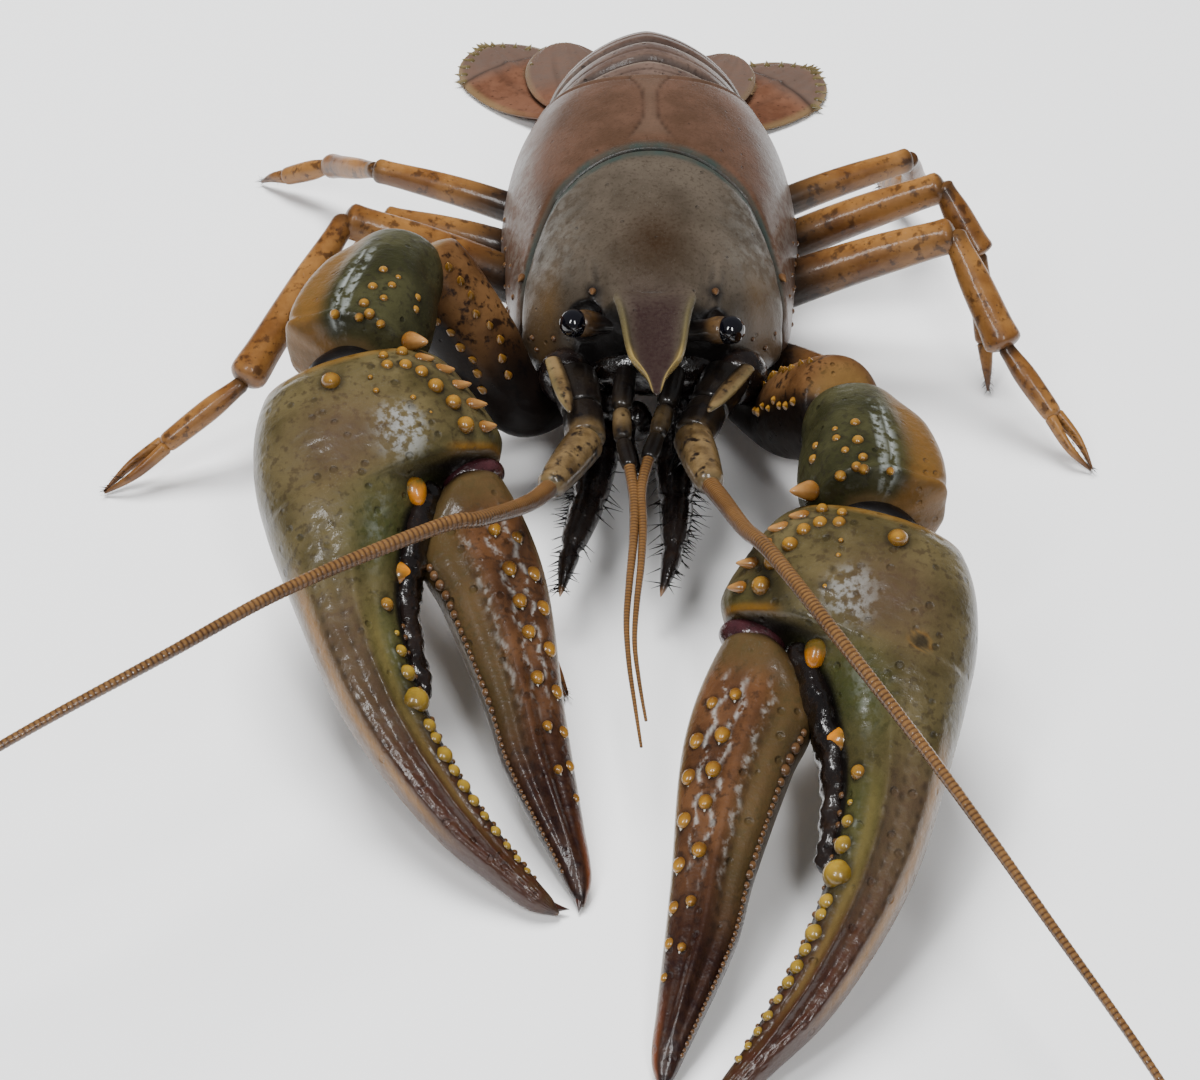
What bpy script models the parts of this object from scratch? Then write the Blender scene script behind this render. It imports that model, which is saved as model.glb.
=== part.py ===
"""A large stream crayfish at life size, standing still with both claws reaching forward.

The animal faces -Y and its back is up (+Z). Lengths are in metres; mm() turns the sizes that a
naturalist would quote into metres. All nodes hang from one empty, which puts the origin under
the middle of the whole animal, on the floor.
"""
import math
import random

import bmesh
import bpy
from mathutils import Matrix, Vector

MM = 0.001
GAP = 0.3 * MM
MITRE_LIMIT = 1.15
SCATTER = random.Random(11)


def mm(*sizes):
    """Sizes in millimetres as a tuple of metres, or as one number."""
    scaled = tuple(size * MM for size in sizes)
    return scaled if len(scaled) > 1 else scaled[0]


def spot(x, y, z):
    """A place given in millimetres."""
    return Vector(mm(x, y, z))


# Carapace: each row is a place along Y and the size there.
CARAPACE_HALF_WIDTH = [mm(-18.6, 7.0), mm(-15.0, 11.0), mm(-12.0, 12.4), mm(-3.5, 13.5), mm(4.0, 14.2),
                       mm(12.0, 13.5), mm(18.0, 11.6), mm(22.0, 10.0)]
CARAPACE_TOP = [mm(-18.6, 20.6), mm(-12.0, 22.4), mm(0.0, 24.0), mm(10.0, 24.0), mm(18.0, 22.9),
                mm(22.0, 22.4)]
CARAPACE_WIDEST = [mm(-18.6, 12.5), mm(-12.0, 10.5), mm(0.0, 9.6), mm(22.0, 11.5)]
CARAPACE_BELLY = [mm(-18.6, 9.5), mm(-12.0, 6.0), mm(0.0, 4.5), mm(14.0, 5.0), mm(22.0, 8.0)]
HEAD_FRONT = mm(-18.6)
CARAPACE_POWER = 0.94
GROOVE_SWEEP = mm(5.0)
GROOVE_SIDE = mm(11.1)
GROOVE_DROP = 0.9
GROOVE_HIGH = mm(20.5)
GROOVE_FLOOR = mm(13.0)
GROOVE_BEVEL = mm(0.55)
REAR_EDGE = mm(14.2)
REAR_SWEEP = mm(3.0)
REAR_SIDE = mm(10.0)
NOSE_HEIGHT = mm(14.5)
NOSE_SHARE = 0.62
NOSE_REACH = mm(1.0)
SHELL_SHARES = (0.2, 0.4, 0.6, 0.8)
FACE_SHARES = (0.75, 0.4)
SHELL_SIDES = 32

# Beads and spines at the sides of the carapace: places along Y in millimetres and turns from the back.
SIDE_BEAD = mm(0.5)
THORAX_BEADS = (-8.5, 7.0, 6)
THORAX_BEAD_TURNS = [math.radians(turn) for turn in (74, 88, 80)]
HEAD_BEADS = (-16.8, -14.6, 2)
HEAD_BEAD_TURNS = [math.radians(turn) for turn in (72, 88)]
GROOVE_SPINE_PLACE = mm(-9.0)
GROOVE_SPINE_TURN = math.radians(66)
GROOVE_SPINE = mm(0.55, 0.9)
EYE_RIDGE = [(6.1, -11.5, 20.6, 0.4), (5.8, -14.5, 20.4, 0.7), (5.4, -17.4, 20.2, 0.4)]
EYE_RIDGE_SPINE = mm(0.42, 1.0)

# Rostrum: a flat beak between the eyes, with raised edges and a short sharp point.
ROSTRUM_HALF_WIDTH = [mm(-31.8, 0.35), mm(-29.5, 0.95), mm(-27.2, 2.25), mm(-22.0, 3.15), mm(-17.5, 4.2),
                      mm(-14.0, 4.9)]
ROSTRUM_TOP = [mm(-31.8, 19.6), mm(-27.0, 19.8), mm(-22.0, 20.7), mm(-17.5, 21.6), mm(-14.0, 22.0)]
ROSTRUM_EDGE = mm(0.5)
ROSTRUM_KEEL = mm(1.7)
ROSTRUM_STEPS = 10

# Abdomen: six rings along the line of the back, then the tail plate.
BACK_LINE = [spot(0, 14.6, 22.4), spot(0, 18.4, 22.5), spot(0, 23.5, 21.8), spot(0, 28.4, 20.2),
             spot(0, 33.0, 17.2), spot(0, 37.6, 12.4), spot(0, 42.2, 7.2)]
RING_HALF_WIDTH = mm(10.3, 10.5, 10.4, 10.2, 9.8, 9.1, 8.0)
RING_DEPTH = mm(9.0, 9.2, 9.2, 8.8, 8.2, 7.0, 5.4)
RING_STEP = mm(0.45)
RING_ARC_POINTS = 9
RING_ARC_TURN = math.radians(80)
RING_ARC_POWER = 1.3
RING_ARC_TALL = 1.1
# Corners of a ring under its arc: shares of its half width and of its depth, the side lobe's tip first.
RING_LOBE = (0.97, 0.1)
RING_UNDERSIDE = [(0.72, 0.8), (0.0, 0.84)]
# Rings of points along one ring of the tail: place, shift in gaps, shrink in steps and lobe.
RING_SECTIONS = [(0.0, 0.5, 1.6, 0.84), (0.28, 0.0, 1.0, 1.0), (0.34, 0.0, 0.0, 1.02), (0.7, 0.0, 0.0, 1.06),
                 (1.0, -0.5, 0.5, 0.88)]

# Tail fan: a plate and two pairs of paddles in tiers, turned a little to the animal's left.
FAN_TURN = math.radians(-8.0)
FAN_SHIFT = spot(-1.6, 0, 0)
FAN_PIVOT = spot(0, 42.0, 0)
TELSON_ROOT = spot(0.8, 39.6, 5.6)
TELSON_TIP = spot(0, 57.8, 3.1)
TELSON_HALF_WIDTH = mm(5.6)
TELSON_THICK = mm(1.3)
TELSON_BELLY = 0.5
TELSON_SHOULDER = 0.85
INNER_PADDLE_ROOT = spot(4.6, 39.6, 4.0)
INNER_PADDLE_TIP = spot(9.8, 57.8, 1.7)
INNER_PADDLE_HALF_WIDTH = mm(5.0)
OUTER_PADDLE_ROOT = spot(4.8, 41.6, 2.6)
OUTER_PADDLE_TIP = spot(19.0, 58.5, 0.35)
OUTER_PADDLE_HALF_WIDTH = mm(6.6)
PADDLE_THICK = mm(0.9)
PADDLE_LEVEL = 0.55
PADDLE_SHARES = (0.0, 0.2, 0.45, 0.62, 0.8, 0.93, 1.0)
PADDLE_END = 1.03
PADDLE_POWER = 0.75
# Spines across a blade: half the row's width, their number and their place along the blade.
TELSON_SPINES = (mm(4.9), 4, 0.6)
INNER_PADDLE_SPINES = (mm(3.9), 2, 0.82)
OUTER_PADDLE_SPINES = (mm(5.6), 9, 0.76)
FAN_SPINE = mm(0.36, 0.9)
FAN_SPINE_LIFT = 0.2
FAN_SPINE_BOW = 0.05
FAN_RIB = mm(0.35, 0.4, 0.2)
FAN_RIB_SHARES = (0.3, 0.9)

# Beads and spines of the shell.
BEAD_SINK = 0.1
BEAD_SWELL = 1.12
SPINE_ROOT = 0.5 * MM
SPINE_SIDES = 5

# Eyes and feelers, on the right side of the animal (x below zero); the left side mirrors them.
EYE_RIGHT = spot(-7.0, -19.6, 18.0)
EYE_LEFT = spot(6.6, -20.6, 18.0)
EYE_RADIUS = mm(1.25)
STALK_RADIUS = mm(1.05)
ORBIT_RADIUS = mm(2.7)


def smooth(table, at):
    """Value at one place on a smooth curve through (place, value) rows."""
    places = [row[0] for row in table]
    values = [row[1] for row in table]
    if at <= places[0]:
        return values[0]
    if at >= places[-1]:
        return values[-1]
    last = len(places) - 1
    slopes = []
    for i in range(last + 1):
        low = max(i - 1, 0)
        high = min(i + 1, last)
        slopes.append((values[high] - values[low]) / (places[high] - places[low]))
    slot = max(i for i in range(last) if places[i] <= at)
    span = places[slot + 1] - places[slot]
    t = (at - places[slot]) / span
    rise = (2 * t ** 3 - 3 * t ** 2 + 1) * values[slot] + (3 * t ** 2 - 2 * t ** 3) * values[slot + 1]
    lean = (t ** 3 - 2 * t ** 2 + t) * slopes[slot] + (t ** 3 - t ** 2) * slopes[slot + 1]
    return rise + lean * span


def curve_through(points, count):
    """Points spread evenly by length along a smooth curve through the given points."""
    dense = []
    steps = 12
    for i in range(len(points) - 1):
        before = points[max(i - 1, 0)]
        start = points[i]
        end = points[i + 1]
        after = points[min(i + 2, len(points) - 1)]
        for k in range(steps):
            t = k / steps
            bend = (2 * start + (end - before) * t + (2 * before - 5 * start + 4 * end - after) * t ** 2
                    + (3 * start - before - 3 * end + after) * t ** 3)
            dense.append(bend * 0.5)
    dense.append(points[-1].copy())
    lengths = [0.0]
    for a, b in zip(dense, dense[1:]):
        lengths.append(lengths[-1] + (b - a).length)
    spread = []
    for i in range(count):
        want = lengths[-1] * i / (count - 1)
        k = max(j for j in range(len(dense) - 1) if lengths[j] <= want + 1e-12)
        share = (want - lengths[k]) / (lengths[k + 1] - lengths[k])
        spread.append(dense[k].lerp(dense[k + 1], min(share, 1.0)))
    return spread


def superellipse(angle, power):
    """Sine and cosine of an angle, squared up by a power under 1."""
    side = math.copysign(abs(math.sin(angle)) ** power, math.sin(angle))
    rise = math.copysign(abs(math.cos(angle)) ** power, math.cos(angle))
    return side, rise


def loft(rings, start_point=None, end_point=None):
    """A closed skin over rings of points, flat at its ends or drawn to a point."""
    bm = bmesh.new()
    ring = [bm.verts.new(place) for place in rings[0]]
    count = len(ring)
    for i in range(count):
        bm.edges.new((ring[i - 1], ring[i]))
    close_ring(bm, ring, start_point)
    for places in rings[1:]:
        ring = extrude_ring(bm, ring, places)
    close_ring(bm, ring, end_point)
    bmesh.ops.recalc_face_normals(bm, faces=bm.faces)
    return bm


def extrude_ring(bm, ring, places):
    """Extrude a loop of vertices and set the new loop on its places."""
    edges = [bm.edges.get((ring[i - 1], ring[i])) for i in range(len(ring))]
    made = bmesh.ops.extrude_edge_only(bm, edges=edges)["geom"]
    fresh = {item for item in made if isinstance(item, bmesh.types.BMVert)}
    next_ring = []
    for vert in ring:
        twin = next(edge.other_vert(vert) for edge in vert.link_edges if edge.other_vert(vert) in fresh)
        next_ring.append(twin)
    for twin, place in zip(next_ring, places):
        twin.co = place
    return next_ring


def close_ring(bm, ring, point):
    """Close a loop with a flat face, or with a fan to a point."""
    if point is None:
        bm.faces.new(ring)
        return
    centre = bm.verts.new(point)
    for i in range(len(ring)):
        bm.faces.new((ring[i - 1], ring[i], centre))


def tube(path, radii, sides, across=Vector((0, 0, 1)), start_normal=None, end_normal=None):
    """A tube along a path. Each radius is a number or a pair (along across, beside it)."""
    rings = []
    last = len(path) - 1
    for i, centre in enumerate(path):
        into = (path[i] - path[i - 1]).normalized() if i > 0 else (path[1] - path[0]).normalized()
        out = (path[i + 1] - path[i]).normalized() if i < last else into
        normal = (into + out).normalized()
        if i == 0 and start_normal is not None:
            normal = start_normal
        if i == last and end_normal is not None:
            normal = end_normal
        size = radii[i]
        tall, wide = size if isinstance(size, tuple) else (size, size)
        along = into if i == last or i > 0 else out
        beside = along.cross(across).normalized()
        upright = beside.cross(along).normalized()
        ring = []
        for k in range(sides):
            angle = math.tau * (k + 0.5) / sides
            offset = upright * (tall * math.cos(angle)) + beside * (wide * math.sin(angle))
            # Slide each corner along the tube onto the plane of the joint.
            slide = -offset.dot(normal) / along.dot(normal)
            reach = offset + along * slide
            most = offset.length * MITRE_LIMIT
            ring.append(centre + reach * min(1.0, most / reach.length))
        rings.append(ring)
    return loft(rings)


def ball(centre, radius, detail=2):
    """A round bead of triangles."""
    bm = bmesh.new()
    bmesh.ops.create_icosphere(bm, subdivisions=detail, radius=radius, matrix=Matrix.Translation(centre))
    return bm


def jitter(size, share=0.12):
    """A size that varies a little from one bead or spine to the next."""
    return size * (1.0 + SCATTER.uniform(-share, share))


def bead(place, normal, radius, detail=1):
    """A round bead with its lower part sunk in the shell."""
    radius = jitter(radius * BEAD_SWELL, 0.08)
    return ball(place - normal * (radius * BEAD_SINK), radius, detail)


def spine(place, direction, radius, length):
    """A cone with its root sunk in the shell."""
    direction = direction.normalized()
    beside = direction.orthogonal().normalized()
    other = direction.cross(beside)
    root = place - direction * SPINE_ROOT
    ring = []
    for k in range(SPINE_SIDES):
        angle = math.tau * k / SPINE_SIDES
        ring.append(root + (beside * math.cos(angle) + other * math.sin(angle)) * radius)
    return loft([ring], end_point=place + direction * jitter(length))


def row(low, high, count):
    """Evenly spread numbers from one end of a row to the other."""
    return [low + (high - low) * i / (count - 1) for i in range(count)]


class Palette:
    """Base colours of the animal, linear RGB."""
    HEAD = (0.16, 0.12, 0.075)
    THORAX = (0.20, 0.085, 0.055)
    ABDOMEN = (0.15, 0.06, 0.04)
    FAN = (0.26, 0.09, 0.035)
    CLAW = (0.13, 0.12, 0.05)
    FINGER = (0.16, 0.085, 0.045)
    WRIST = (0.11, 0.115, 0.05)
    ARM = (0.17, 0.09, 0.035)
    LEG = (0.42, 0.19, 0.06)
    EYE = (0.006, 0.007, 0.012)
    STALK = (0.10, 0.06, 0.03)
    FEELER = (0.24, 0.11, 0.04)
    PEDUNCLE = (0.26, 0.18, 0.09)
    MOUTH = (0.03, 0.022, 0.016)


def surface_finish(name, colour, roughness):
    """A plain shaded surface for one node."""
    material = bpy.data.materials.new(name)
    material.use_nodes = True
    shader = material.node_tree.nodes["Principled BSDF"]
    shader.inputs["Base Color"].default_value = (*colour, 1.0)
    shader.inputs["Roughness"].default_value = roughness
    shader.inputs["Metallic"].default_value = 0.0
    return material


def add_node(name, bm, colour, roughness=0.3):
    """Make the named object from a closed mesh and hang it from the animal's empty."""
    bmesh.ops.triangulate(bm, faces=bm.faces)
    mesh = bpy.data.meshes.new(name)
    bm.to_mesh(mesh)
    bm.free()
    mesh.shade_smooth()
    mesh.set_sharp_from_angle(angle=math.radians(40))
    mesh.materials.append(surface_finish(name + "_finish", colour, roughness))
    node = bpy.data.objects.new(name, mesh)
    bpy.context.collection.objects.link(node)
    node.parent = ANIMAL
    return node


def keep_largest(bm):
    """Delete all but the largest closed surface."""
    left = set(bm.verts)
    shells = []
    while left:
        shell = [left.pop()]
        for vert in shell:
            for edge in vert.link_edges:
                other = edge.other_vert(vert)
                if other in left:
                    left.remove(other)
                    shell.append(other)
        shells.append(shell)
    shells.sort(key=len)
    bmesh.ops.delete(bm, geom=[vert for shell in shells[:-1] for vert in shell], context="VERTS")


def combine(base, pieces, operation, solver="EXACT"):
    """One Boolean of a closed mesh with a collection of closed meshes, applied."""
    group = bpy.data.collections.new("pieces")
    holders = []
    for bm in pieces:
        mesh = bpy.data.meshes.new("piece")
        bm.to_mesh(mesh)
        bm.free()
        holder = bpy.data.objects.new("piece", mesh)
        group.objects.link(holder)
        holders.append(holder)
    mesh = bpy.data.meshes.new("base")
    base.to_mesh(mesh)
    base.free()
    body = bpy.data.objects.new("base", mesh)
    bpy.context.collection.objects.link(body)
    boolean = body.modifiers.new("join", "BOOLEAN")
    boolean.operand_type = "COLLECTION"
    boolean.collection = group
    boolean.operation = operation
    boolean.solver = solver
    result = bmesh.new()
    result.from_object(body, bpy.context.evaluated_depsgraph_get())
    for holder in holders + [body]:
        bpy.data.objects.remove(holder)
    bpy.data.collections.remove(group)
    keep_largest(result)
    return result


def swollen(node, amount):
    """A copy of a node's skin, pushed outwards."""
    bm = bmesh.new()
    bm.from_mesh(node.data)
    bm.normal_update()
    for vert in bm.verts:
        vert.co += vert.normal * amount * vert.calc_shell_factor()
    return bm


# Carapace.
def carapace_point(y, angle):
    """A point of the shell; the angle turns from the middle of the back."""
    side, rise = superellipse(angle, CARAPACE_POWER)
    widest = smooth(CARAPACE_WIDEST, y)
    if rise >= 0:
        height = smooth(CARAPACE_TOP, y) - widest
    else:
        height = widest - smooth(CARAPACE_BELLY, y)
    return Vector((smooth(CARAPACE_HALF_WIDTH, y) * side, y, widest + height * rise))


def groove_y(x, z):
    """Where the cervical groove crosses the shell."""
    drop = max(0.0, GROOVE_HIGH - max(z, GROOVE_FLOOR))
    return -GROOVE_SWEEP * (x / GROOVE_SIDE) ** 2 - GROOVE_DROP * drop


def rear_y(x, z):
    """The shell's rear edge, which reaches further back at the sides."""
    return REAR_EDGE + REAR_SWEEP * min(1.0, (x / REAR_SIDE) ** 2)


def shell_ring(edge, shift, shrink, sides):
    """A ring of shell points on an edge line, moved along Y and drawn in."""
    ring = []
    for k in range(sides):
        angle = math.tau * k / sides
        y = edge(0.0, GROOVE_HIGH)
        for _ in range(6):
            place = carapace_point(y, angle)
            y = edge(place.x, place.z) + shift
        place = carapace_point(y, angle)
        inward = Vector((-place.x, 0.0, smooth(CARAPACE_WIDEST, y) - place.z)).normalized()
        ring.append(place + inward * shrink)
    return ring


def face_rings(edge, shift, outer, shares):
    """Rings that cover the curved end face of a shell, towards its middle."""
    middle = Vector((0.0, 0.0, sum((p.z for p in outer), 0.0) / len(outer)))
    rings = []
    for share in shares:
        ring = []
        for place in outer:
            x = place.x * share
            z = middle.z + (place.z - middle.z) * share
            ring.append(Vector((x, edge(x, z) + shift, z)))
        rings.append(ring)
    centre = Vector((0.0, edge(0.0, middle.z) + shift, middle.z))
    return rings, centre


def shell_normal(y, angle):
    """Outward direction of the shell at a point."""
    step = 0.01
    around = carapace_point(y, angle + step) - carapace_point(y, angle - step)
    ahead = carapace_point(y + mm(0.5), angle) - carapace_point(y - mm(0.5), angle)
    normal = ahead.cross(around).normalized()
    here = carapace_point(y, angle)
    return normal if normal.dot(Vector((here.x, 0.0, here.z - smooth(CARAPACE_WIDEST, y)))) > 0 else -normal


def side_beads(band, turns):
    """Beads on both sides of the shell, over a band of places and turns."""
    pieces = []
    for side in (-1, 1):
        for i, place in enumerate(row(*band)):
            y = mm(place)
            angle = side * turns[i % len(turns)]
            pieces.append(bead(carapace_point(y, angle), shell_normal(y, angle), SIDE_BEAD))
    return pieces


def shell_rings(first, last):
    """Rings of shell points between two edge rings."""
    rings = []
    for share in SHELL_SHARES:
        ring = []
        for k in range(SHELL_SIDES):
            y = first[k] * (1 - share) + last[k] * share
            ring.append(carapace_point(y, math.tau * k / SHELL_SIDES))
        rings.append(ring)
    return rings


def build_thorax():
    """The rear half of the carapace, with the breastplate under it."""
    front = shell_ring(groove_y, GAP / 2, GROOVE_BEVEL, SHELL_SIDES)
    front_soft = shell_ring(groove_y, GROOVE_BEVEL, 0.0, SHELL_SIDES)
    rear = shell_ring(rear_y, 0.0, GROOVE_BEVEL, SHELL_SIDES)
    rear_soft = shell_ring(rear_y, -GROOVE_BEVEL, 0.0, SHELL_SIDES)
    rings = []
    inner, start = face_rings(groove_y, GAP / 2, front, FACE_SHARES)
    rings += inner[::-1] + [front, front_soft]
    rings += shell_rings([place.y for place in front_soft], [place.y for place in rear_soft])
    inner, end = face_rings(rear_y, 0.0, rear, FACE_SHARES)
    rings += [rear_soft, rear] + inner
    pieces = side_beads(THORAX_BEADS, THORAX_BEAD_TURNS)
    for side in (-1, 1):
        place = carapace_point(GROOVE_SPINE_PLACE, side * GROOVE_SPINE_TURN)
        ahead = Vector((side * 0.35, -1.0, 0.15))
        pieces.append(spine(place, ahead, *GROOVE_SPINE))
    return combine(loft(rings, start_point=start, end_point=end), pieces, "UNION")


def build_head():
    """The front half of the carapace, up to the mouth."""
    rear = shell_ring(groove_y, -GAP / 2, GROOVE_BEVEL, SHELL_SIDES)
    rear_soft = shell_ring(groove_y, -GROOVE_BEVEL, 0.0, SHELL_SIDES)
    front = shell_ring(lambda x, z: HEAD_FRONT, 0.0, 0.0, SHELL_SIDES)
    nose = []
    centre = Vector((0.0, HEAD_FRONT, NOSE_HEIGHT))
    ahead = Vector((0.0, -NOSE_REACH, 0.0))
    for place in front:
        nose.append(centre.lerp(place, NOSE_SHARE) + ahead)
    inner, start = face_rings(groove_y, -GAP / 2, rear, FACE_SHARES)
    rings = inner[::-1] + [rear, rear_soft]
    rings += shell_rings([place.y for place in rear_soft], [HEAD_FRONT] * SHELL_SIDES)
    rings += [front, nose]
    return loft(rings, start_point=start, end_point=centre + ahead * 1.4)


def build_rostrum():
    """The beak, with its raised edges and a keel below."""
    rings = []
    for y in row(ROSTRUM_HALF_WIDTH[0][0], ROSTRUM_HALF_WIDTH[-1][0], ROSTRUM_STEPS + 1):
        wide = smooth(ROSTRUM_HALF_WIDTH, y)
        top = smooth(ROSTRUM_TOP, y)
        edge = min(ROSTRUM_EDGE, wide * 0.3)
        half = [(wide, -edge * 0.4), (wide, edge), (wide * 0.8, edge * 1.1), (wide * 0.55, 0.0)]
        outline = half + [(0.0, -edge * 0.3)] + [(-x, z) for x, z in reversed(half)]
        keel = min(ROSTRUM_KEEL, wide * 1.3)
        outline += [(-wide * 0.45, -keel * 0.8), (0.0, -keel), (wide * 0.45, -keel * 0.8)]
        rings.append([Vector((x, y, top + z)) for x, z in outline])
    return loft(rings)


def build_head_shield():
    """Head shell, beak and the small ridges behind the eyes."""
    pieces = [build_rostrum()]
    for side in (-1, 1):
        ridge = [spot(side * x, y, z) for x, y, z, radius in EYE_RIDGE]
        pieces.append(tube(ridge, [mm(radius) for x, y, z, radius in EYE_RIDGE], 5))
        pieces.append(spine(ridge[-1], Vector((side * 0.1, -1.0, 0.25)), *EYE_RIDGE_SPINE))
    pieces += side_beads(HEAD_BEADS, HEAD_BEAD_TURNS)
    head = combine(build_head(), pieces, "UNION")
    hollows = [ball(eye, ORBIT_RADIUS) for eye in (EYE_RIGHT, EYE_LEFT)]
    head = combine(head, hollows, "DIFFERENCE")
    return add_node("head_shield", head, Palette.HEAD)


# Abdomen and tail fan.
def ring_outline(half_width, depth, lobe):
    """Cross-section of one ring of the tail: an arch whose side lobes hang down by a share."""
    points = []
    for angle in row(-RING_ARC_TURN, RING_ARC_TURN, RING_ARC_POINTS):
        side = superellipse(angle, RING_ARC_POWER)[0]
        points.append((half_width * side, (math.cos(angle) - 1.0) * depth * RING_ARC_TALL))
    share, hang = RING_LOBE
    corners = [(share, lobe + hang)] + RING_UNDERSIDE
    corners += [(-across, down) for across, down in reversed(corners[:-1])]
    points += [(half_width * across, -depth * down) for across, down in corners]
    return points


def back_frame(place):
    """Point on the back line at a ring number, and the two directions across it."""
    table_y = [(float(i), point.y) for i, point in enumerate(BACK_LINE)]
    table_z = [(float(i), point.z) for i, point in enumerate(BACK_LINE)]
    here = Vector((0.0, smooth(table_y, place), smooth(table_z, place)))
    step = 0.05
    low = max(place - step, 0.0)
    high = min(place + step, len(BACK_LINE) - 1.0)
    along = Vector((0.0, smooth(table_y, high) - smooth(table_y, low), smooth(table_z, high) - smooth(table_z, low)))
    along.normalize()
    up = Vector((1.0, 0.0, 0.0)).cross(along)
    return here, along, up


def tail_ring(place, shift, shrink, lobe):
    """A ring of points across the tail at a ring number."""
    here, along, up = back_frame(place)
    widths = [(float(i), w) for i, w in enumerate(RING_HALF_WIDTH)]
    depths = [(float(i), d) for i, d in enumerate(RING_DEPTH)]
    wide = smooth(widths, place) - shrink
    deep = smooth(depths, place) - shrink
    points = []
    for x, z in ring_outline(wide, deep, lobe):
        points.append(here + along * shift + Vector((x, 0.0, 0.0)) + up * (z - shrink))
    return points


def build_abdomen(thorax):
    """Six rings, each with a low step at its front where it slips under the last; the last one."""
    for number in range(1, 7):
        front = float(number - 1)
        rings = []
        for share, gaps, steps, lobe in RING_SECTIONS:
            rings.append(tail_ring(front + share, GAP * gaps, RING_STEP * steps, lobe))
        node = add_node(f"abdomen_{number}", loft(rings), Palette.ABDOMEN)
        if number == 1:
            cut_clear(node, [thorax])
    return node


def paddle(root, tip, half_width, thick, belly=0.62, roots=0.35, up=Vector((0, 0, 1)), sides=14):
    """A flat leaf of the tail fan, widest past its middle and round at its end."""
    along = (tip - root).normalized()
    beside = along.cross(up).normalized()
    face = beside.cross(along)
    length = (tip - root).length
    rings = []
    for share in PADDLE_SHARES:
        if share <= belly:
            wide = half_width * (roots + (1 - roots) * math.sin(share / belly * math.pi / 2))
        else:
            wide = half_width * math.sqrt(max(0.0, 1 - ((share - belly) / (PADDLE_END - belly)) ** 2))
        deep = thick * (0.5 if share < 1.0 else 0.35)
        centre = root + along * (length * share)
        centre.z = tip.z + (root.z - tip.z) * max(0.0, 1.0 - share / PADDLE_LEVEL) ** 2
        ring = []
        for k in range(sides):
            side, rise = superellipse(math.tau * (k + 0.5) / sides, PADDLE_POWER)
            ring.append(centre + beside * (wide * side) + face * (deep * rise))
        rings.append(ring)
    return loft(rings)


def fan_spines(bm, root, tip, thick, reach, count, share):
    """A rib down a paddle and a row of small spines across it."""
    along = (tip - root).normalized()
    beside = along.cross(Vector((0, 0, 1))).normalized()
    high = Vector((0.0, 0.0, thick * 0.5))
    level = Vector((0.0, 0.0, tip.z))
    start, end = [root.lerp(tip, place) * Vector((1, 1, 0)) + level + high for place in FAN_RIB_SHARES]
    pieces = [tube([start, start.lerp(end, 0.5), end], FAN_RIB, 5)]
    for t in row(-1.0, 1.0, count):
        bow = share - FAN_SPINE_BOW * t * t
        place = (root.lerp(tip, bow) + beside * (reach * t)) * Vector((1, 1, 0)) + level + high * 0.8
        pieces.append(spine(place, along + Vector((0, 0, FAN_SPINE_LIFT)), *FAN_SPINE))
    return combine(bm, pieces, "UNION")


def turn_fan(bm):
    """Turn a piece of the tail fan with the fan."""
    bmesh.ops.rotate(bm, cent=FAN_PIVOT, matrix=Matrix.Rotation(FAN_TURN, 3, "Z"), verts=bm.verts)
    bmesh.ops.translate(bm, vec=FAN_SHIFT, verts=bm.verts)
    return bm


def build_tail_fan(last_ring):
    """The tail plate and two pairs of paddles, laid in tiers on the floor."""
    plate = paddle(TELSON_ROOT, TELSON_TIP, TELSON_HALF_WIDTH, TELSON_THICK, TELSON_BELLY, TELSON_SHOULDER)
    plate = fan_spines(plate, TELSON_ROOT, TELSON_TIP, TELSON_THICK, *TELSON_SPINES)
    telson = add_node("telson", turn_fan(plate), Palette.FAN)
    cut_clear(telson, [last_ring])
    for side, name in ((-1, "r"), (1, "l")):
        mirror = Vector((side, 1.0, 1.0))
        root = INNER_PADDLE_ROOT * mirror
        tip = INNER_PADDLE_TIP * mirror
        bm = paddle(root, tip, INNER_PADDLE_HALF_WIDTH, PADDLE_THICK)
        bm = fan_spines(bm, root, tip, PADDLE_THICK, *INNER_PADDLE_SPINES)
        inner = add_node(f"uropod_inner_{name}", turn_fan(bm), Palette.FAN)
        cut_clear(inner, [last_ring, telson])
        root = OUTER_PADDLE_ROOT * mirror
        tip = OUTER_PADDLE_TIP * mirror
        bm = paddle(root, tip, OUTER_PADDLE_HALF_WIDTH, PADDLE_THICK)
        bm = fan_spines(bm, root, tip, PADDLE_THICK, *OUTER_PADDLE_SPINES)
        outer = add_node(f"uropod_outer_{name}", turn_fan(bm), Palette.FAN)
        cut_clear(outer, [last_ring, inner])
        cut_floor(outer)


# Limbs.
def limb(names, joints, sizes, colour, side_axis):
    """Straight articles that meet at their joints on matching slanted faces."""
    nodes = []
    last = len(joints) - 1
    for i, name in enumerate(names):
        start = joints[i]
        end = joints[i + 1]
        ahead = (end - start).normalized()
        before = (start - joints[i - 1]).normalized() if i > 0 else ahead
        after = (joints[i + 2] - end).normalized() if i + 2 <= last else ahead
        start_normal = (before + ahead).normalized()
        end_normal = (ahead + after).normalized()
        start = start + ahead * (GAP / 2 if i > 0 else 0.0)
        end = end - ahead * (GAP / 2 if i + 2 <= last else 0.0)
        radii = sizes[i]
        path = [start.lerp(end, k / (len(radii) - 1)) for k in range(len(radii))]
        bm = tube(path, radii, 8, side_axis, start_normal, end_normal)
        nodes.append(add_node(name, bm, colour))
    return nodes


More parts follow.
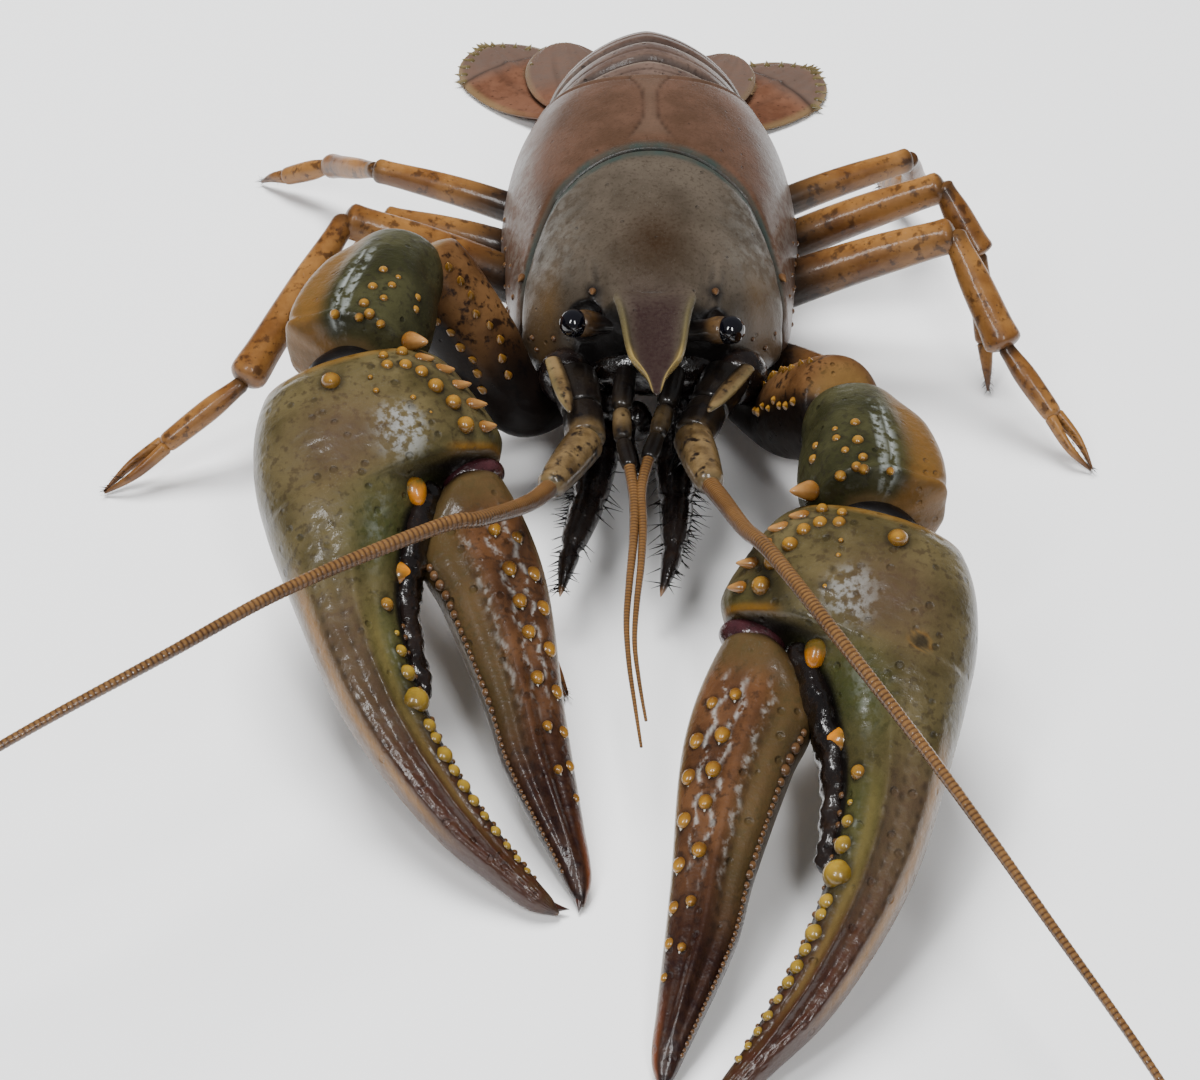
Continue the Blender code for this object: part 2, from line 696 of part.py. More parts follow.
LEG_PATHS = {
    "leg_1_r": [spot(-6.0, -6.5, 6.2), spot(-20.5, -13, 9.0), spot(-16.5, -31.5, 4.5), spot(-7.4, -47.8, -0.2)],
    "leg_2_r": [spot(-6.5, -0.5, 6.0), spot(-28.3, -0.4, 16.3), spot(-37.1, -14.7, 8), spot(-49.8, -21, -0.2)],
    "leg_3_r": [spot(-6.5, 5.5, 6.2), spot(-25.5, 6.8, 11.5), spot(-31, -0.5, 6), spot(-32.6, -11.5, -0.2)],
    "leg_4_r": [spot(-6.0, 11.5, 6.8), spot(-27.2, 18.5, 10), spot(-32.9, 27.5, 5), spot(-41.0, 31.9, -0.2)],
    "leg_1_l": [spot(6.0, -6.5, 6.2), spot(19.0, -16.5, 8.5), spot(19.5, -32, 5), spot(18.5, -43, -0.2)],
    "leg_2_l": [spot(6.5, -0.5, 6.0), spot(28.1, -1.9, 15.6), spot(32.8, -9.2, 8), spot(40.5, -17.7, -0.2)],
    "leg_3_l": [spot(6.5, 5.5, 6.2), spot(27.6, 4.2, 17.0), spot(31.2, 1.0, 11.5), spot(32.4, -5.6, -0.2)],
    "leg_4_l": [spot(6.0, 11.5, 6.8), spot(26.2, 17.6, 11.8), spot(27.6, 23.0, 6.0), spot(25.0, 31.0, -0.2)],
}
THIGH = [mm(2.2, 2.2), mm(2.1, 1.9), mm(2.0, 1.7), mm(1.9, 1.6)]
SHIN = [mm(1.5, 1.4), mm(1.7, 1.6), mm(1.6, 1.45)]
PINCER_LEGS = ("leg_1", "leg_2")
TOE = [mm(1.05, 1.0), mm(1.1, 0.95), mm(1.0, 0.85), mm(0.4, 0.4)]
# Second finger of a pincer: shares of the last article, how far it stands beside it, and its radii.
SECOND_FINGER = [(0.5, 0.0, mm(0.6)), (0.7, mm(1.15), mm(0.5)), (1.0, mm(0.55), mm(0.22))]


def build_legs(thorax, head):
    """Eight walking legs, each in three articles, cut clear of the shell they grow from."""
    for name, joints in LEG_PATHS.items():
        names = [f"{name}_thigh", f"{name}_shin", f"{name}_toe"]
        nodes = limb(names, joints, [THIGH, SHIN, TOE], Palette.LEG, Vector((0, 0, 1)))
        cut_clear(nodes[0], [thorax, head])
        if name[:5] in PINCER_LEGS:
            add_pincer(nodes[-1], joints[-2], joints[-1])
        cut_floor(nodes[-1])


def add_pincer(node, wrist, foot):
    """Give a leg's last article a second finger beside its tip."""
    along = (foot - wrist).normalized()
    beside = along.cross(Vector((0, 0, 1))).normalized()
    path = [wrist.lerp(foot, share) + beside * apart for share, apart, radius in SECOND_FINGER]
    bm = bmesh.new()
    bm.from_mesh(node.data)
    bm = combine(bm, [tube(path, [radius for share, apart, radius in SECOND_FINGER], 6)], "UNION")
    bmesh.ops.triangulate(bm, faces=bm.faces)
    bm.to_mesh(node.data)
    bm.free()


def cut_floor(node):
    """Cut off what would reach below the floor, which leaves a small flat to stand on."""
    bm = bmesh.new()
    bm.from_mesh(node.data)
    bmesh.ops.bisect_plane(bm, geom=bm.verts[:] + bm.edges[:] + bm.faces[:], dist=1e-7, plane_co=(0, 0, 0),
                           plane_no=(0, 0, -1), clear_outer=True)
    rim = [edge for edge in bm.edges if len(edge.link_faces) == 1]
    bmesh.ops.edgeloop_fill(bm, edges=rim)
    bmesh.ops.recalc_face_normals(bm, faces=bm.faces)
    bmesh.ops.triangulate(bm, faces=bm.faces)
    bm.to_mesh(node.data)
    bm.free()


def cut_clear(node, others):
    """Cut a node back so that it keeps the gap to what it grows from."""
    bm = bmesh.new()
    bm.from_mesh(node.data)
    bm = combine(bm, [swollen(other, GAP) for other in others], "DIFFERENCE")
    bmesh.ops.triangulate(bm, faces=bm.faces)
    bm.to_mesh(node.data)
    bm.free()


class Claw:
    """One big claw, drawn in its own frame: s along it, t across it, n up out of its face."""

    LENGTH = mm(50.6)
    HINGE = mm(13.0)
    POWER = 0.92
    PALM_ROW = 7
    BITE_ROW = 12
    BIG_BEAD = 31.8
    SMOOTH_KNOB = 1.0
    RIM_SPINE = mm(0.62, 1.2)
    # Knobs of the palm: place along it, share across it, radius.
    KNOBS = [(4.1, 0.26, 0.95), (13.9, -0.86, 1.15), (21.2, -0.93, 0.85), (5.4, -0.1, 0.4), (7.2, -0.12, 0.4)]
    PALM_PLACES = mm(0.15, 1.6, 4.5, 8.5, 11.5, 12.9, 13.0, 16.0, 19.5, 24.0, 29.0, 34.0, 39.0, 44.0, 48.0, 50.6)
    FINGER_PLACES = mm(13.4, 16.0, 19.5, 24.0, 29.0, 34.0, 39.0, 44.0, 48.0, 50.5)
    OUTER = [mm(0.15, 6.2), mm(1.6, 8.1), mm(5.7, 10.3), mm(11.3, 11.5), mm(22.3, 11.5), mm(29.4, 11.0),
             mm(36.2, 9.4), mm(42.2, 7.2), mm(46.3, 4.8), mm(49.4, 2.8), mm(50.6, 1.3)]
    PALM_INNER = [mm(0.15, -5.4), mm(2.1, -7.2), mm(6.2, -8.6), mm(10.6, -9.5), mm(12.9, -8.4)]
    CROTCH = [mm(13.0, -2.9), mm(16.0, -0.2), mm(19.5, 2.0), mm(24.2, 3.9), mm(31.5, 4.6), mm(38.0, 4.0),
              mm(45.6, 2.1), mm(50.6, 0.3)]
    THICK = [mm(0.15, 6.5), mm(2.6, 9.8), mm(8.0, 12.0), mm(14.0, 11.0), mm(20.0, 8.6), mm(30.0, 6.6),
             mm(40.0, 4.8), mm(48.0, 2.8), mm(50.6, 1.4)]
    FINGER_FREE = [mm(13.4, -8.0), mm(19.5, -8.7), mm(25.2, -8.2), mm(34.9, -5.8), mm(44.9, -3.6),
                    mm(48.5, -2.8), mm(50.5, -1.7)]
    FINGER_BITE = [mm(13.4, -3.2), mm(16.0, -0.9), mm(19.5, 0.8), mm(23.5, 0.4), mm(32.9, 0.2), mm(38.2, 0.5),
                    mm(46.5, -0.4), mm(50.5, -0.9)]
    FINGER_THICK = [mm(13.4, 5.4), mm(18.0, 6.4), mm(26.0, 6.0), mm(36.0, 4.6), mm(46.0, 3.0), mm(50.5, 1.0)]

    def __init__(self, name, wrist, tip, side, scale=1.0, gape=0.0):
        self.name = name
        self.gape = gape
        self.wrist = wrist
        self.scale = scale
        self.along = (tip - wrist).normalized()
        across = self.along.cross(Vector((0, 0, 1))).normalized()
        self.across = across if across.x * side > 0 else -across
        self.up = self.across.cross(self.along)
        if self.up.z < 0:
            self.up = -self.up

    def place(self, s, t, n):
        """A point of the claw in the animal's frame."""
        return self.wrist + (self.along * s + self.across * t + self.up * n) * self.scale

    def section(self, s, outer, inner, thick, sides=16):
        """One oval section between an outer and an inner edge."""
        middle = (outer + inner) / 2
        half = (outer - inner) / 2
        ring = []
        for k in range(sides):
            side, rise = superellipse(math.tau * (k + 0.5) / sides, self.POWER)
            ring.append(self.place(s, middle + half * side, thick / 2 * rise))
        return ring

    def edges(self, s, finger):
        """Outer edge, inner edge and thickness at a place along the claw or its movable finger."""
        if finger:
            return smooth(self.FINGER_BITE, s), smooth(self.FINGER_FREE, s), smooth(self.FINGER_THICK, s)
        spread = self.gape * max(0.0, s - self.HINGE) / self.LENGTH
        inner = self.PALM_INNER if s < self.HINGE else self.CROTCH
        return smooth(self.OUTER, s) + spread, smooth(inner, s) + spread, smooth(self.THICK, s)

    def surface(self, s, share, finger=False):
        """Point and outward direction on the upper face; the share runs from -1 inside to 1 outside."""
        outer, inner, thick = self.edges(s, finger)
        half = (outer - inner) / 2
        rise = (1.0 - abs(share) ** (2.0 / self.POWER)) ** (self.POWER / 2.0)
        point = self.place(s, (outer + inner) / 2 + half * share, thick / 2 * rise)
        normal = self.across * (share / half) + self.up * (2.0 * rise / thick)
        return point, normal.normalized()

    def bead_row(self, places, shares, radii, finger=False):
        """A row of beads along the claw."""
        pieces = []
        for s, share, radius in zip(places, shares, radii):
            point, normal = self.surface(s, share, finger)
            pieces.append(bead(point, normal, radius))
        return pieces

    def palm_beads(self):
        """Beads and spines of the palm and the fixed finger."""
        count = self.PALM_ROW
        places = [mm(3.7 + 7.3 * t ** 1.3) for t in row(0.0, 1.0, count)]
        radii = [mm(0.62 + 0.28 * math.sin(math.pi * t)) for t in row(0.1, 0.9, count)]
        pieces = self.bead_row(places, row(-0.24, -0.68, count), radii)
        forward = self.along * 0.8 - self.across * 0.75
        for s, share in zip(row(2.8, 11.4, count), row(-0.56, -0.95, count)):
            point, normal = self.surface(mm(s), share)
            pieces.append(spine(point, forward + normal * 0.5, *self.RIM_SPINE))
        for s, share, radius in self.KNOBS:
            point, normal = self.surface(mm(s), share)
            pieces.append(bead(point, normal, mm(radius), 2 if radius > self.SMOOTH_KNOB else 1))
        places = row(26.0, 46.0, self.BITE_ROW)
        radii = [mm(0.4 + 0.62 * math.exp(-((s - self.BIG_BEAD) / 2.6) ** 2) + 0.012 * (46.0 - s)) for s in places]
        pieces += self.bead_row([mm(s) for s in places], [-0.7] * self.BITE_ROW, radii)
        hook = self.place(mm(50.0), self.edges(mm(50.0), False)[1] + mm(0.5), 0.0)
        pieces.append(spine(hook, self.along * 0.45 - self.across * 0.9, mm(0.45), mm(1.0)))
        return pieces

    def finger_beads(self):
        """Beads, teeth and hooked tip of the movable finger."""
        pieces = self.bead_row([mm(s) for s in row(19.0, 33.0, 6)], row(-0.34, -0.42, 6),
                               [mm(r) for r in row(0.6, 0.4, 6)], True)
        pieces += self.bead_row([mm(s) for s in row(19.2, 38.0, 8)], row(-0.78, -0.84, 8),
                                [mm(r) for r in row(0.6, 0.36, 8)], True)
        pieces += self.bead_row([mm(s) for s in row(22.0, 44.0, 9)], [0.95] * 9,
                                [mm(r) for r in row(0.5, 0.3, 9)], True)
        hook = self.place(mm(49.9), self.edges(mm(49.9), True)[0] - mm(0.5), 0.0)
        pieces.append(spine(hook, self.along * 0.85 + self.across * 0.4, mm(0.42), mm(0.9)))
        return pieces

    def build(self):
        """Palm with its fixed finger, and the movable finger."""
        rings = []
        for s in self.PALM_PLACES:
            rings.append(self.section(s, *self.edges(s, False)))
        palm = combine(loft(rings), self.palm_beads(), "UNION")
        cut_floor(add_node(f"claw_palm_{self.name}", palm, Palette.CLAW))
        rings = []
        for s in self.FINGER_PLACES:
            rings.append(self.section(s, *self.edges(s, True), 12))
        finger = combine(loft(rings), self.finger_beads(), "UNION")
        cut_floor(add_node(f"claw_finger_{self.name}", finger, Palette.FINGER))


CLAW_ARMS = {
    "r": [spot(-7.8, -14.0, 6.8), spot(-11.8, -17.8, 8.0), spot(-21.8, -12.3, 20.6), spot(-25.5, -28.5, 20)],
    "l": [spot(7.8, -14.0, 6.8), spot(11.2, -19.8, 8.0), spot(16.2, -30.4, 17.2), spot(16.8, -45.3, 17)],
}
CLAW_TIPS = {"r": spot(-6.9, -72.0, 0.1), "l": spot(0.9, -88.4, 0.5)}
CLAW_SCALES = {"r": 1.0, "l": 0.97}
CLAW_GAPES = {"r": 0.0, "l": mm(2.2)}
UPPER_ARM = [mm(2.6, 2.4), mm(3.0, 2.7), mm(4.2, 3.4), mm(4.6, 3.9), mm(4.2, 3.6)]
CARPUS = [mm(2.6, 2.6), mm(4.5, 4.8), mm(5.6, 6.3), mm(5.6, 6.6), mm(4.6, 5.6)]
CARPUS_SHARES = (0.0, 0.12, 0.4, 0.7, 1.0)
UPPER_ARM_SHARES = (0.0, 0.35, 0.75, 0.98)
CARPUS_RIM = 0.93
CARPUS_RIM_TURNS = (-25.0, 50.0, 4)
CARPUS_ROW = (0.35, 0.8, 4)
CARPUS_ROW_TURNS = (38.0, 52.0)
CARPUS_SPINE = (0.68, 72.0)
CARPUS_BEAD = mm(0.6)
MERUS_ROW = (0.4, 0.85, 4)
MERUS_ROW_TURNS = (5.0, 48.0)


def arm_point(start, end, table, share, degrees):
    """Point and outward direction on an article, turned from its top towards the animal's middle."""
    turn = math.radians(degrees)
    along = (end - start).normalized()
    beside = along.cross(Vector((0, 0, 1))).normalized()
    if beside.x * start.x > 0:
        beside = -beside
    upright = along.cross(beside)
    upright = upright if upright.z > 0 else -upright
    tall = smooth([(row_share, size[0]) for row_share, size in table], share)
    wide = smooth([(row_share, size[1]) for row_share, size in table], share)
    point = start.lerp(end, share) + upright * (tall * math.cos(turn)) + beside * (wide * math.sin(turn))
    normal = upright * (math.cos(turn) / tall) + beside * (math.sin(turn) / wide)
    return point, normal.normalized()


def carpus_beads(elbow, wrist):
    """Beads along the front rim and inner face of the wrist article, and its big inner spine."""
    table = list(zip(CARPUS_SHARES, CARPUS))
    along = (wrist - elbow).normalized()
    pieces = []
    for degrees in row(*CARPUS_RIM_TURNS):
        pieces.append(bead(*arm_point(elbow, wrist, table, CARPUS_RIM, degrees), CARPUS_BEAD))
    for i, share in enumerate(row(*CARPUS_ROW)):
        pieces.append(bead(*arm_point(elbow, wrist, table, share, CARPUS_ROW_TURNS[i % 2]), CARPUS_BEAD))
    point, normal = arm_point(elbow, wrist, table, *CARPUS_SPINE)
    pieces.append(spine(point, normal + along * 0.7, mm(1.0), mm(2.0)))
    return pieces


def merus_beads(bend, elbow):
    """Two rows of tubercles on the upper arm."""
    table = list(zip(UPPER_ARM_SHARES, UPPER_ARM[1:]))
    along = (elbow - bend).normalized()
    pieces = []
    for share in row(*MERUS_ROW):
        for degrees in MERUS_ROW_TURNS:
            point, normal = arm_point(bend, elbow, table, share, degrees)
            pieces.append(spine(point, normal + along * 0.6, mm(0.55), mm(0.7)))
    return pieces


def build_claw_arms(thorax, head):
    """Both big claws and the arms that carry them."""
    for key, joints in CLAW_ARMS.items():
        shoulder, bend, elbow, wrist = joints
        claw = Claw(key, wrist, CLAW_TIPS[key], -1 if key == "r" else 1, CLAW_SCALES[key], CLAW_GAPES[key])
        claw.build()
        end = wrist - claw.along * GAP / 2
        lower = [elbow.lerp(end, share) for share in CARPUS_SHARES]
        block = combine(tube(lower, CARPUS, 12, end_normal=claw.along), carpus_beads(elbow, end), "UNION")
        carpus = add_node(f"arm_carpus_{key}", block, Palette.WRIST)
        upper = [shoulder] + [bend.lerp(elbow, share) for share in UPPER_ARM_SHARES]
        block = combine(tube(upper, UPPER_ARM, 10), merus_beads(bend, elbow), "UNION")
        merus = add_node(f"arm_merus_{key}", block, Palette.ARM)
        cut_clear(merus, [thorax, head, carpus])


# Eyes, feelers and mouthparts.
FEELER_PATHS = {
    "r": [spot(-9.2, -36.7, 13.2), spot(-10.6, -41.7, 15.8), spot(-13.9, -49.4, 20.6), spot(-17.1, -52.1, 22.0),
          spot(-27.3, -59.5, 22.5), spot(-36.0, -67.3, 22.5), spot(-46.1, -74.5, 21.0), spot(-57.0, -80.5, 17.0),
          spot(-67.5, -83.5, 12.0)],
    "l": [spot(4.6, -36.3, 13.2), spot(5.4, -40.3, 14.8), spot(6.6, -48.0, 18.4), spot(8.2, -53.9, 21.0),
          spot(12.5, -65.2, 22.4), spot(19.0, -77.1, 20.5), spot(24.7, -89.0, 19.0), spot(30.1, -100.5, 17.5),
          spot(36.0, -113.0, 14.0)],
}
PEDUNCLE_PATHS = {
    "r": [spot(-7.0, -20.4, 12.6), spot(-6.2, -24.8, 12.2), spot(-5.9, -28.6, 12.0), spot(-9.0, -36.3, 13.0)],
    "l": [spot(6.4, -20.2, 12.6), spot(4.6, -24.4, 12.2), spot(3.2, -28.0, 12.0), spot(4.5, -35.9, 13.0)],
}
SCALE_PATHS = {
    "r": [spot(-8.9, -20.2, 14.8), spot(-7.4, -26.8, 14.4)],
    "l": [spot(8.3, -21.4, 14.8), spot(4.9, -26.8, 14.4)],
}
INNER_FEELERS = {
    "r": [spot(-2.4, -20.8, 14.0), spot(-3.0, -28.0, 13.0), spot(-2.1, -34.0, 12.0), spot(-2.1, -40.0, 10.5),
          spot(-2.6, -45.7, 9.0), spot(-2.7, -50.6, 8.0), spot(-1.7, -60.0, 6.4)],
    "l": [spot(2.0, -20.8, 14.0), spot(0.4, -28.0, 13.0), spot(-1.1, -34.0, 12.0), spot(-1.1, -40.0, 10.5),
          spot(-1.6, -45.7, 9.0), spot(-1.7, -50.6, 8.0), spot(-0.8, -57.5, 6.8)],
}
MOUTH_LEGS = {
    "r": [spot(-3.0, -17.2, 6.8), spot(-4.7, -24.1, 7.0), spot(-5.7, -29.8, 6.5), spot(-7.2, -35.3, 5.4),
          spot(-8.1, -39.4, 3.8)],
    "l": [spot(3.0, -17.2, 6.8), spot(1.9, -24.1, 7.0), spot(1.9, -29.8, 6.5), spot(1.5, -35.3, 5.4),
          spot(0.4, -39.4, 3.8)],
}
INNER_FEELER_POINTS = 16
INNER_FEELER_BASE = mm(1.05, 1.0, 0.95, 0.7, 0.42)
INNER_FEELER_WHIP = mm(0.34, 0.26)
PEDUNCLE_RADII = mm(2.1, 1.7, 1.9, 1.3)
FEELER_POINTS = 26
FEELER_WHIP = mm(0.95, 0.26)
FEELER_SCALE = mm(1.0, 0.7)
STALK_REACH = mm(2.6, 4.2)
MOUTH_LEG_RADII = mm(1.6, 1.6, 1.45, 1.1, 0.3)
MOUTH_BRISTLES = (0.3, 0.86, 5)


def build_head_parts(head):
    """Eyes on their stalks, both pairs of feelers, their scales and the mouth legs."""
    for key, side, eye in (("r", -1, EYE_RIGHT), ("l", 1, EYE_LEFT)):
        build_eye(key, side, eye, head)
        peduncle = build_feeler(key, head)
        leaf = paddle(*SCALE_PATHS[key], *FEELER_SCALE, 0.5, 0.7, sides=8)
        cut_clear(add_node(f"antenna_scale_{key}", leaf, Palette.PEDUNCLE), [head, peduncle])
        radii = list(INNER_FEELER_BASE)
        radii += row(*INNER_FEELER_WHIP, INNER_FEELER_POINTS - len(radii))
        path = curve_through(INNER_FEELERS[key], INNER_FEELER_POINTS)
        cut_clear(add_node(f"antennule_{key}", tube(path, radii, 6), Palette.FEELER), [head])
        build_mouth_leg(key, side, head)


def build_eye(key, side, eye, head):
    """An eye and the stalk that it sits on."""
    add_node(f"eye_{key}", ball(eye, EYE_RADIUS), Palette.EYE, 0.05)
    inward = Vector((-side * 0.85, 0.35, -0.25)).normalized()
    path = [eye + inward * reach for reach in (EYE_RADIUS + GAP, *STALK_REACH)]
    stalk = tube(path, [STALK_RADIUS * 0.8, STALK_RADIUS, STALK_RADIUS * 0.8], 8)
    cut_clear(add_node(f"eyestalk_{key}", stalk, Palette.STALK), [head])


def build_feeler(key, head):
    """The long feeler and the articles that carry it; the articles."""
    joints = PEDUNCLE_PATHS[key]
    peduncle = add_node(f"antenna_base_{key}", tube(joints, PEDUNCLE_RADII, 8), Palette.PEDUNCLE)
    cut_clear(peduncle, [head])
    path = curve_through(FEELER_PATHS[key], FEELER_POINTS)
    outward = (joints[-1] - joints[-2]).normalized()
    path[0] = joints[-1] + outward * GAP
    whip = tube(path, row(*FEELER_WHIP, FEELER_POINTS), 6, start_normal=outward)
    add_node(f"antenna_{key}", whip, Palette.FEELER)
    return peduncle


def build_mouth_leg(key, side, head):
    """The outer mouth leg, with bristles on its inner side."""
    places = curve_through(MOUTH_LEGS[key], 41)
    bristles = []
    for share in row(*MOUTH_BRISTLES):
        place = places[round(share * 40)]
        bristles.append(spine(place, Vector((-side, -0.35, -0.25)), mm(0.4), mm(2.6 - 1.2 * share)))
    mouth = combine(tube(MOUTH_LEGS[key], MOUTH_LEG_RADII, 8), bristles, "UNION")
    cut_clear(add_node(f"maxilliped_{key}", mouth, Palette.MOUTH), [head])


def clear_scene():
    """Start from an empty scene."""
    for item in list(bpy.data.objects):
        bpy.data.objects.remove(item)


def settle(animal):
    """Put the origin under the middle of the whole animal, on the floor."""
    bpy.context.view_layer.update()
    corners = [node.matrix_world @ vert.co for node in animal.children for vert in node.data.vertices]
    low = Vector([min(corner[i] for corner in corners) for i in range(3)])
    high = Vector([max(corner[i] for corner in corners) for i in range(3)])
    animal.location = Vector((-(low.x + high.x) / 2, -(low.y + high.y) / 2, -low.z))


clear_scene()
ANIMAL = bpy.data.objects.new("crayfish", None)
bpy.context.collection.objects.link(ANIMAL)
THORAX = add_node("thorax_shield", build_thorax(), Palette.THORAX)
HEAD = build_head_shield()
LAST_RING = build_abdomen(THORAX)
build_tail_fan(LAST_RING)
build_legs(THORAX, HEAD)
build_claw_arms(THORAX, HEAD)
build_head_parts(HEAD)
settle(ANIMAL)
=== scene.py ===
"""Looks of a large stream crayfish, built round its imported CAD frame.

Shapes are worked out in the animal's own frame and in millimetres: the middle line is x = 0, the
animal faces -Y, its groove crosses the middle of the back at y = 0 and the floor is z = 0. Each
finished piece is then scaled to metres and moved to where the frame has the animal.
"""
import logging
import math
import random
from dataclasses import dataclass, field
from typing import Callable, Sequence

import bmesh
import bpy
import numpy as np
from mathutils import Matrix, Vector


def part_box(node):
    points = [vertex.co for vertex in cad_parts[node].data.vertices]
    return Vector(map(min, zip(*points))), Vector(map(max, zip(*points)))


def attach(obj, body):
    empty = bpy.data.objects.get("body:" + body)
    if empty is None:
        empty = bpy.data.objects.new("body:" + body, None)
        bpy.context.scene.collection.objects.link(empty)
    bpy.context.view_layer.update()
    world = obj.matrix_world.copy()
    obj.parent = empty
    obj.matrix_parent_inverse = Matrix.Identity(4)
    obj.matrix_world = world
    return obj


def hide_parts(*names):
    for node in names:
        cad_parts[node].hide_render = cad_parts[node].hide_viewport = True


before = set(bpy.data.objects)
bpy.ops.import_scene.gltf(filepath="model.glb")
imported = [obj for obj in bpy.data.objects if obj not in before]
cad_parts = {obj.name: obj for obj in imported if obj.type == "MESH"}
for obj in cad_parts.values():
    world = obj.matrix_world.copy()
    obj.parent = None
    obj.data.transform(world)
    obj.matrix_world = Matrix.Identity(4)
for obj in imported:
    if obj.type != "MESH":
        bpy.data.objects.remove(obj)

LOG = logging.getLogger("crayfish")
MM = 0.001
TURN = 2.0 * math.pi
UP = Vector((0.0, 0.0, 1.0))

Array = np.ndarray
Colour = tuple[float, float, float]
Socket = bpy.types.NodeSocket
# A warp turns a grid's u and v, both 0 to 1, into places in millimetres.
Warp = Callable[[Array, Array], Array]
# A relief gives a height in millimetres from two places on a body.
Relief = Callable[[Array, Array], Array]
# A paint gives a value, 0 to 1, from places in millimetres and from the u and v kept on them.
Paint = Callable[[Array, Array, Array], Array]
Paints = dict[str, Paint]


# Curves and small formulas.
@dataclass(frozen=True)
class Table:
    """A smooth curve through rows of (place, value)."""

    rows: tuple[tuple[float, float], ...]

    def at(self, place: Array | float) -> Array:
        """Read the curve.

        Args:
            place: one place or an array of them.

        Returns:
            The value at each place, held level past both ends.
        """
        xs = np.array([row[0] for row in self.rows])
        ys = np.array([row[1] for row in self.rows])
        last = len(xs) - 1
        low = np.maximum(np.arange(last + 1) - 1, 0)
        high = np.minimum(np.arange(last + 1) + 1, last)
        slopes = (ys[high] - ys[low]) / (xs[high] - xs[low])
        slot = np.clip(np.searchsorted(xs, place, side="right") - 1, 0, last - 1)
        span = xs[slot + 1] - xs[slot]
        t = np.clip((np.asarray(place, float) - xs[slot]) / span, 0.0, 1.0)
        rise = (2 * t ** 3 - 3 * t ** 2 + 1) * ys[slot] + (3 * t ** 2 - 2 * t ** 3) * ys[slot + 1]
        lean = (t ** 3 - 2 * t ** 2 + t) * slopes[slot] + (t ** 3 - t ** 2) * slopes[slot + 1]
        return rise + lean * span


def table(*rows: tuple[float, float]) -> Table:
    """Make a table from its rows.

    Args:
        rows: the (place, value) pairs, in order of place.

    Returns:
        The table.
    """
    return Table(tuple(rows))


def numbered(values: Sequence[float]) -> Table:
    """Make a table whose places are 0, 1, 2 and so on.

    Args:
        values: the values, in order.

    Returns:
        The table.
    """
    return table(*((float(number), value) for number, value in enumerate(values)))


def ease(low: float, high: float, value: Array) -> Array:
    """Rise smoothly from 0 at low to 1 at high.

    Args:
        low: where the rise starts.
        high: where it ends; it may be under low.
        value: where to read it.

    Returns:
        The height there.
    """
    t = np.clip((value - low) / (high - low), 0.0, 1.0)
    return t * t * (3.0 - 2.0 * t)


def bump(value: Array, centre: Array | float, width: Array | float) -> Array:
    """A smooth hump of height 1.

    Args:
        value: where to read it.
        centre: where the hump is.
        width: its half width.

    Returns:
        The height there.
    """
    return np.exp(-((value - centre) / width) ** 2)


def highest(*values: Array | float) -> Array:
    """Take the highest of several values at each place.

    Args:
        values: arrays or numbers, at least two.

    Returns:
        The highest of them.
    """
    top = values[0]
    for value in values[1:]:
        top = np.maximum(top, value)
    return top


def bare(co: Array, u: Array, v: Array) -> Array:
    """A painted value of 0 everywhere."""
    return np.zeros(len(co))


def superellipse(angle: Array, power: float) -> tuple[Array, Array]:
    """Sine and cosine of an angle, squared up by a power under 1.

    Args:
        angle: the angle in radians.
        power: 1 for a circle, less for a boxier outline.

    Returns:
        Both values.
    """
    sine = np.sin(angle)
    cosine = np.cos(angle)
    return np.sign(sine) * np.abs(sine) ** power, np.sign(cosine) * np.abs(cosine) ** power


def dome(share: Array, depth: float) -> Array:
    """How far a body has reached its full girth, near both of its rounded ends.

    Args:
        share: place along the body, 0 to 1.
        depth: share of the length that each end takes.

    Returns:
        Girth, 0 at both ends and 1 between them.
    """
    start = 1.0 - np.clip(share / depth, 0.0, 1.0)
    end = 1.0 - np.clip((1.0 - share) / depth, 0.0, 1.0)
    return np.sqrt(np.clip(1.0 - start ** 2, 0.0, 1.0)) * np.sqrt(np.clip(1.0 - end ** 2, 0.0, 1.0))


def crowd(share: Array) -> Array:
    """Crowd even places towards both ends, where a body's girth changes fast.

    Args:
        share: even places, 0 to 1.

    Returns:
        The crowded places, 0 to 1.
    """
    return 0.5 - 0.5 * np.cos(np.pi * share)


def points(*places: tuple[float, float, float]) -> list[Vector]:
    """Turn triples into vectors.

    Args:
        places: places in millimetres.

    Returns:
        The same places as vectors.
    """
    return [Vector(place) for place in places]


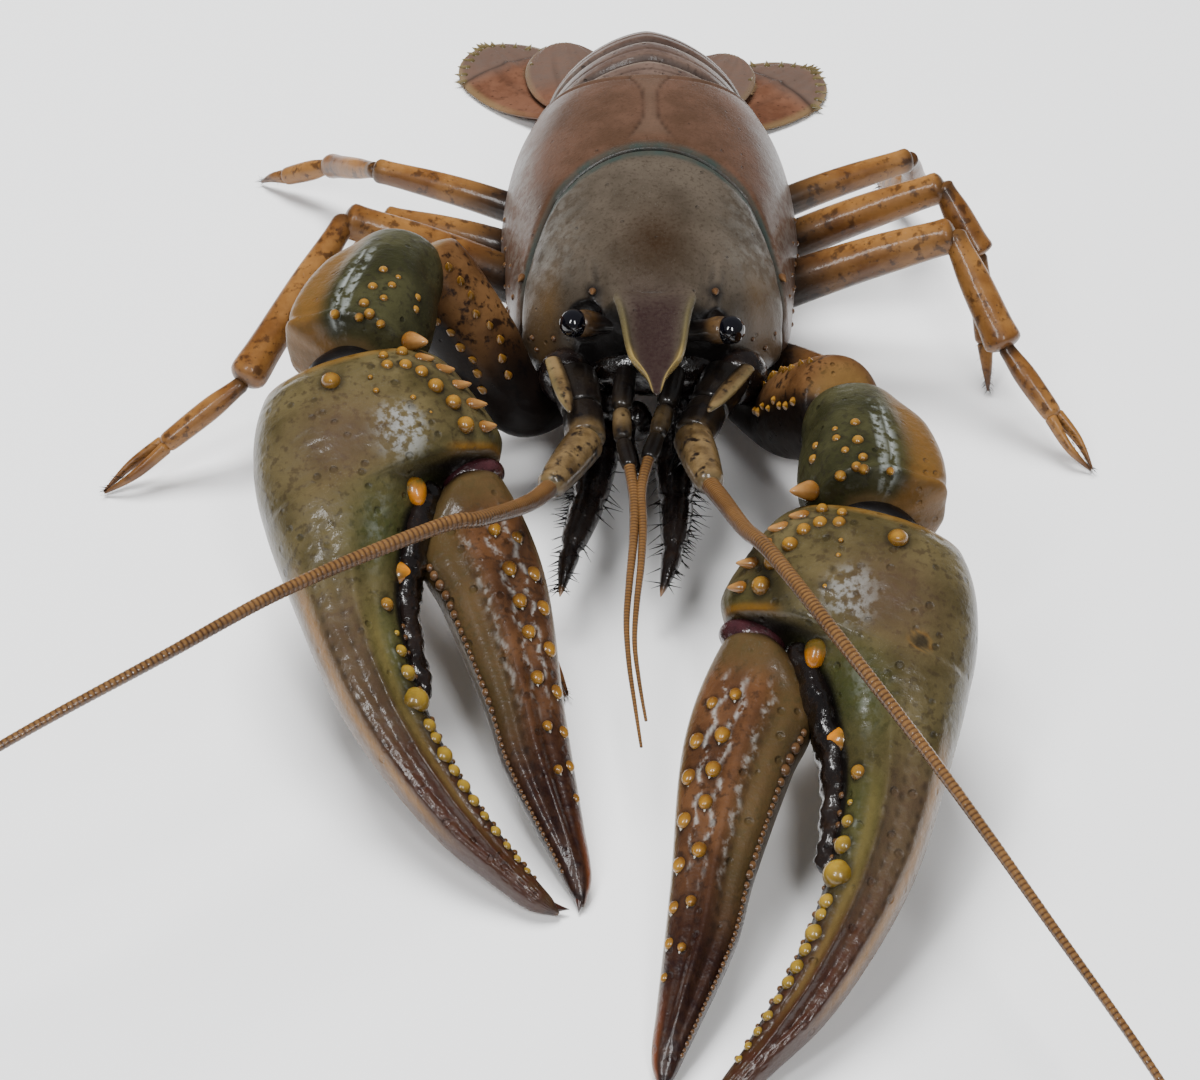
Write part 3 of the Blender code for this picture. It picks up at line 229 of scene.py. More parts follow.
class Path:
    """A smooth line through points, with two directions across it that don't twist."""

    STEPS = 14

    def __init__(self, stops: Sequence[Vector], up: Vector = UP, count: int = 160) -> None:
        """Lay the line.

        Args:
            stops: the points that it passes, in millimetres.
            up: the direction that its top side faces.
            count: how many places it is kept at.
        """
        dense = self._bend(stops) if len(stops) > 2 else np.array([list(stop) for stop in stops])
        gaps = np.linalg.norm(np.diff(dense, axis=0), axis=1)
        along = np.concatenate([[0.0], np.cumsum(gaps)])
        self.length = float(along[-1])
        self.share = np.linspace(0.0, 1.0, count)
        self.centre = np.stack([np.interp(self.share * self.length, along, dense[:, i]) for i in range(3)], 1)
        self.along = np.gradient(self.centre, axis=0)
        self.along /= np.linalg.norm(self.along, axis=1)[:, None]
        self.beside = np.cross(self.along, np.array(up))
        self.beside /= np.linalg.norm(self.beside, axis=1)[:, None]
        self.rise = np.cross(self.beside, self.along)

    def _bend(self, stops: Sequence[Vector]) -> Array:
        """Fill in a curve between the points.

        Args:
            stops: the points that it passes.

        Returns:
            Close places along it.
        """
        dense = []
        for i in range(len(stops) - 1):
            before = stops[max(i - 1, 0)]
            start = stops[i]
            end = stops[i + 1]
            after = stops[min(i + 2, len(stops) - 1)]
            for k in range(self.STEPS):
                t = k / self.STEPS
                place = (2 * start + (end - before) * t + (2 * before - 5 * start + 4 * end - after) * t ** 2
                         + (3 * start - before - 3 * end + after) * t ** 3) * 0.5
                dense.append(list(place))
        dense.append(list(stops[-1]))
        return np.array(dense)

    def at(self, share: Array) -> tuple[Array, Array, Array, Array]:
        """Read the line.

        Args:
            share: places along it, 0 to 1.

        Returns:
            The point, and the directions beside it, up from it and along it.
        """
        read = []
        for rows in (self.centre, self.beside, self.rise, self.along):
            read.append(np.stack([np.interp(share, self.share, rows[:, i]) for i in range(3)], -1))
        return read[0], read[1], read[2], read[3]

    def spot(self, share: float, turn: float, tall: float, wide: float) -> tuple[Vector, Vector, Vector]:
        """A point on a tube round the line.

        Args:
            share: place along the line, 0 to 1.
            turn: angle round it from its top side.
            tall: the tube's half height.
            wide: its half width.

        Returns:
            The point, the outward direction and the direction along the line.
        """
        centre, beside, rise, along = (Vector(row) for row in self.at(np.array(share)))
        point = centre + rise * (tall * math.cos(turn)) + beside * (wide * math.sin(turn))
        normal = rise * (math.cos(turn) / tall) + beside * (math.sin(turn) / wide)
        return point, normal.normalized(), along


# Meshes.
def rolled_skin(along: int, around: int, warp: Warp) -> bmesh.types.BMesh:
    """Roll a flat grid round a body into one closed skin.

    Args:
        along: number of faces from one end of the body to the other.
        around: number of faces round it.
        warp: turns the grid's u and v, both 0 to 1, into places. v = 0 meets v = 1, and each end
            of u is drawn to one point.

    Returns:
        The skin, with u and v kept on its vertices.
    """
    bm = bmesh.new()
    bmesh.ops.create_grid(bm, x_segments=along, y_segments=around, size=0.5)
    flat = np.array([vert.co[:2] for vert in bm.verts]) + 0.5
    places = warp(flat[:, 0], flat[:, 1])
    u_layer = bm.verts.layers.float.new("u")
    v_layer = bm.verts.layers.float.new("v")
    rim = []
    for vert, uv, place in zip(list(bm.verts), flat, places):
        vert.co = place
        vert[u_layer] = uv[0]
        vert[v_layer] = uv[1]
        if min(uv[0], uv[1], 1.0 - uv[0], 1.0 - uv[1]) < 1e-4:
            rim.append(vert)
    bmesh.ops.remove_doubles(bm, verts=rim, dist=0.002)
    bmesh.ops.recalc_face_normals(bm, faces=bm.faces)
    return bm


def tube_skin(path: Path, tall: Table, wide: Table, along: int, around: int, ends: float = 0.08,
              power: float = 1.0, relief: Relief | None = None) -> bmesh.types.BMesh:
    """A closed tube with rounded ends along a path.

    Args:
        path: the line that it follows.
        tall: half height along it, over 0 to 1.
        wide: half width along it, over 0 to 1.
        along: faces along it.
        around: faces round it.
        ends: share of the length that each rounded end takes.
        power: 1 for a round section, less for a boxier one.
        relief: extra girth in millimetres from (share, turn).

    Returns:
        The skin.
    """
    def warp(u: Array, v: Array) -> Array:
        """Places of the tube's skin."""
        share = crowd(u)
        centre, beside, rise, _ = path.at(share)
        side, top = superellipse(TURN * v, power)
        girth = dome(share, ends)
        extra = relief(share, TURN * v) if relief else 0.0
        width = (wide.at(share) + extra) * girth * side
        height = (tall.at(share) + extra) * girth * top
        return centre + beside * width[:, None] + rise * height[:, None]
    return rolled_skin(along, around, warp)


def join(skins: Sequence[bmesh.types.BMesh]) -> bmesh.types.BMesh:
    """Put several skins in one mesh.

    Args:
        skins: the skins, which are used up.

    Returns:
        The one mesh.
    """
    whole = bmesh.new()
    whole.verts.layers.float.new("u")
    whole.verts.layers.float.new("v")
    for skin in skins:
        mesh = bpy.data.meshes.new("part")
        skin.to_mesh(mesh)
        skin.free()
        whole.from_mesh(mesh)
        bpy.data.meshes.remove(mesh)
    return whole


def ball(centre: Vector, radii: tuple[float, float, float], turn: Matrix | None = None,
         detail: int = 4) -> bmesh.types.BMesh:
    """A smooth ball or egg.

    Args:
        centre: its middle.
        radii: its half sizes.
        turn: how it is turned.
        detail: how finely it is divided.

    Returns:
        The mesh.
    """
    bm = bmesh.new()
    bmesh.ops.create_icosphere(bm, subdivisions=detail, radius=1.0)
    bmesh.ops.scale(bm, vec=radii, verts=bm.verts)
    if turn is not None:
        bmesh.ops.transform(bm, matrix=turn.to_4x4(), verts=bm.verts)
    bmesh.ops.translate(bm, vec=centre, verts=bm.verts)
    return bm


@dataclass(frozen=True)
class Bead:
    """A round bead, or one drawn out into a tooth or spine."""

    place: Vector
    normal: Vector
    radius: float
    pull: Vector = Vector((0.0, 0.0, 1.0))
    length: float = 0.0
    sink: float = 0.15
    sharp: float = 0.82

    def skin(self, detail: int = 3) -> bmesh.types.BMesh:
        """Build the bead.

        Args:
            detail: how finely it is divided.

        Returns:
            The mesh, with u as the share of the way to the spine's tip.
        """
        bm = bmesh.new()
        bmesh.ops.create_icosphere(bm, subdivisions=detail, radius=1.0)
        layer = bm.verts.layers.float.new("u")
        bm.verts.layers.float.new("v")
        pull = self.pull.normalized() if self.length else self.normal
        centre = self.place - self.normal * (self.radius * self.sink)
        for vert in bm.verts:
            ahead = max(0.0, vert.co.dot(pull))
            if self.length:
                beside = vert.co - pull * vert.co.dot(pull)
                vert.co -= beside * (self.sharp * ahead ** 1.3)
                vert.co += pull * (ahead ** 1.6 * (self.length / self.radius - 1.0))
            vert[layer] = ahead
            vert.co = vert.co * self.radius + centre
        return bm


def bead_skin(beads: Sequence[Bead], detail: int = 3) -> bmesh.types.BMesh:
    """Join many beads in one mesh.

    Args:
        beads: the beads.
        detail: how finely each of them is divided.

    Returns:
        The mesh.
    """
    return join([one.skin(detail) for one in beads])


def ring_of_shade(co: Array, beads: Sequence[Bead], spread: float = 1.35) -> Array:
    """Shade where beads stand in a shell.

    Args:
        co: places on the shell.
        beads: the beads on it.
        spread: how far the shade reaches, in bead radii.

    Returns:
        Shade at each place, 0 to 1.
    """
    shade = np.zeros(len(co))
    for one in beads:
        gap = np.linalg.norm(co - np.array(one.place), axis=1)
        shade = np.maximum(shade, 1.0 - ease(one.radius * 0.9, one.radius * spread, gap))
    return shade


@dataclass(frozen=True)
class Hair:
    """One stiff bristle."""

    root: Vector
    way: Vector
    length: float
    girth: float
    point: float = 0.12


def bristles(hairs: Sequence[Hair], sides: int = 3) -> bmesh.types.BMesh:
    """Join many bristles in one mesh.

    Args:
        hairs: the bristles.
        sides: faces round each of them.

    Returns:
        The mesh.
    """
    bm = bmesh.new()
    bm.verts.layers.float.new("u")
    bm.verts.layers.float.new("v")
    for hair in hairs:
        way = hair.way.normalized()
        turn = way.to_track_quat("Z", "Y").to_matrix().to_4x4()
        middle = Matrix.Translation(hair.root + way * hair.length * 0.5)
        bmesh.ops.create_cone(bm, cap_ends=True, segments=sides, radius1=hair.girth,
                              radius2=hair.girth * hair.point, depth=hair.length, matrix=middle @ turn)
    return bm


# Finishes.
class Graph:
    """Wires the nodes of one material."""

    def __init__(self, name: str) -> None:
        """Start a material.

        Args:
            name: the material's name.
        """
        self.material = bpy.data.materials.new(name)
        self.material.use_nodes = True
        self.nodes = self.material.node_tree.nodes
        self.links = self.material.node_tree.links
        self.shader = self.nodes["Principled BSDF"]
        self.coord = self.nodes.new("ShaderNodeTexCoord").outputs["Object"]

    def noise(self, scale: float, detail: float = 4.0) -> Socket:
        """Cloudy noise in the object's own space.

        Args:
            scale: clouds for each metre.
            detail: how many finer layers it has.

        Returns:
            The socket with its value.
        """
        node = self.nodes.new("ShaderNodeTexNoise")
        node.inputs["Scale"].default_value = scale
        node.inputs["Detail"].default_value = detail
        node.inputs["Roughness"].default_value = 0.6
        self.links.new(self.coord, node.inputs["Vector"])
        return node.outputs["Fac"]

    def cells(self, scale: float) -> Socket:
        """Distance to the nearest of many scattered points.

        Args:
            scale: points for each metre.

        Returns:
            The socket with its value.
        """
        node = self.nodes.new("ShaderNodeTexVoronoi")
        node.inputs["Scale"].default_value = scale
        node.inputs["Randomness"].default_value = 1.0
        self.links.new(self.coord, node.inputs["Vector"])
        return node.outputs["Distance"]

    def span(self, value: Socket, low: float, high: float, start: float = 0.0, end: float = 1.0) -> Socket:
        """Map a range of a value to another range, held at its ends.

        Args:
            value: the socket to map.
            low: where the range starts.
            high: where it ends.
            start: the result at its start.
            end: the result at its end.

        Returns:
            The socket with the result.
        """
        node = self.nodes.new("ShaderNodeMapRange")
        node.interpolation_type = "SMOOTHSTEP"
        node.inputs["From Min"].default_value = low
        node.inputs["From Max"].default_value = high
        node.inputs["To Min"].default_value = start
        node.inputs["To Max"].default_value = end
        self.links.new(value, node.inputs["Value"])
        return node.outputs["Result"]

    def sum(self, first: Socket | float, second: Socket | float, operation: str = "ADD") -> Socket:
        """Two values in one.

        Args:
            first: a socket or number.
            second: a socket or number.
            operation: the operation that joins them.

        Returns:
            The socket with the result.
        """
        node = self.nodes.new("ShaderNodeMath")
        node.operation = operation
        for value, socket in zip((first, second), node.inputs):
            if isinstance(value, (int, float)):
                socket.default_value = value
            else:
                self.links.new(value, socket)
        return node.outputs["Value"]

    def mix(self, share: Socket, first: Socket | Colour, second: Socket | Colour) -> Socket:
        """Blend two colours.

        Args:
            share: socket with how much of the second shows.
            first: a colour or socket.
            second: a colour or socket.

        Returns:
            The socket with the blend.
        """
        node = self.nodes.new("ShaderNodeMix")
        node.data_type = "RGBA"
        self.links.new(share, node.inputs["Factor"])
        for name, value in (("A", first), ("B", second)):
            socket = next(s for s in node.inputs if s.name == name and s.type == "RGBA")
            if isinstance(value, tuple):
                socket.default_value = (*value, 1.0)
            else:
                self.links.new(value, socket)
        return next(s for s in node.outputs if s.type == "RGBA")

    def paint(self, name: str) -> Socket:
        """A value painted on the mesh.

        Args:
            name: the attribute's name.

        Returns:
            The socket with its value.
        """
        node = self.nodes.new("ShaderNodeAttribute")
        node.attribute_name = name
        return node.outputs["Fac"]

    def relief(self, height: Socket, strength: float, depth: float, under: Socket | None = None) -> Socket:
        """Tilt the surface by a height.

        Args:
            height: the socket with the height.
            strength: how strongly it shows.
            depth: the height's size in metres.
            under: a relief that lies under this one.

        Returns:
            The socket with the tilted direction.
        """
        node = self.nodes.new("ShaderNodeBump")
        node.inputs["Strength"].default_value = strength
        node.inputs["Distance"].default_value = depth
        self.links.new(height, node.inputs["Height"])
        if under is not None:
            self.links.new(under, node.inputs["Normal"])
        return node.outputs["Normal"]


@dataclass(frozen=True)
class Shell:
    """Horny shell: clouded colour, fine specks, pits, a broken pale painted sheen and a thin film of water.
    """

    name: str
    dark: Colour
    light: Colour
    speck: Colour
    washes: tuple[tuple[str, Colour], ...] = ()
    painted_sheen: Colour | None = None
    painted_sheen_grain: float = 900.0
    cloud: float = 170.0
    grain: float = 1500.0
    grain_share: float = 0.5
    pits: float = 620.0
    pit_size: float = 0.16
    pit_dark: float = 0.55
    pit_depth: float = 0.00016
    roughness: float = 0.44
    coat: float = 0.16
    specular: float = 0.28
    grit: float = 0.4

    def make(self) -> bpy.types.Material:
        """Build the material.

        Returns:
            The material.
        """
        graph = Graph(self.name)
        cloud = graph.noise(self.cloud, 5.0)
        colour = graph.mix(graph.span(cloud, 0.34, 0.66), self.dark, self.light)
        grain = graph.noise(self.grain, 3.0)
        specks = graph.span(grain, 0.52, 0.66, 0.0, self.grain_share)
        colour = graph.mix(specks, colour, self.speck)
        pits = graph.span(graph.cells(self.pits), self.pit_size * 0.45, self.pit_size, 1.0, 0.0)
        colour = graph.mix(graph.sum(pits, self.pit_dark, "MULTIPLY"), colour,
                           tuple(0.25 * c for c in self.dark))
        # Painted sheen: a pale colour laid where it is painted, broken up by noise.
        if self.painted_sheen is not None:
            broken = graph.span(graph.noise(self.painted_sheen_grain, 4.0), 0.42, 0.58)
            colour = graph.mix(graph.sum(graph.paint("painted_sheen"), broken, "MULTIPLY"), colour, self.painted_sheen)
        mottle = graph.span(grain, 0.3, 0.7, 0.8, 1.0)
        for paint, wash in self.washes:
            share = graph.paint(paint)
            if paint != "shade":
                share = graph.sum(share, mottle, "MULTIPLY")
            colour = graph.mix(share, colour, wash)
        graph.links.new(colour, graph.shader.inputs["Base Color"])
        height = graph.sum(graph.sum(grain, 0.5, "MULTIPLY"), graph.noise(520.0, 4.0))
        fine = graph.relief(height, self.grit, 0.0002)
        dented = graph.relief(graph.sum(1.0, pits, "SUBTRACT"), 0.8, self.pit_depth, fine)
        graph.links.new(dented, graph.shader.inputs["Normal"])
        graph.links.new(graph.relief(height, self.grit * 0.6, 0.0002), graph.shader.inputs["Coat Normal"])
        rough = graph.span(cloud, 0.3, 0.7, self.roughness - 0.06, self.roughness + 0.1)
        graph.links.new(rough, graph.shader.inputs["Roughness"])
        graph.shader.inputs["Specular IOR Level"].default_value = self.specular
        graph.shader.inputs["Coat Weight"].default_value = self.coat
        graph.shader.inputs["Coat Roughness"].default_value = 0.14
        return graph.material


@dataclass(frozen=True)
class Gloss:
    """A smooth, wet finish such as a bead or an eye."""

    name: str
    root: Colour
    tip: Colour
    roughness: float = 0.3
    coat: float = 0.4
    cloud: float = 700.0
    glow: float = 0.0
    bend: float = 1.45

    def make(self) -> bpy.types.Material:
        """Build the material.

        Returns:
            The material, whose colour runs from root to tip by the painted u.
        """
        graph = Graph(self.name)
        share = graph.sum(graph.paint("u"), graph.span(graph.noise(self.cloud), 0.3, 0.7, -0.25, 0.25))
        graph.links.new(graph.mix(share, self.root, self.tip), graph.shader.inputs["Base Color"])
        graph.links.new(graph.relief(graph.noise(1300.0), 0.12, 0.0001), graph.shader.inputs["Normal"])
        graph.shader.inputs["Roughness"].default_value = self.roughness
        graph.shader.inputs["IOR"].default_value = self.bend
        graph.shader.inputs["Coat Weight"].default_value = self.coat
        graph.shader.inputs["Coat Roughness"].default_value = 0.05
        graph.shader.inputs["Subsurface Weight"].default_value = self.glow
        graph.shader.inputs["Subsurface Scale"].default_value = 0.0006
        return graph.material


class Finishes:
    """Every finish of the animal, made once."""

    TEAL = (0.022, 0.036, 0.032)
    # Near black: the colour of painted shade, and of the dark bristles.
    BLACK_AND_SHADE = (0.004, 0.003, 0.003)
    STRAW = (0.22, 0.155, 0.050)
    # Pale grey of the painted sheen.
    PAINTED_SHEEN = (0.17, 0.165, 0.15)

    def __init__(self) -> None:
        """Make the finishes."""
        shade = ("shade", self.BLACK_AND_SHADE)
        straw = ("straw", self.STRAW)
        self.head = Shell(
            "head shell", (0.039, 0.030, 0.021), (0.068, 0.054, 0.040), (0.020, 0.014, 0.008),
            (("patch", (0.020, 0.010, 0.004)), ("gold", (0.105, 0.060, 0.022)), ("groove", self.TEAL),
             ("mauve", (0.016, 0.007, 0.007)), ("olive", (0.072, 0.060, 0.024)), straw, shade),
            self.PAINTED_SHEEN, grain=3200.0, grain_share=0.45, pits=420.0, pit_size=0.1, pit_dark=0.3,
            coat=0.22).make()
        self.thorax = Shell(
            "thorax shell", (0.050, 0.026, 0.015), (0.080, 0.042, 0.027), (0.034, 0.016, 0.009),
            (("groove", self.TEAL), ("rust", (0.085, 0.038, 0.017)), ("rim", (0.10, 0.07, 0.05)), shade),
            self.PAINTED_SHEEN, 1400.0, grain=3200.0, grain_share=0.4, pits=420.0, pit_size=0.1,
            pit_dark=0.25).make()
        self.tail = Shell(
            "tail shell", (0.056, 0.034, 0.026), (0.104, 0.070, 0.055), (0.030, 0.017, 0.013),
            (("rim", (0.17, 0.135, 0.105)), shade), self.PAINTED_SHEEN, grain=1800.0).make()
        self.fan = Shell(
            "fan shell", (0.072, 0.028, 0.014), (0.125, 0.056, 0.032), (0.050, 0.021, 0.011),
            (("mauve", (0.086, 0.060, 0.048)), ("rim", (0.20, 0.145, 0.07)), shade),
            grain=1100.0, pits=900.0, pit_depth=0.00006).make()
        # The claw, finger and wrist finishes take a pale grey for their painted highlights.
        self.claw = Shell(
            "claw shell", (0.040, 0.031, 0.011), (0.084, 0.065, 0.027), (0.022, 0.015, 0.007),
            (("mauve", (0.062, 0.038, 0.022)), ("green", (0.030, 0.036, 0.009)),
             ("tip", (0.034, 0.009, 0.005)), ("gold", (0.19, 0.085, 0.008)), straw, shade),
            (0.26, 0.27, 0.26), 1300.0, pits=520.0, pit_size=0.22, grain_share=0.6, roughness=0.38,
            coat=0.3, grit=0.7).make()
        self.finger = Shell(
            "finger shell", (0.042, 0.017, 0.007), (0.092, 0.040, 0.016), (0.018, 0.009, 0.005),
            (("green", (0.054, 0.038, 0.014)), ("tip", (0.009, 0.002, 0.002)),
             ("ember", (0.17, 0.042, 0.008)), straw, shade),
            (0.34, 0.33, 0.31), 1300.0, pits=520.0, pit_size=0.22, grain_share=0.6, roughness=0.36,
            coat=0.35, grit=0.7).make()
        self.wrist = Shell(
            "wrist shell", (0.016, 0.016, 0.006), (0.038, 0.036, 0.015), (0.014, 0.012, 0.007),
            (("rust", (0.125, 0.060, 0.014)), ("rim", (0.19, 0.11, 0.05)), shade),
            (0.24, 0.26, 0.25), 1300.0, pits=520.0, grain_share=0.6, coat=0.2, specular=0.18,
            grit=0.7).make()
        self.arm = Shell(
            "arm shell", (0.054, 0.023, 0.008), (0.125, 0.062, 0.024), (0.012, 0.006, 0.004),
            (("rim", (0.19, 0.11, 0.035)), shade), grain=1000.0, grain_share=0.95, coat=0.06,
            specular=0.08).make()
        self.leg = Shell(
            "leg shell", (0.105, 0.040, 0.009), (0.235, 0.108, 0.028), (0.030, 0.011, 0.004),
            (("tip", (0.07, 0.03, 0.012)), shade), grain=900.0, grain_share=0.75, pits=1500.0,
            pit_depth=0.00004, coat=0.3).make()
        self.stalk = Shell(
            "eyestalk shell", (0.022, 0.011, 0.004), (0.070, 0.038, 0.014), (0.008, 0.005, 0.004),
            (shade,), coat=0.8).make()
        self.peduncle = Shell(
            "feeler base shell", (0.050, 0.030, 0.012), (0.135, 0.088, 0.038), (0.010, 0.006, 0.004),
            (("rim", (0.15, 0.115, 0.05)), shade), cloud=420.0, grain=1000.0, grain_share=1.0,
            pit_depth=0.00004, coat=0.7, grit=0.8).make()
        # Its ring colour makes a pale band on each ring, brighter on top as painted highlight.
        self.feeler = Shell(
            "feeler shell", (0.050, 0.020, 0.007), (0.095, 0.042, 0.014), (0.025, 0.010, 0.005),
            (("ring", (0.19, 0.10, 0.032)), shade), cloud=240.0, pits=1800.0, pit_depth=0.00003,
            coat=0.7, grit=0.8).make()
        # Near black: the mouthparts' own dark colour, deepened to black as painted shade under the head.
        self.mouth = Shell(
            "mouth shell", (0.003, 0.002, 0.002), (0.010, 0.006, 0.005), (0.020, 0.010, 0.005),
            (("tip", (0.26, 0.13, 0.05)),), roughness=0.25, coat=1.0, grit=1.0).make()
        self.membrane = Shell(
            "joint skin", (0.022, 0.006, 0.008), (0.050, 0.014, 0.017), (0.008, 0.003, 0.003),
            (shade,), roughness=0.25, coat=0.7, grit=0.9).make()
        self.bead = Gloss("yellow beads", (0.10, 0.045, 0.006), (0.24, 0.118, 0.014), coat=0.6,
                          glow=0.08).make()
        self.stud = Gloss("orange beads", (0.10, 0.042, 0.006), (0.27, 0.130, 0.012), coat=0.6,
                          glow=0.08).make()
        self.amber = Gloss("orange knobs", (0.09, 0.055, 0.008), (0.55, 0.185, 0.006), coat=0.6,
                           glow=0.1).make()
        self.almond = Gloss("pale orange spines", (0.15, 0.062, 0.010), (0.33, 0.165, 0.050), coat=0.6,
                            glow=0.08).make()
        self.tooth = Gloss("yellow teeth", (0.10, 0.058, 0.006), (0.27, 0.170, 0.018), coat=0.6,
                           glow=0.05).make()
        self.rust = Gloss("rusty grains", (0.050, 0.022, 0.008), (0.11, 0.055, 0.022)).make()
        self.straw_grain = Gloss("straw spines", (0.075, 0.055, 0.022), (0.17, 0.13, 0.06)).make()
        # Small pale beads in front of the finger's studs: painted glints.
        self.glint = Gloss("painted glint beads", (0.30, 0.27, 0.22), (0.62, 0.60, 0.55), 0.12, 1.0).make()
        self.horn = Gloss("dark horn tips", (0.060, 0.020, 0.012), (0.012, 0.005, 0.005)).make()
        self.eye = Gloss("eye", (0.002, 0.002, 0.004), (0.003, 0.003, 0.006), 0.04, 0.6, bend=1.5).make()
        self.bristle = Gloss("dark bristles", self.BLACK_AND_SHADE, (0.012, 0.008, 0.006), 0.4, 0.1).make()
        self.fringe = Gloss("pale fringe", (0.16, 0.10, 0.05), (0.34, 0.26, 0.16), 0.5, 0.05).make()


# The workshop that turns skins into finished pieces.
@dataclass
class Workshop:
    """Turns skins in the animal's frame into finished pieces in the CAD frame."""

    shift: Vector
    made: list[bpy.types.Object] = field(default_factory=list)

    def finish(self, name: str, skin: bmesh.types.BMesh, material: bpy.types.Material, slot: str,
               stands_for: Sequence[str] = (), paints: Paints | None = None) -> None:
        """Make one finished piece, which rides on the frame.

        Args:
            name: the piece's name.
            skin: its mesh in the animal's frame, in millimetres, which is used up.
            material: its finish.
            slot: the record's slot for that finish; not used.
            stands_for: the CAD nodes that it takes the place of.
            paints: the paint of each painted value.
        """
        mesh = bpy.data.meshes.new(name)
        skin.to_mesh(mesh)
        skin.free()
        count = len(mesh.vertices)
        flat = np.zeros(count * 3)
        mesh.vertices.foreach_get("co", flat)
        co = flat.reshape(-1, 3)
        uv = []
        for layer in ("u", "v"):
            values = np.zeros(count)
            if layer in mesh.attributes:
                mesh.attributes[layer].data.foreach_get("value", values)
            uv.append(values)
        for paint, rule in (paints or {}).items():
            values = np.clip(rule(co, uv[0], uv[1]), 0.0, 1.0).astype(np.float32)
            mesh.attributes.new(paint, "FLOAT", "POINT").data.foreach_set("value", values)
        co = co * MM + np.array(self.shift)
        mesh.vertices.foreach_set("co", co.reshape(-1))
        mesh.update()
        mesh.shade_smooth()
        mesh.materials.append(material)
        piece = bpy.data.objects.new(name, mesh)
        bpy.context.collection.objects.link(piece)
        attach(piece, "root")
        if stands_for:
            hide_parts(*stands_for)
        self.made.append(piece)
        LOG.info("%s: %d faces", name, len(mesh.polygons))


class Part:
    """A part of the animal, with what it needs to finish its pieces."""

    def __init__(self, shop: Workshop, finishes: Finishes) -> None:
        """Take what it needs.

        Args:
            shop: where pieces are finished.
            finishes: the animal's finishes.
        """
        self.shop = shop
        self.finishes = finishes


# Carapace.
@dataclass(frozen=True)
class CarapaceSizes:
    """Sizes of the shell over the head and chest."""

    half_width: Table = table((-18.6, 7.0), (-15.0, 11.0), (-12.0, 12.4), (-3.5, 13.5), (4.0, 14.2),
                              (12.0, 13.5), (18.0, 11.6), (22.0, 10.0))
    top: Table = table((-18.6, 20.6), (-12.0, 22.4), (0.0, 24.0), (10.0, 24.0), (18.0, 22.9), (22.0, 22.4))
    widest: Table = table((-18.6, 12.5), (-12.0, 10.5), (0.0, 9.6), (22.0, 11.5))
    belly: Table = table((-18.6, 9.5), (-12.0, 6.0), (0.0, 4.5), (14.0, 5.0), (22.0, 8.0))
    power: float = 0.94
    front: float = -18.6
    nose: tuple[float, float, float] = (0.0, -20.0, 14.5)
    groove_sweep: float = 5.0
    groove_side: float = 11.1
    groove_drop: float = 0.9
    groove_high: float = 20.5
    groove_floor: float = 13.0
    edge: float = 0.7
    gap: float = 0.12
    rear: float = 14.2
    rear_sweep: float = 3.0
    rear_side: float = 10.0
    orbit: float = 2.7
    front_share: float = 0.1
    body_share: float = 0.82
    back_start: float = 0.92
    back_share: float = 0.08
    closing: float = 14.0
    areola: Table = table((0.0, 3.0), (1.2, 2.3), (2.5, 1.6), (4.2, 0.95), (6.0, 0.62), (9.3, 0.65),
                          (11.5, 1.15), (13.7, 2.0))


@dataclass(frozen=True)
class RostrumSizes:
    """Sizes of the beak between the eyes."""

    half_width: Table = table((-31.8, 0.35), (-29.5, 0.95), (-27.2, 2.25), (-22.0, 3.15), (-17.5, 4.2),
                              (-12.0, 5.0))
    top: Table = table((-31.8, 19.6), (-27.0, 19.8), (-22.0, 20.7), (-17.5, 21.6), (-12.0, 22.1))
    tip: float = -31.8
    root: float = -12.0
    keel: float = 1.7
    margin: float = 0.5


EYES = {"r": Vector((-7.0, -19.6, 18.0)), "l": Vector((6.6, -20.6, 18.0))}
SIDES = {"r": -1.0, "l": 1.0}


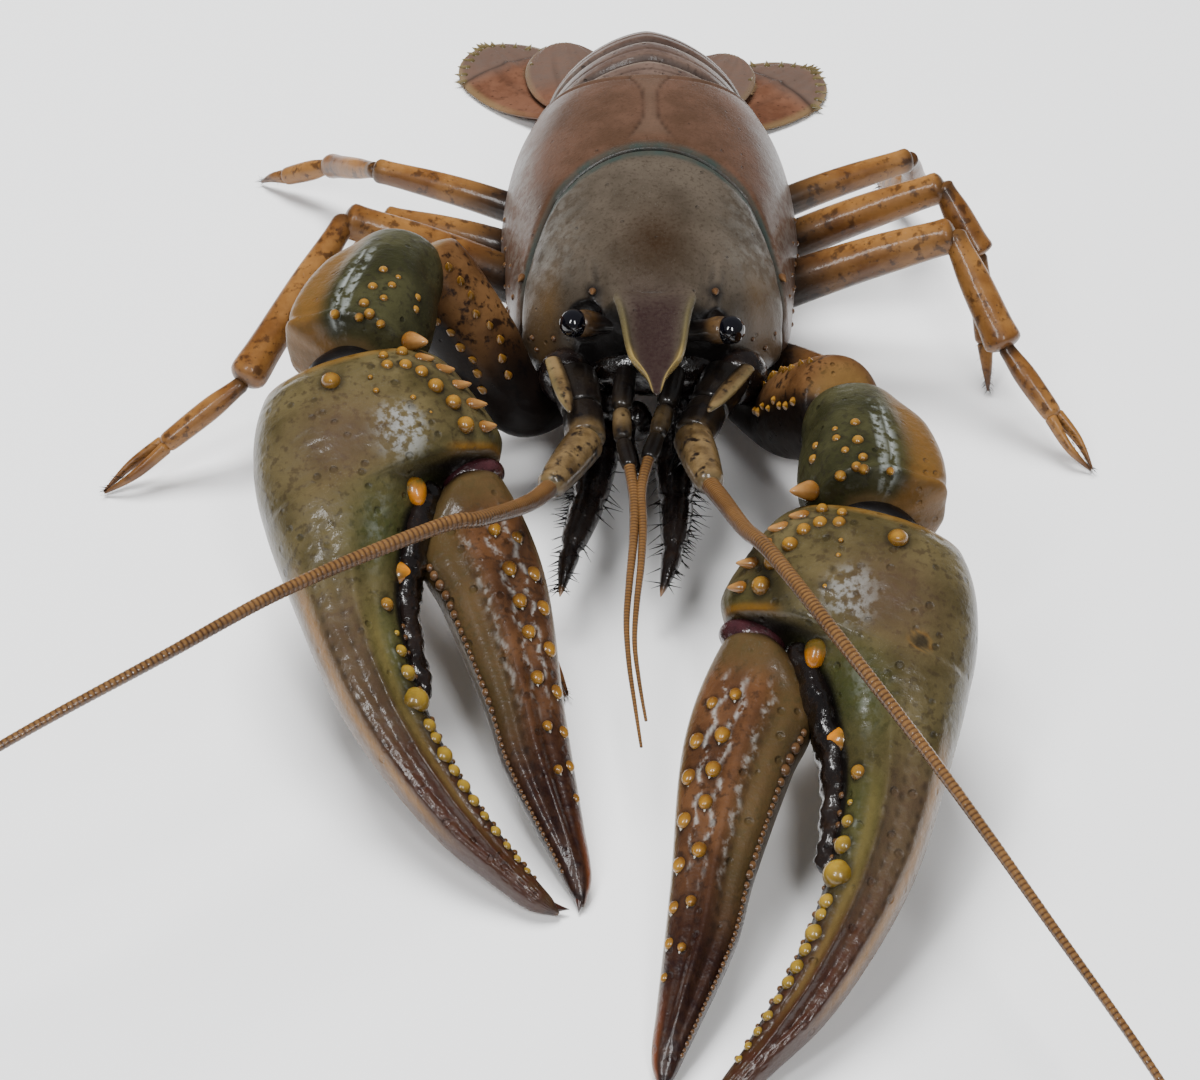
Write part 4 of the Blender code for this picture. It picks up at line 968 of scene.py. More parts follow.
class Carapace(Part):
    """Head shield with its beak, and the shield over the chest."""

    def __init__(self, shop: Workshop, finishes: Finishes, sizes: CarapaceSizes = CarapaceSizes(),
                 rostrum: RostrumSizes = RostrumSizes()) -> None:
        """Take the sizes.

        Args:
            shop: where pieces are finished.
            finishes: the animal's finishes.
            sizes: the shell's sizes.
            rostrum: the beak's sizes.
        """
        super().__init__(shop, finishes)
        self.sizes = sizes
        self.rostrum = rostrum
        self.scatter = random.Random(5)

    def surface(self, y: Array, turn: Array, inset: Array | float = 0.0) -> Array:
        """Places on the shell.

        Args:
            y: place along the animal.
            turn: angle from the middle of the back.
            inset: how far the place is drawn in.

        Returns:
            The places.
        """
        sizes = self.sizes
        side, rise = superellipse(turn, sizes.power)
        widest = sizes.widest.at(y)
        height = np.where(rise >= 0, sizes.top.at(y) - widest, widest - sizes.belly.at(y))
        x = (sizes.half_width.at(y) - inset) * side
        return np.stack([x, y, widest + (height - inset) * rise], -1)

    def groove(self, x: Array, z: Array) -> Array:
        """Where the groove crosses the shell.

        Args:
            x: place across.
            z: height.

        Returns:
            Place along the animal.
        """
        sizes = self.sizes
        drop = np.maximum(0.0, sizes.groove_high - np.maximum(z, sizes.groove_floor))
        return -sizes.groove_sweep * (x / sizes.groove_side) ** 2 - sizes.groove_drop * drop

    def back_edge(self, x: Array, z: Array) -> Array:
        """Where the shell ends over the tail.

        Args:
            x: place across.
            z: height, which doesn't change it.

        Returns:
            Place along the animal.
        """
        sizes = self.sizes
        return sizes.rear + sizes.rear_sweep * np.minimum(1.0, (x / sizes.rear_side) ** 2)

    def edge_along(self, rule: Callable[[Array, Array], Array], turn: Array, shift: float) -> Array:
        """Follow an edge round the shell.

        Args:
            rule: the edge.
            turn: angles from the middle of the back.
            shift: how far along the animal the line is moved.

        Returns:
            Place along the animal at each angle.
        """
        y = np.full_like(turn, float(rule(np.array(0.0), np.array(self.sizes.groove_high))))
        for _ in range(6):
            place = self.surface(y, turn)
            y = rule(place[:, 0], place[:, 2]) + shift
        return y

    def eye_line(self, y: Array) -> Array:
        """How far from the middle the ridges behind the eyes run."""
        return 5.4 + (y + 17.4) * 0.12

    def plate(self, first: Callable[[Array], Array], last: Callable[[Array], Array], along: int, around: int,
              relief: Relief, nose: tuple[float, float, float] | None) -> bmesh.types.BMesh:
        """One plate of the shell with both of its ends closed.

        Args:
            first: place along the animal of its front edge, by angle.
            last: place of its rear edge, by angle.
            along: faces along it.
            around: faces round it.
            relief: height over the plain shell, by (places, angles).
            nose: where the front end closes, or None for a flat front end.

        Returns:
            The skin.
        """
        sizes = self.sizes
        lip = sizes.edge

        def warp(u: Array, v: Array) -> Array:
            """Places of the plate's skin."""
            turn = TURN * v
            body = np.clip((u - sizes.front_share) / sizes.body_share, 0.0, 1.0)
            start = first(turn)
            end = last(turn)
            y = start + (end - start) * body
            near = np.minimum(y - start if nose is None else y - start + lip, end - y)
            inset = lip * (1.0 - np.sqrt(np.clip(1.0 - (1.0 - np.clip(near / lip, 0.0, 1.0)) ** 2, 0.0, 1.0)))
            place = self.surface(y, turn, inset)
            outward = self.surface(y, turn, -1.0) - self.surface(y, turn, 0.0)
            height = relief(place, turn) * np.clip(near / lip, 0.0, 1.0)
            place = place + outward * height[:, None]
            front = np.clip(1.0 - u / sizes.front_share, 0.0, 1.0)[:, None]
            back = np.clip((u - sizes.back_start) / sizes.back_share, 0.0, 1.0)[:, None]
            middle = np.stack([np.zeros_like(y), end, np.full_like(y, sizes.closing)], -1)
            if nose is None:
                centre = np.stack([np.zeros_like(y), start, np.full_like(y, sizes.closing)], -1)
                tip = np.array([0.0, float(first(np.array([0.0]))[0]), sizes.closing])
            else:
                centre = np.broadcast_to(np.array(nose), place.shape)
                tip = np.array(nose)
            bulge = np.sin(front * np.pi / 2)
            place = place * (1 - front) + (centre * (1 - front) + tip * front) * front
            place[:, 1] -= (bulge * (1 - front) * (0.6 if nose else 0.0))[:, 0]
            rear = np.array([0.0, float(last(np.array([0.0]))[0]), sizes.closing])
            return place * (1 - back) + (middle * (1 - back) + rear * back) * back
        return rolled_skin(along, around, warp)

    def build(self) -> None:
        """Build the head shield, the beak and the chest shield."""
        self.build_head()
        self.build_thorax()

    def head_relief(self, place: Array, turn: Array) -> Array:
        """Ridges behind the eyes and swellings of the head.

        Args:
            place: places on the shell.
            turn: their angles.

        Returns:
            Height over the plain shell.
        """
        x = np.abs(place[:, 0])
        y = place[:, 1]
        upper = ease(15.0, 19.0, place[:, 2])
        line = self.eye_line(y)
        ridge = 0.22 * bump(x, line, 0.4) * ease(-12.0, -15.5, y) * upper
        hollow = -0.2 * bump(x, line - 0.9, 0.5) * ease(-12.5, -15.5, y) * upper
        rows = 0.05 * np.sin(place[:, 0] * 2.1 + 3.0) * np.sin(y * 1.9)
        groove = -0.45 * bump(y, self.groove(place[:, 0], place[:, 2]) - 0.2, 0.9)
        return ridge + hollow + rows + groove

    def build_head(self) -> None:
        """The head shield with its beak and beads."""
        sizes = self.sizes
        skin = self.plate(lambda turn: np.full_like(turn, sizes.front),
                          lambda turn: self.edge_along(self.groove, turn, -sizes.gap),
                          150, 260, self.head_relief, sizes.nose)
        for eye in EYES.values():
            for vert in skin.verts:
                away = vert.co - eye
                if away.length < sizes.orbit:
                    vert.co = eye + away.normalized() * sizes.orbit
        beads = self.side_beads([-16.9, -15.9, -14.8], (1.3, 1.48, 1.4), 0.26)
        whole = join([skin, self.beak()])
        grains = [Bead(Vector((side * 5.35, -17.2, float(sizes.top.at(-17.2)) - 1.25)), UP, 0.34,
                       Vector((side * 0.1, -1.0, 0.15)), 0.6, 0.2, 0.5) for side in (-1, 1)]
        self.shop.finish("head_shell", whole, self.finishes.head, "head_shell", ["head_shield"],
                         self.head_paints(beads, grains))
        self.shop.finish("head_beads", bead_skin(beads), self.finishes.rust, "head_shell")
        self.shop.finish("head_spines", bead_skin(grains), self.finishes.rust, "head_shell")

    def head_paints(self, beads: list[Bead], grains: list[Bead]) -> Paints:
        """The head shield's painted values.

        Args:
            beads: the beads on its sides.
            grains: the small spines behind the eyes.

        Returns:
            The paints.
        """
        sizes = self.sizes

        def beak_share(co: Array) -> Array:
            """How far across the beak places are, 1 at its edges."""
            return np.abs(co[:, 0]) / self.rostrum.half_width.at(co[:, 1])

        def groove(co: Array, u: Array, v: Array) -> Array:
            """Teal in front of the groove, broken along it."""
            broken = 0.68 + 0.22 * np.sin(co[:, 0] * 2.3) * np.sin(co[:, 0] * 0.9 + 1.0)
            return broken * ease(-1.9, -0.9, co[:, 1] - self.groove(co[:, 0], co[:, 2]))

        def olive(co: Array, u: Array, v: Array) -> Array:
            """Olive along the beak's edges."""
            on_beak = (co[:, 2] > 19.0) * ease(-17.5, -24.0, co[:, 1])
            return 0.85 * on_beak * ease(0.72, 0.93, beak_share(co)) * (beak_share(co) < 1.05)

        def straw(co: Array, u: Array, v: Array) -> Array:
            """Straw at the beak's point."""
            point = ease(-25.5, -27.5, co[:, 1]) * (co[:, 2] > 18.9)
            sides = 0.2 * olive(co, u, v) * ease(-22.0, -26.0, co[:, 1])
            return 0.8 * point * ease(0.6, 0.88, beak_share(co)) + sides

        def mauve(co: Array, u: Array, v: Array) -> Array:
            """Dark mauve in the beak's hollow."""
            inner = ease(0.95, 0.4, beak_share(co)) * ease(-15.0, -22.0, co[:, 1]) * (co[:, 2] > 18.6)
            return 0.95 * inner

        def patch(co: Array, u: Array, v: Array) -> Array:
            """A dark patch on the middle of the head."""
            return bump(co[:, 0], 0.1, 3.3) * bump(co[:, 1], -12.9, 4.4) * ease(17.0, 20.0, co[:, 2])

        def gold(co: Array, u: Array, v: Array) -> Array:
            """Gold on the cheeks."""
            cheek = 0.75 * ease(7.5, 9.5, np.abs(co[:, 0])) * bump(co[:, 1], -16.5, 3.2)
            return cheek * ease(9.0, 12.0, co[:, 2])

        def painted_sheen(co: Array, u: Array, v: Array) -> Array:
            """Painted pale sheen on the flanks."""
            flank = 0.28 * ease(5.0, 9.5, np.abs(co[:, 0])) * ease(-17.0, -12.0, co[:, 1])
            return flank * ease(9.0, 15.0, co[:, 2])

        def shade(co: Array, u: Array, v: Array) -> Array:
            """Dark face, rims of the eye sockets and slots beside the ridges."""
            face = ease(-17.9, -18.7, co[:, 1]) * ease(19.6, 18.2, co[:, 2]) * (co[:, 1] > -21.0)
            under = ease(19.3, 18.7, co[:, 2]) * (co[:, 1] < -20.5)
            dark = np.maximum(face, under)
            for eye in EYES.values():
                gap = np.linalg.norm(co - np.array(eye), axis=1)
                dark = np.maximum(dark, ease(sizes.orbit + 0.35, sizes.orbit + 0.05, gap))
            cheek = ease(11.5, 8.0, co[:, 2]) * ease(-12.0, -16.0, co[:, 1]) * 0.85
            side = np.abs(co[:, 0]) - self.eye_line(co[:, 1])
            slot = 0.55 * bump(side, -0.55, 0.3) * ease(-13.5, -16.0, co[:, 1]) * (co[:, 2] > 18.5)
            return highest(dark, cheek, slot * (beak_share(co) > 1.0), 0.4 * ring_of_shade(co, beads, 1.6),
                           0.9 * ring_of_shade(co, grains, 4.0))

        return {"groove": groove, "olive": olive, "straw": straw, "mauve": mauve, "patch": patch,
                "gold": gold, "painted_sheen": painted_sheen, "shade": shade}

    def beak(self) -> bmesh.types.BMesh:
        """The beak: hollow on top between raised edges, with a keel below.

        Returns:
            The skin.
        """
        sizes = self.rostrum

        def warp(u: Array, v: Array) -> Array:
            """Places of the beak's skin."""
            share = crowd(u)
            y = sizes.tip + (sizes.root - sizes.tip) * share
            wide = sizes.half_width.at(y) * (1.0 - 0.3 * ease(-20.5, -16.5, y))
            margin = np.minimum(sizes.margin, wide * 0.3) * ease(-17.5, -22.5, y)
            x = np.sin(TURN * v)
            top = np.cos(TURN * v)
            upper = margin * bump(np.abs(x), 0.88, 0.11) - margin * 0.45 * (1 - x ** 2)
            keel = np.minimum(sizes.keel, wide * 1.2)
            lower = -keel * (1.0 - np.abs(x) ** 1.6) - 0.12
            z = sizes.top.at(y) + np.where(top >= 0, upper, lower) * ease(0.0, 0.25, np.abs(top))
            girth = dome(share, 0.03)
            middle = sizes.top.at(y) - 0.3
            sunk = -2.3 * ease(-21.5, -14.5, y)
            return np.stack([wide * x * girth, y, middle + (z - middle) * girth + sunk], -1)
        return rolled_skin(90, 72, warp)

    def side_beads(self, places: Sequence[float], turns: Sequence[float], radius: float = 0.42) -> list[Bead]:
        """Beads on both sides of the shell.

        Args:
            places: places along the animal.
            turns: angles from the middle of the back, used in turn.
            radius: a bead's radius.

        Returns:
            The beads.
        """
        beads = []
        for side in (-1.0, 1.0):
            for i, y in enumerate(places):
                here = y + self.scatter.uniform(-0.3, 0.3)
                turn = side * (turns[i % len(turns)] + self.scatter.uniform(-0.03, 0.03))
                place, normal = self.spot(here, turn)
                beads.append(Bead(place, normal, radius * self.scatter.uniform(0.75, 1.2), sink=0.3))
        return beads

    def spot(self, y: float, turn: float) -> tuple[Vector, Vector]:
        """One point of the shell and its outward direction.

        Args:
            y: place along the animal.
            turn: angle from the middle of the back.

        Returns:
            Both.
        """
        at = np.array([y])
        angle = np.array([turn])
        place = Vector(self.surface(at, angle)[0])
        outward = Vector(self.surface(at, angle, -1.0)[0]) - place
        return place, outward.normalized()

    def thorax_relief(self, place: Array, turn: Array) -> Array:
        """The two lines down the back, the rim over the tail and soft swellings.

        Args:
            place: places on the shell.
            turn: their angles.

        Returns:
            Height over the plain shell.
        """
        x = np.abs(place[:, 0])
        y = place[:, 1]
        line = self.areola(y)
        upper = ease(18.0, 21.0, place[:, 2])
        lines = -0.12 * bump(x, line, 0.2) * upper * ease(0.5, 2.5, y)
        rim = self.back_edge(place[:, 0], place[:, 2]) - y
        band = 0.1 * bump(rim, 0.4, 0.4) - 0.14 * bump(rim, 1.1, 0.3)
        groove = -0.35 * bump(y, self.groove(place[:, 0], place[:, 2]) + 0.2, 0.8)
        return lines + band + groove

    def areola(self, y: Array) -> Array:
        """Half width of the narrow strip between the two lines down the back.

        Args:
            y: place along the animal.

        Returns:
            The half width.
        """
        return self.sizes.areola.at(y)

    def build_thorax(self) -> None:
        """The chest shield with its side beads."""
        sizes = self.sizes
        skin = self.plate(lambda turn: self.edge_along(self.groove, turn, sizes.gap),
                          lambda turn: self.edge_along(self.back_edge, turn, 0.0),
                          190, 300, self.thorax_relief, None)
        beads = self.side_beads([-8.5 + 1.35 * i for i in range(10)], (1.32, 1.5, 1.42), 0.3)
        beads += self.side_beads([-8.0 + 1.6 * i for i in range(8)], (1.62, 1.74), 0.28)
        thorns = []
        for side in (-1.0, 1.0):
            place, normal = self.spot(-9.0, side * 1.15)
            thorns.append(Bead(place, normal, 0.42, Vector((side * 0.35, -1.0, 0.15)), 1.0))
        self.shop.finish("thorax_shell", skin, self.finishes.thorax, "thorax_shell", ["thorax_shield"],
                         self.thorax_paints(beads + thorns))
        self.shop.finish("thorax_beads", bead_skin(beads, 2), self.finishes.rust, "thorax_shell")
        self.shop.finish("thorax_spines", bead_skin(thorns), self.finishes.rust, "thorax_shell")

    def thorax_paints(self, beads: list[Bead]) -> Paints:
        """The chest shield's painted values.

        Args:
            beads: all beads and spines that stand in it.

        Returns:
            The paints.
        """
        def groove(co: Array, u: Array, v: Array) -> Array:
            """Teal behind the groove, broken along it."""
            broken = 0.7 + 0.25 * np.sin(co[:, 0] * 1.9 + 0.7) * np.sin(co[:, 0] * 0.8)
            return broken * ease(1.2, 0.5, co[:, 1] - self.groove(co[:, 0], co[:, 2]))

        def rust(co: Array, u: Array, v: Array) -> Array:
            """Rust low on the front sides."""
            return 0.8 * ease(16.0, 11.0, co[:, 2]) * ease(3.0, -4.0, co[:, 1])

        def rim(co: Array, u: Array, v: Array) -> Array:
            """Pale rear rim, lower edge and strip down the back."""
            rear = self.back_edge(co[:, 0], co[:, 2]) - co[:, 1]
            strip = 0.3 * ease(0.1, -0.3, np.abs(co[:, 0]) - self.areola(co[:, 1]))
            strip = strip * ease(18.0, 21.0, co[:, 2])
            low = ease(9.0, 5.5, co[:, 2]) * 0.6
            return highest(0.5 * ease(1.1, 0.3, rear), low, strip * ease(1.0, 3.0, co[:, 1]))

        def painted_sheen(co: Array, u: Array, v: Array) -> Array:
            """Painted pale sheen on the flanks."""
            return 0.42 * ease(9.6, 12.8, np.abs(co[:, 0])) * ease(8.0, 13.0, co[:, 2])

        def shade(co: Array, u: Array, v: Array) -> Array:
            """Dark lines down the back, and both closed ends."""
            line = self.areola(co[:, 1])
            upper = ease(18.0, 21.0, co[:, 2])
            lines = 0.42 * bump(np.abs(co[:, 0]), line, 0.17) * upper * ease(0.5, 3.0, co[:, 1])
            ends = ease(0.12, 0.08, u) + ease(0.9, 0.94, u)
            return highest(lines, ring_of_shade(co, beads) * 0.4, ends)

        return {"groove": groove, "rust": rust, "rim": rim, "painted_sheen": painted_sheen, "shade": shade}


# Abdomen and tail fan.
@dataclass(frozen=True)
class AbdomenSizes:
    """Sizes of the tail's six rings."""

    line: tuple[tuple[float, float], ...] = ((14.6, 22.4), (18.4, 22.5), (23.5, 21.8), (28.4, 20.2),
                                             (33.0, 17.2), (37.6, 12.4), (42.2, 7.2))
    half_width: tuple[float, ...] = (10.3, 10.5, 10.4, 10.2, 9.8, 9.1, 8.0)
    depth: tuple[float, ...] = (9.0, 9.2, 9.2, 8.8, 8.2, 7.0, 5.4)
    step: float = 0.45
    crest: float = 4.5


class Abdomen(Part):
    """Six rings of the tail, with side lobes and small limbs below."""

    def __init__(self, shop: Workshop, finishes: Finishes, sizes: AbdomenSizes = AbdomenSizes()) -> None:
        """Take the sizes.

        Args:
            shop: where pieces are finished.
            finishes: the animal's finishes.
            sizes: the rings' sizes.
        """
        super().__init__(shop, finishes)
        self.sizes = sizes
        self.y = numbered([stop[0] for stop in sizes.line])
        self.z = numbered([stop[1] for stop in sizes.line])
        self.wide = numbered(sizes.half_width)
        self.deep = numbered(sizes.depth)

    def place(self, at: Array, x: Array, down: Array) -> Array:
        """Turn a place on a ring into a place in the animal's frame.

        Args:
            at: ring number, with its share.
            x: place across.
            down: height over the back line, mostly below 0.

        Returns:
            The places.
        """
        step = 0.05
        low = np.maximum(at - step, 0.0)
        high = np.minimum(at + step, 6.0)
        dy = self.y.at(high) - self.y.at(low)
        dz = self.z.at(high) - self.z.at(low)
        size = np.hypot(dy, dz)
        return np.stack([x, self.y.at(at) - down * dz / size, self.z.at(at) + down * dy / size], -1)

    def ring(self, number: int) -> bmesh.types.BMesh:
        """One ring.

        Args:
            number: 1 for the ring next to the chest shield.

        Returns:
            The skin.
        """
        front = number - 1.0

        def warp(u: Array, v: Array) -> Array:
            """Places of the ring's skin."""
            share = np.clip((u - 0.06) / 0.88, 0.0, 1.0)
            at = np.clip(front + 0.02 + 0.97 * share, 0.0, 6.0)
            tuck = self.sizes.step * (1.6 - 1.6 * ease(0.22, 0.34, share)) + 0.16 * ease(0.93, 1.0, share)
            swell = 0.06 * np.sin(np.pi * np.clip((share - 0.3) / 0.7, 0.0, 1.0))
            crease = -0.1 * bump(share, 0.56, 0.035) if number < 6 else 0.0
            lobe = 0.84 + 0.24 * np.sin(np.pi * np.clip(share * 0.92 + 0.06, 0.0, 1.0)) ** 0.7
            wide = self.wide.at(at) - tuck + swell + crease
            deep = self.deep.at(at) - tuck
            x, down = self.outline(v, wide, deep, lobe)
            down = down - tuck + (swell + crease) * ease(-self.sizes.crest, 0.0, down)
            ends = np.sqrt(1.0 - (1.0 - np.clip(np.minimum(u, 1 - u) / 0.06, 0.0, 1.0)) ** 2)
            middle = -deep * 0.45
            return self.place(at, x * ends, middle + (down - middle) * ends)
        return rolled_skin(48, 150, warp)

    def outline(self, v: Array, wide: Array, deep: Array, lobe: Array) -> tuple[Array, Array]:
        """Cross-section of a ring: a dome whose side lobes hang down.

        Args:
            v: place round it; 0 is the middle of its underside.
            wide: half width.
            deep: depth.
            lobe: how far the lobes hang, as a share of the depth.

        Returns:
            Places across and heights over the back line.
        """
        side = np.where(v > 0.5, 1.0, -1.0)
        t = np.abs(v - 0.5) * 2.0
        angle = np.radians(80.0) * np.clip(t / 0.62, 0.0, 1.0)
        x = np.sin(angle) ** 1.3
        down = (np.cos(angle) - 1.0) * 1.1
        drop = ease(0.62, 0.74, t)
        low = -0.909 - (lobe + 0.1 - 0.909) * drop
        x = np.where(t > 0.62, 0.98 - 0.01 * drop, x)
        down = np.where(t > 0.62, low, down)
        inner = ease(0.74, 0.84, t)
        x = x * (1 - inner) + 0.72 * inner
        down = down * (1 - inner) - 0.8 * inner
        under = np.clip((t - 0.84) / 0.16, 0.0, 1.0)
        x = x * (1.0 - under)
        down = down - 0.04 * under
        return side * x * wide, down * deep

    def swimmerets(self) -> bmesh.types.BMesh:
        """Pairs of small swimming limbs under the rings.

        Returns:
            The mesh.
        """
        skins = []
        slim = table((0.0, 0.5), (0.5, 0.75), (1.0, 0.15))
        for number in (2, 3, 4, 5):
            at = np.array([number - 0.45])
            for side in (-1.0, 1.0):
                root = Vector(self.place(at, np.array([side * 5.2]), np.array([-6.5]))[0])
                tip = Vector(self.place(at, np.array([side * 3.0]), np.array([-11.0 + 0.5 * number]))[0])
                skins.append(tube_skin(Path([root, root.lerp(tip, 0.5) + Vector((side * 0.6, 0.4, 0)), tip],
                                            Vector((0, 1, 0))), table((0, 0.3), (1, 0.15)), slim, 14, 8))
        return join(skins)

    def build(self) -> None:
        """Build the rings and the small limbs under them."""
        def rim(co: Array, u: Array, v: Array) -> Array:
            """Pale rear edge and side lobes."""
            lobes = ease(0.66, 0.9, np.abs(v - 0.5) * 2.0) * 0.4
            return np.maximum(0.75 * ease(0.8, 0.88, u), lobes)

        def painted_sheen(co: Array, u: Array, v: Array) -> Array:
            """Painted pale sheen on the sides."""
            return 0.5 * ease(5.0, 10.0, np.abs(co[:, 0]))

        def shade(co: Array, u: Array, v: Array) -> Array:
            """Dark front, which slides under the ring before, and the crease."""
            return np.maximum(0.6 * ease(0.34, 0.27, u), 0.25 * bump(u, 0.57, 0.03))

        for number in range(1, 7):
            self.shop.finish(f"tail_ring_{number}", self.ring(number), self.finishes.tail, "tail_shell",
                             [f"abdomen_{number}"], {"rim": rim, "painted_sheen": painted_sheen, "shade": shade})
        self.shop.finish("swimmerets", self.swimmerets(), self.finishes.peduncle, "tail_shell")


@dataclass(frozen=True)
class Blade:
    """Sizes of one flat blade of the tail fan, before the fan is turned."""

    node: str
    root: Vector
    tip: Vector
    half_width: float
    thick: float
    belly: float
    roots: float
    hinge: float
    spines: int
    fringe: int

    @property
    def outer(self) -> bool:
        """Whether it is one of the two outer paddles."""
        return "outer" in self.node

    def fold(self, across: Array | float) -> Array | float:
        """Where the blade's cross fold is, as a share of its length."""
        return self.hinge - 0.05 * across ** 2


class TailFan(Part):
    """The tail plate and two pairs of paddles, in tiers on the floor."""

    TURN_ANGLE = math.radians(-8.0)
    PIVOT = Vector((0.0, 42.0, 0.0))
    SHIFT = Vector((-1.6, 0.0, 0.0))
    LEVEL = 0.55
    FOLDED = 0.8

    def __init__(self, shop: Workshop, finishes: Finishes) -> None:
        """Take the sizes.

        Args:
            shop: where pieces are finished.
            finishes: the animal's finishes.
        """
        super().__init__(shop, finishes)
        self.scatter = random.Random(9)
        self.blades = [Blade("telson", Vector((0.8, 39.6, 5.6)), Vector((0.0, 57.8, 3.1)), 5.6, 1.3, 0.5,
                             0.85, 0.6, 4, 60)]
        for name, side in SIDES.items():
            flip = Vector((side, 1.0, 1.0))
            self.blades.append(Blade(f"uropod_inner_{name}", Vector((4.6, 39.6, 4.0)) * flip,
                                     Vector((9.8, 57.8, 1.7)) * flip, 5.0, 0.9, 0.62, 0.35, 0.82, 2, 56))
            self.blades.append(Blade(f"uropod_outer_{name}", Vector((4.8, 41.6, 2.6)) * flip,
                                     Vector((19.0, 58.5, 0.35)) * flip, 6.6, 0.9, 0.62, 0.35, 0.76, 15, 80))

    def turned(self, skin: bmesh.types.BMesh) -> bmesh.types.BMesh:
        """Turn a mesh with the fan.

        Args:
            skin: the mesh.

        Returns:
            The same mesh.
        """
        bmesh.ops.rotate(skin, cent=self.PIVOT, matrix=Matrix.Rotation(self.TURN_ANGLE, 3, "Z"),
                         verts=skin.verts)
        bmesh.ops.translate(skin, vec=self.SHIFT, verts=skin.verts)
        return skin

    def frame_of(self, blade: Blade) -> tuple[Vector, Vector, Vector, float]:
        """A blade's own directions.

        Args:
            blade: the blade.

        Returns:
            The directions along it, across it and out of its face, and its length.
        """
        along = (blade.tip - blade.root).normalized()
        beside = along.cross(UP).normalized()
        return along, beside, beside.cross(along), (blade.tip - blade.root).length

    def width_at(self, blade: Blade, share: Array) -> Array:
        """A blade's half width.

        Args:
            blade: the blade.
            share: place along it.

        Returns:
            The half width there.
        """
        rise = blade.roots + (1 - blade.roots) * np.sin(np.clip(share / blade.belly, 0, 1) * np.pi / 2)
        fall = np.sqrt(np.clip(1 - (np.clip(share - blade.belly, 0, 1) / (1.005 - blade.belly)) ** 2, 0, 1))
        return blade.half_width * np.where(share <= blade.belly, rise, fall)

    def face(self, blade: Blade, share: Array, across: Array, side: Array | float) -> Array:
        """Places on a blade's face.

        Args:
            blade: the blade.
            share: place along it, 0 to 1.
            across: place across it, -1 to 1.
            side: 1 on its upper face, -1 on its lower one, and between them on its edge.

        Returns:
            The places.
        """
        along, beside, out, length = self.frame_of(blade)
        wide = self.width_at(blade, share)
        x = across * wide
        rib = 0.28 * np.exp(-(x / 0.45) ** 2) * ease(0.0, 0.2, share) * ease(0.97, 0.85, share)
        edge_rib = 0.16 * bump(np.abs(across), 0.9, 0.07) * ease(0.9, 0.7, share)
        hinge = blade.fold(across)
        fold = -0.3 * ease(hinge - 0.005, hinge + 0.012, share) * (blade.hinge < self.FOLDED)
        pleat = 0.05 * np.sin(across * 24.0) * ease(hinge, hinge + 0.06, share)
        curl = 0.35 * (1 - across ** 2)
        height = blade.thick * 0.5 * side + (rib + edge_rib + fold + pleat) * np.clip(side, 0, 1) + curl * 0.4
        level = blade.tip.z + (blade.root.z - blade.tip.z) * np.clip(1.0 - share / self.LEVEL, 0, 1) ** 2
        flat = np.array(blade.root) + np.array(along) * (length * share)[:, None]
        flat[:, 2] = level
        return flat + np.array(beside) * x[:, None] + np.array(out) * height[:, None]

    def spot(self, blade: Blade, share: float, across: float, side: float) -> Vector:
        """One place on a blade's face.

        Args:
            blade: the blade.
            share: place along it, 0 to 1.
            across: place across it, -1 to 1.
            side: 1 on its upper face, -1 on its lower one.

        Returns:
            The place.
        """
        return Vector(self.face(blade, np.array([share]), np.array([across]), np.array([side]))[0])

    def blade_skin(self, blade: Blade) -> bmesh.types.BMesh:
        """One blade.

        Args:
            blade: its sizes.

        Returns:
            The skin.
        """
        def warp(u: Array, v: Array) -> Array:
            """Places of the blade's skin."""
            share = np.clip(crowd(u), 0.0, 1.0)
            side, top = superellipse(TURN * v, 0.8)
            thin = dome(share, 0.04) ** 0.5
            thin = np.where((u < 1e-6) | (u > 1 - 1e-6), 0.0, thin)
            return self.face(blade, share, side * np.where(u < 1e-6, 0.0, 1.0), top * thin)
        return rolled_skin(96, 96, warp)

    def edge_hairs(self, blade: Blade) -> list[Hair]:
        """The fringe along a blade's free edge.

        Args:
            blade: the blade.

        Returns:
            The hairs.
        """
        along, beside, _, _ = self.frame_of(blade)
        hairs = []
        for i in range(blade.fringe * 3):
            angle = math.radians(-88.0 + 176.0 * (i + 0.5) / (blade.fringe * 3))
            across = math.sin(angle) * 0.98
            share = blade.belly + (1.0 - blade.belly) * math.cos(angle)
            if abs(across) < 0.9:
                place = self.spot(blade, min(share, 0.992), across * 0.97, 0.0)
            else:
                place = self.spot(blade, share, math.copysign(0.97, across), 0.0)
            way = along * math.cos(angle) + beside * math.sin(angle)
            way += Vector((self.scatter.uniform(-0.12, 0.12), self.scatter.uniform(-0.12, 0.12),
                           self.scatter.uniform(0.0, 0.12)))
            place.z = max(place.z, 0.12)
            hairs.append(Hair(place - way * 0.3, way, self.scatter.uniform(0.7, 1.0), 0.045))
        return hairs

    def spines(self, blade: Blade) -> list[Bead]:
        """Teeth along the edge of an outer blade, or a row of small spines across another one.

        Args:
            blade: the blade.

        Returns:
            The spines.
        """
        along, beside, out, _ = self.frame_of(blade)
        rows = []
        for i in range(blade.spines):
            if blade.outer:
                angle = math.radians(-72.0 + 144.0 * i / (blade.spines - 1))
                across = math.sin(angle)
                share = blade.belly + (1.0 - blade.belly) * math.cos(angle)
                way = along * math.cos(angle) + beside * math.sin(angle) + out * 0.25
                size = 0.46 * self.scatter.uniform(0.8, 1.15)
                length = 1.3
                edge = 0.99
            else:
                across = -0.86 + 1.72 * i / (blade.spines - 1)
                share = blade.fold(across) - 0.02
                way = along + out * 0.16
                size = 0.28
                length = 0.9
                edge = 1.0
            place = self.spot(blade, min(share, 0.99), across * edge, 0.6)
            rows.append(Bead(place, out, size, way, length, sink=0.4))
        return rows

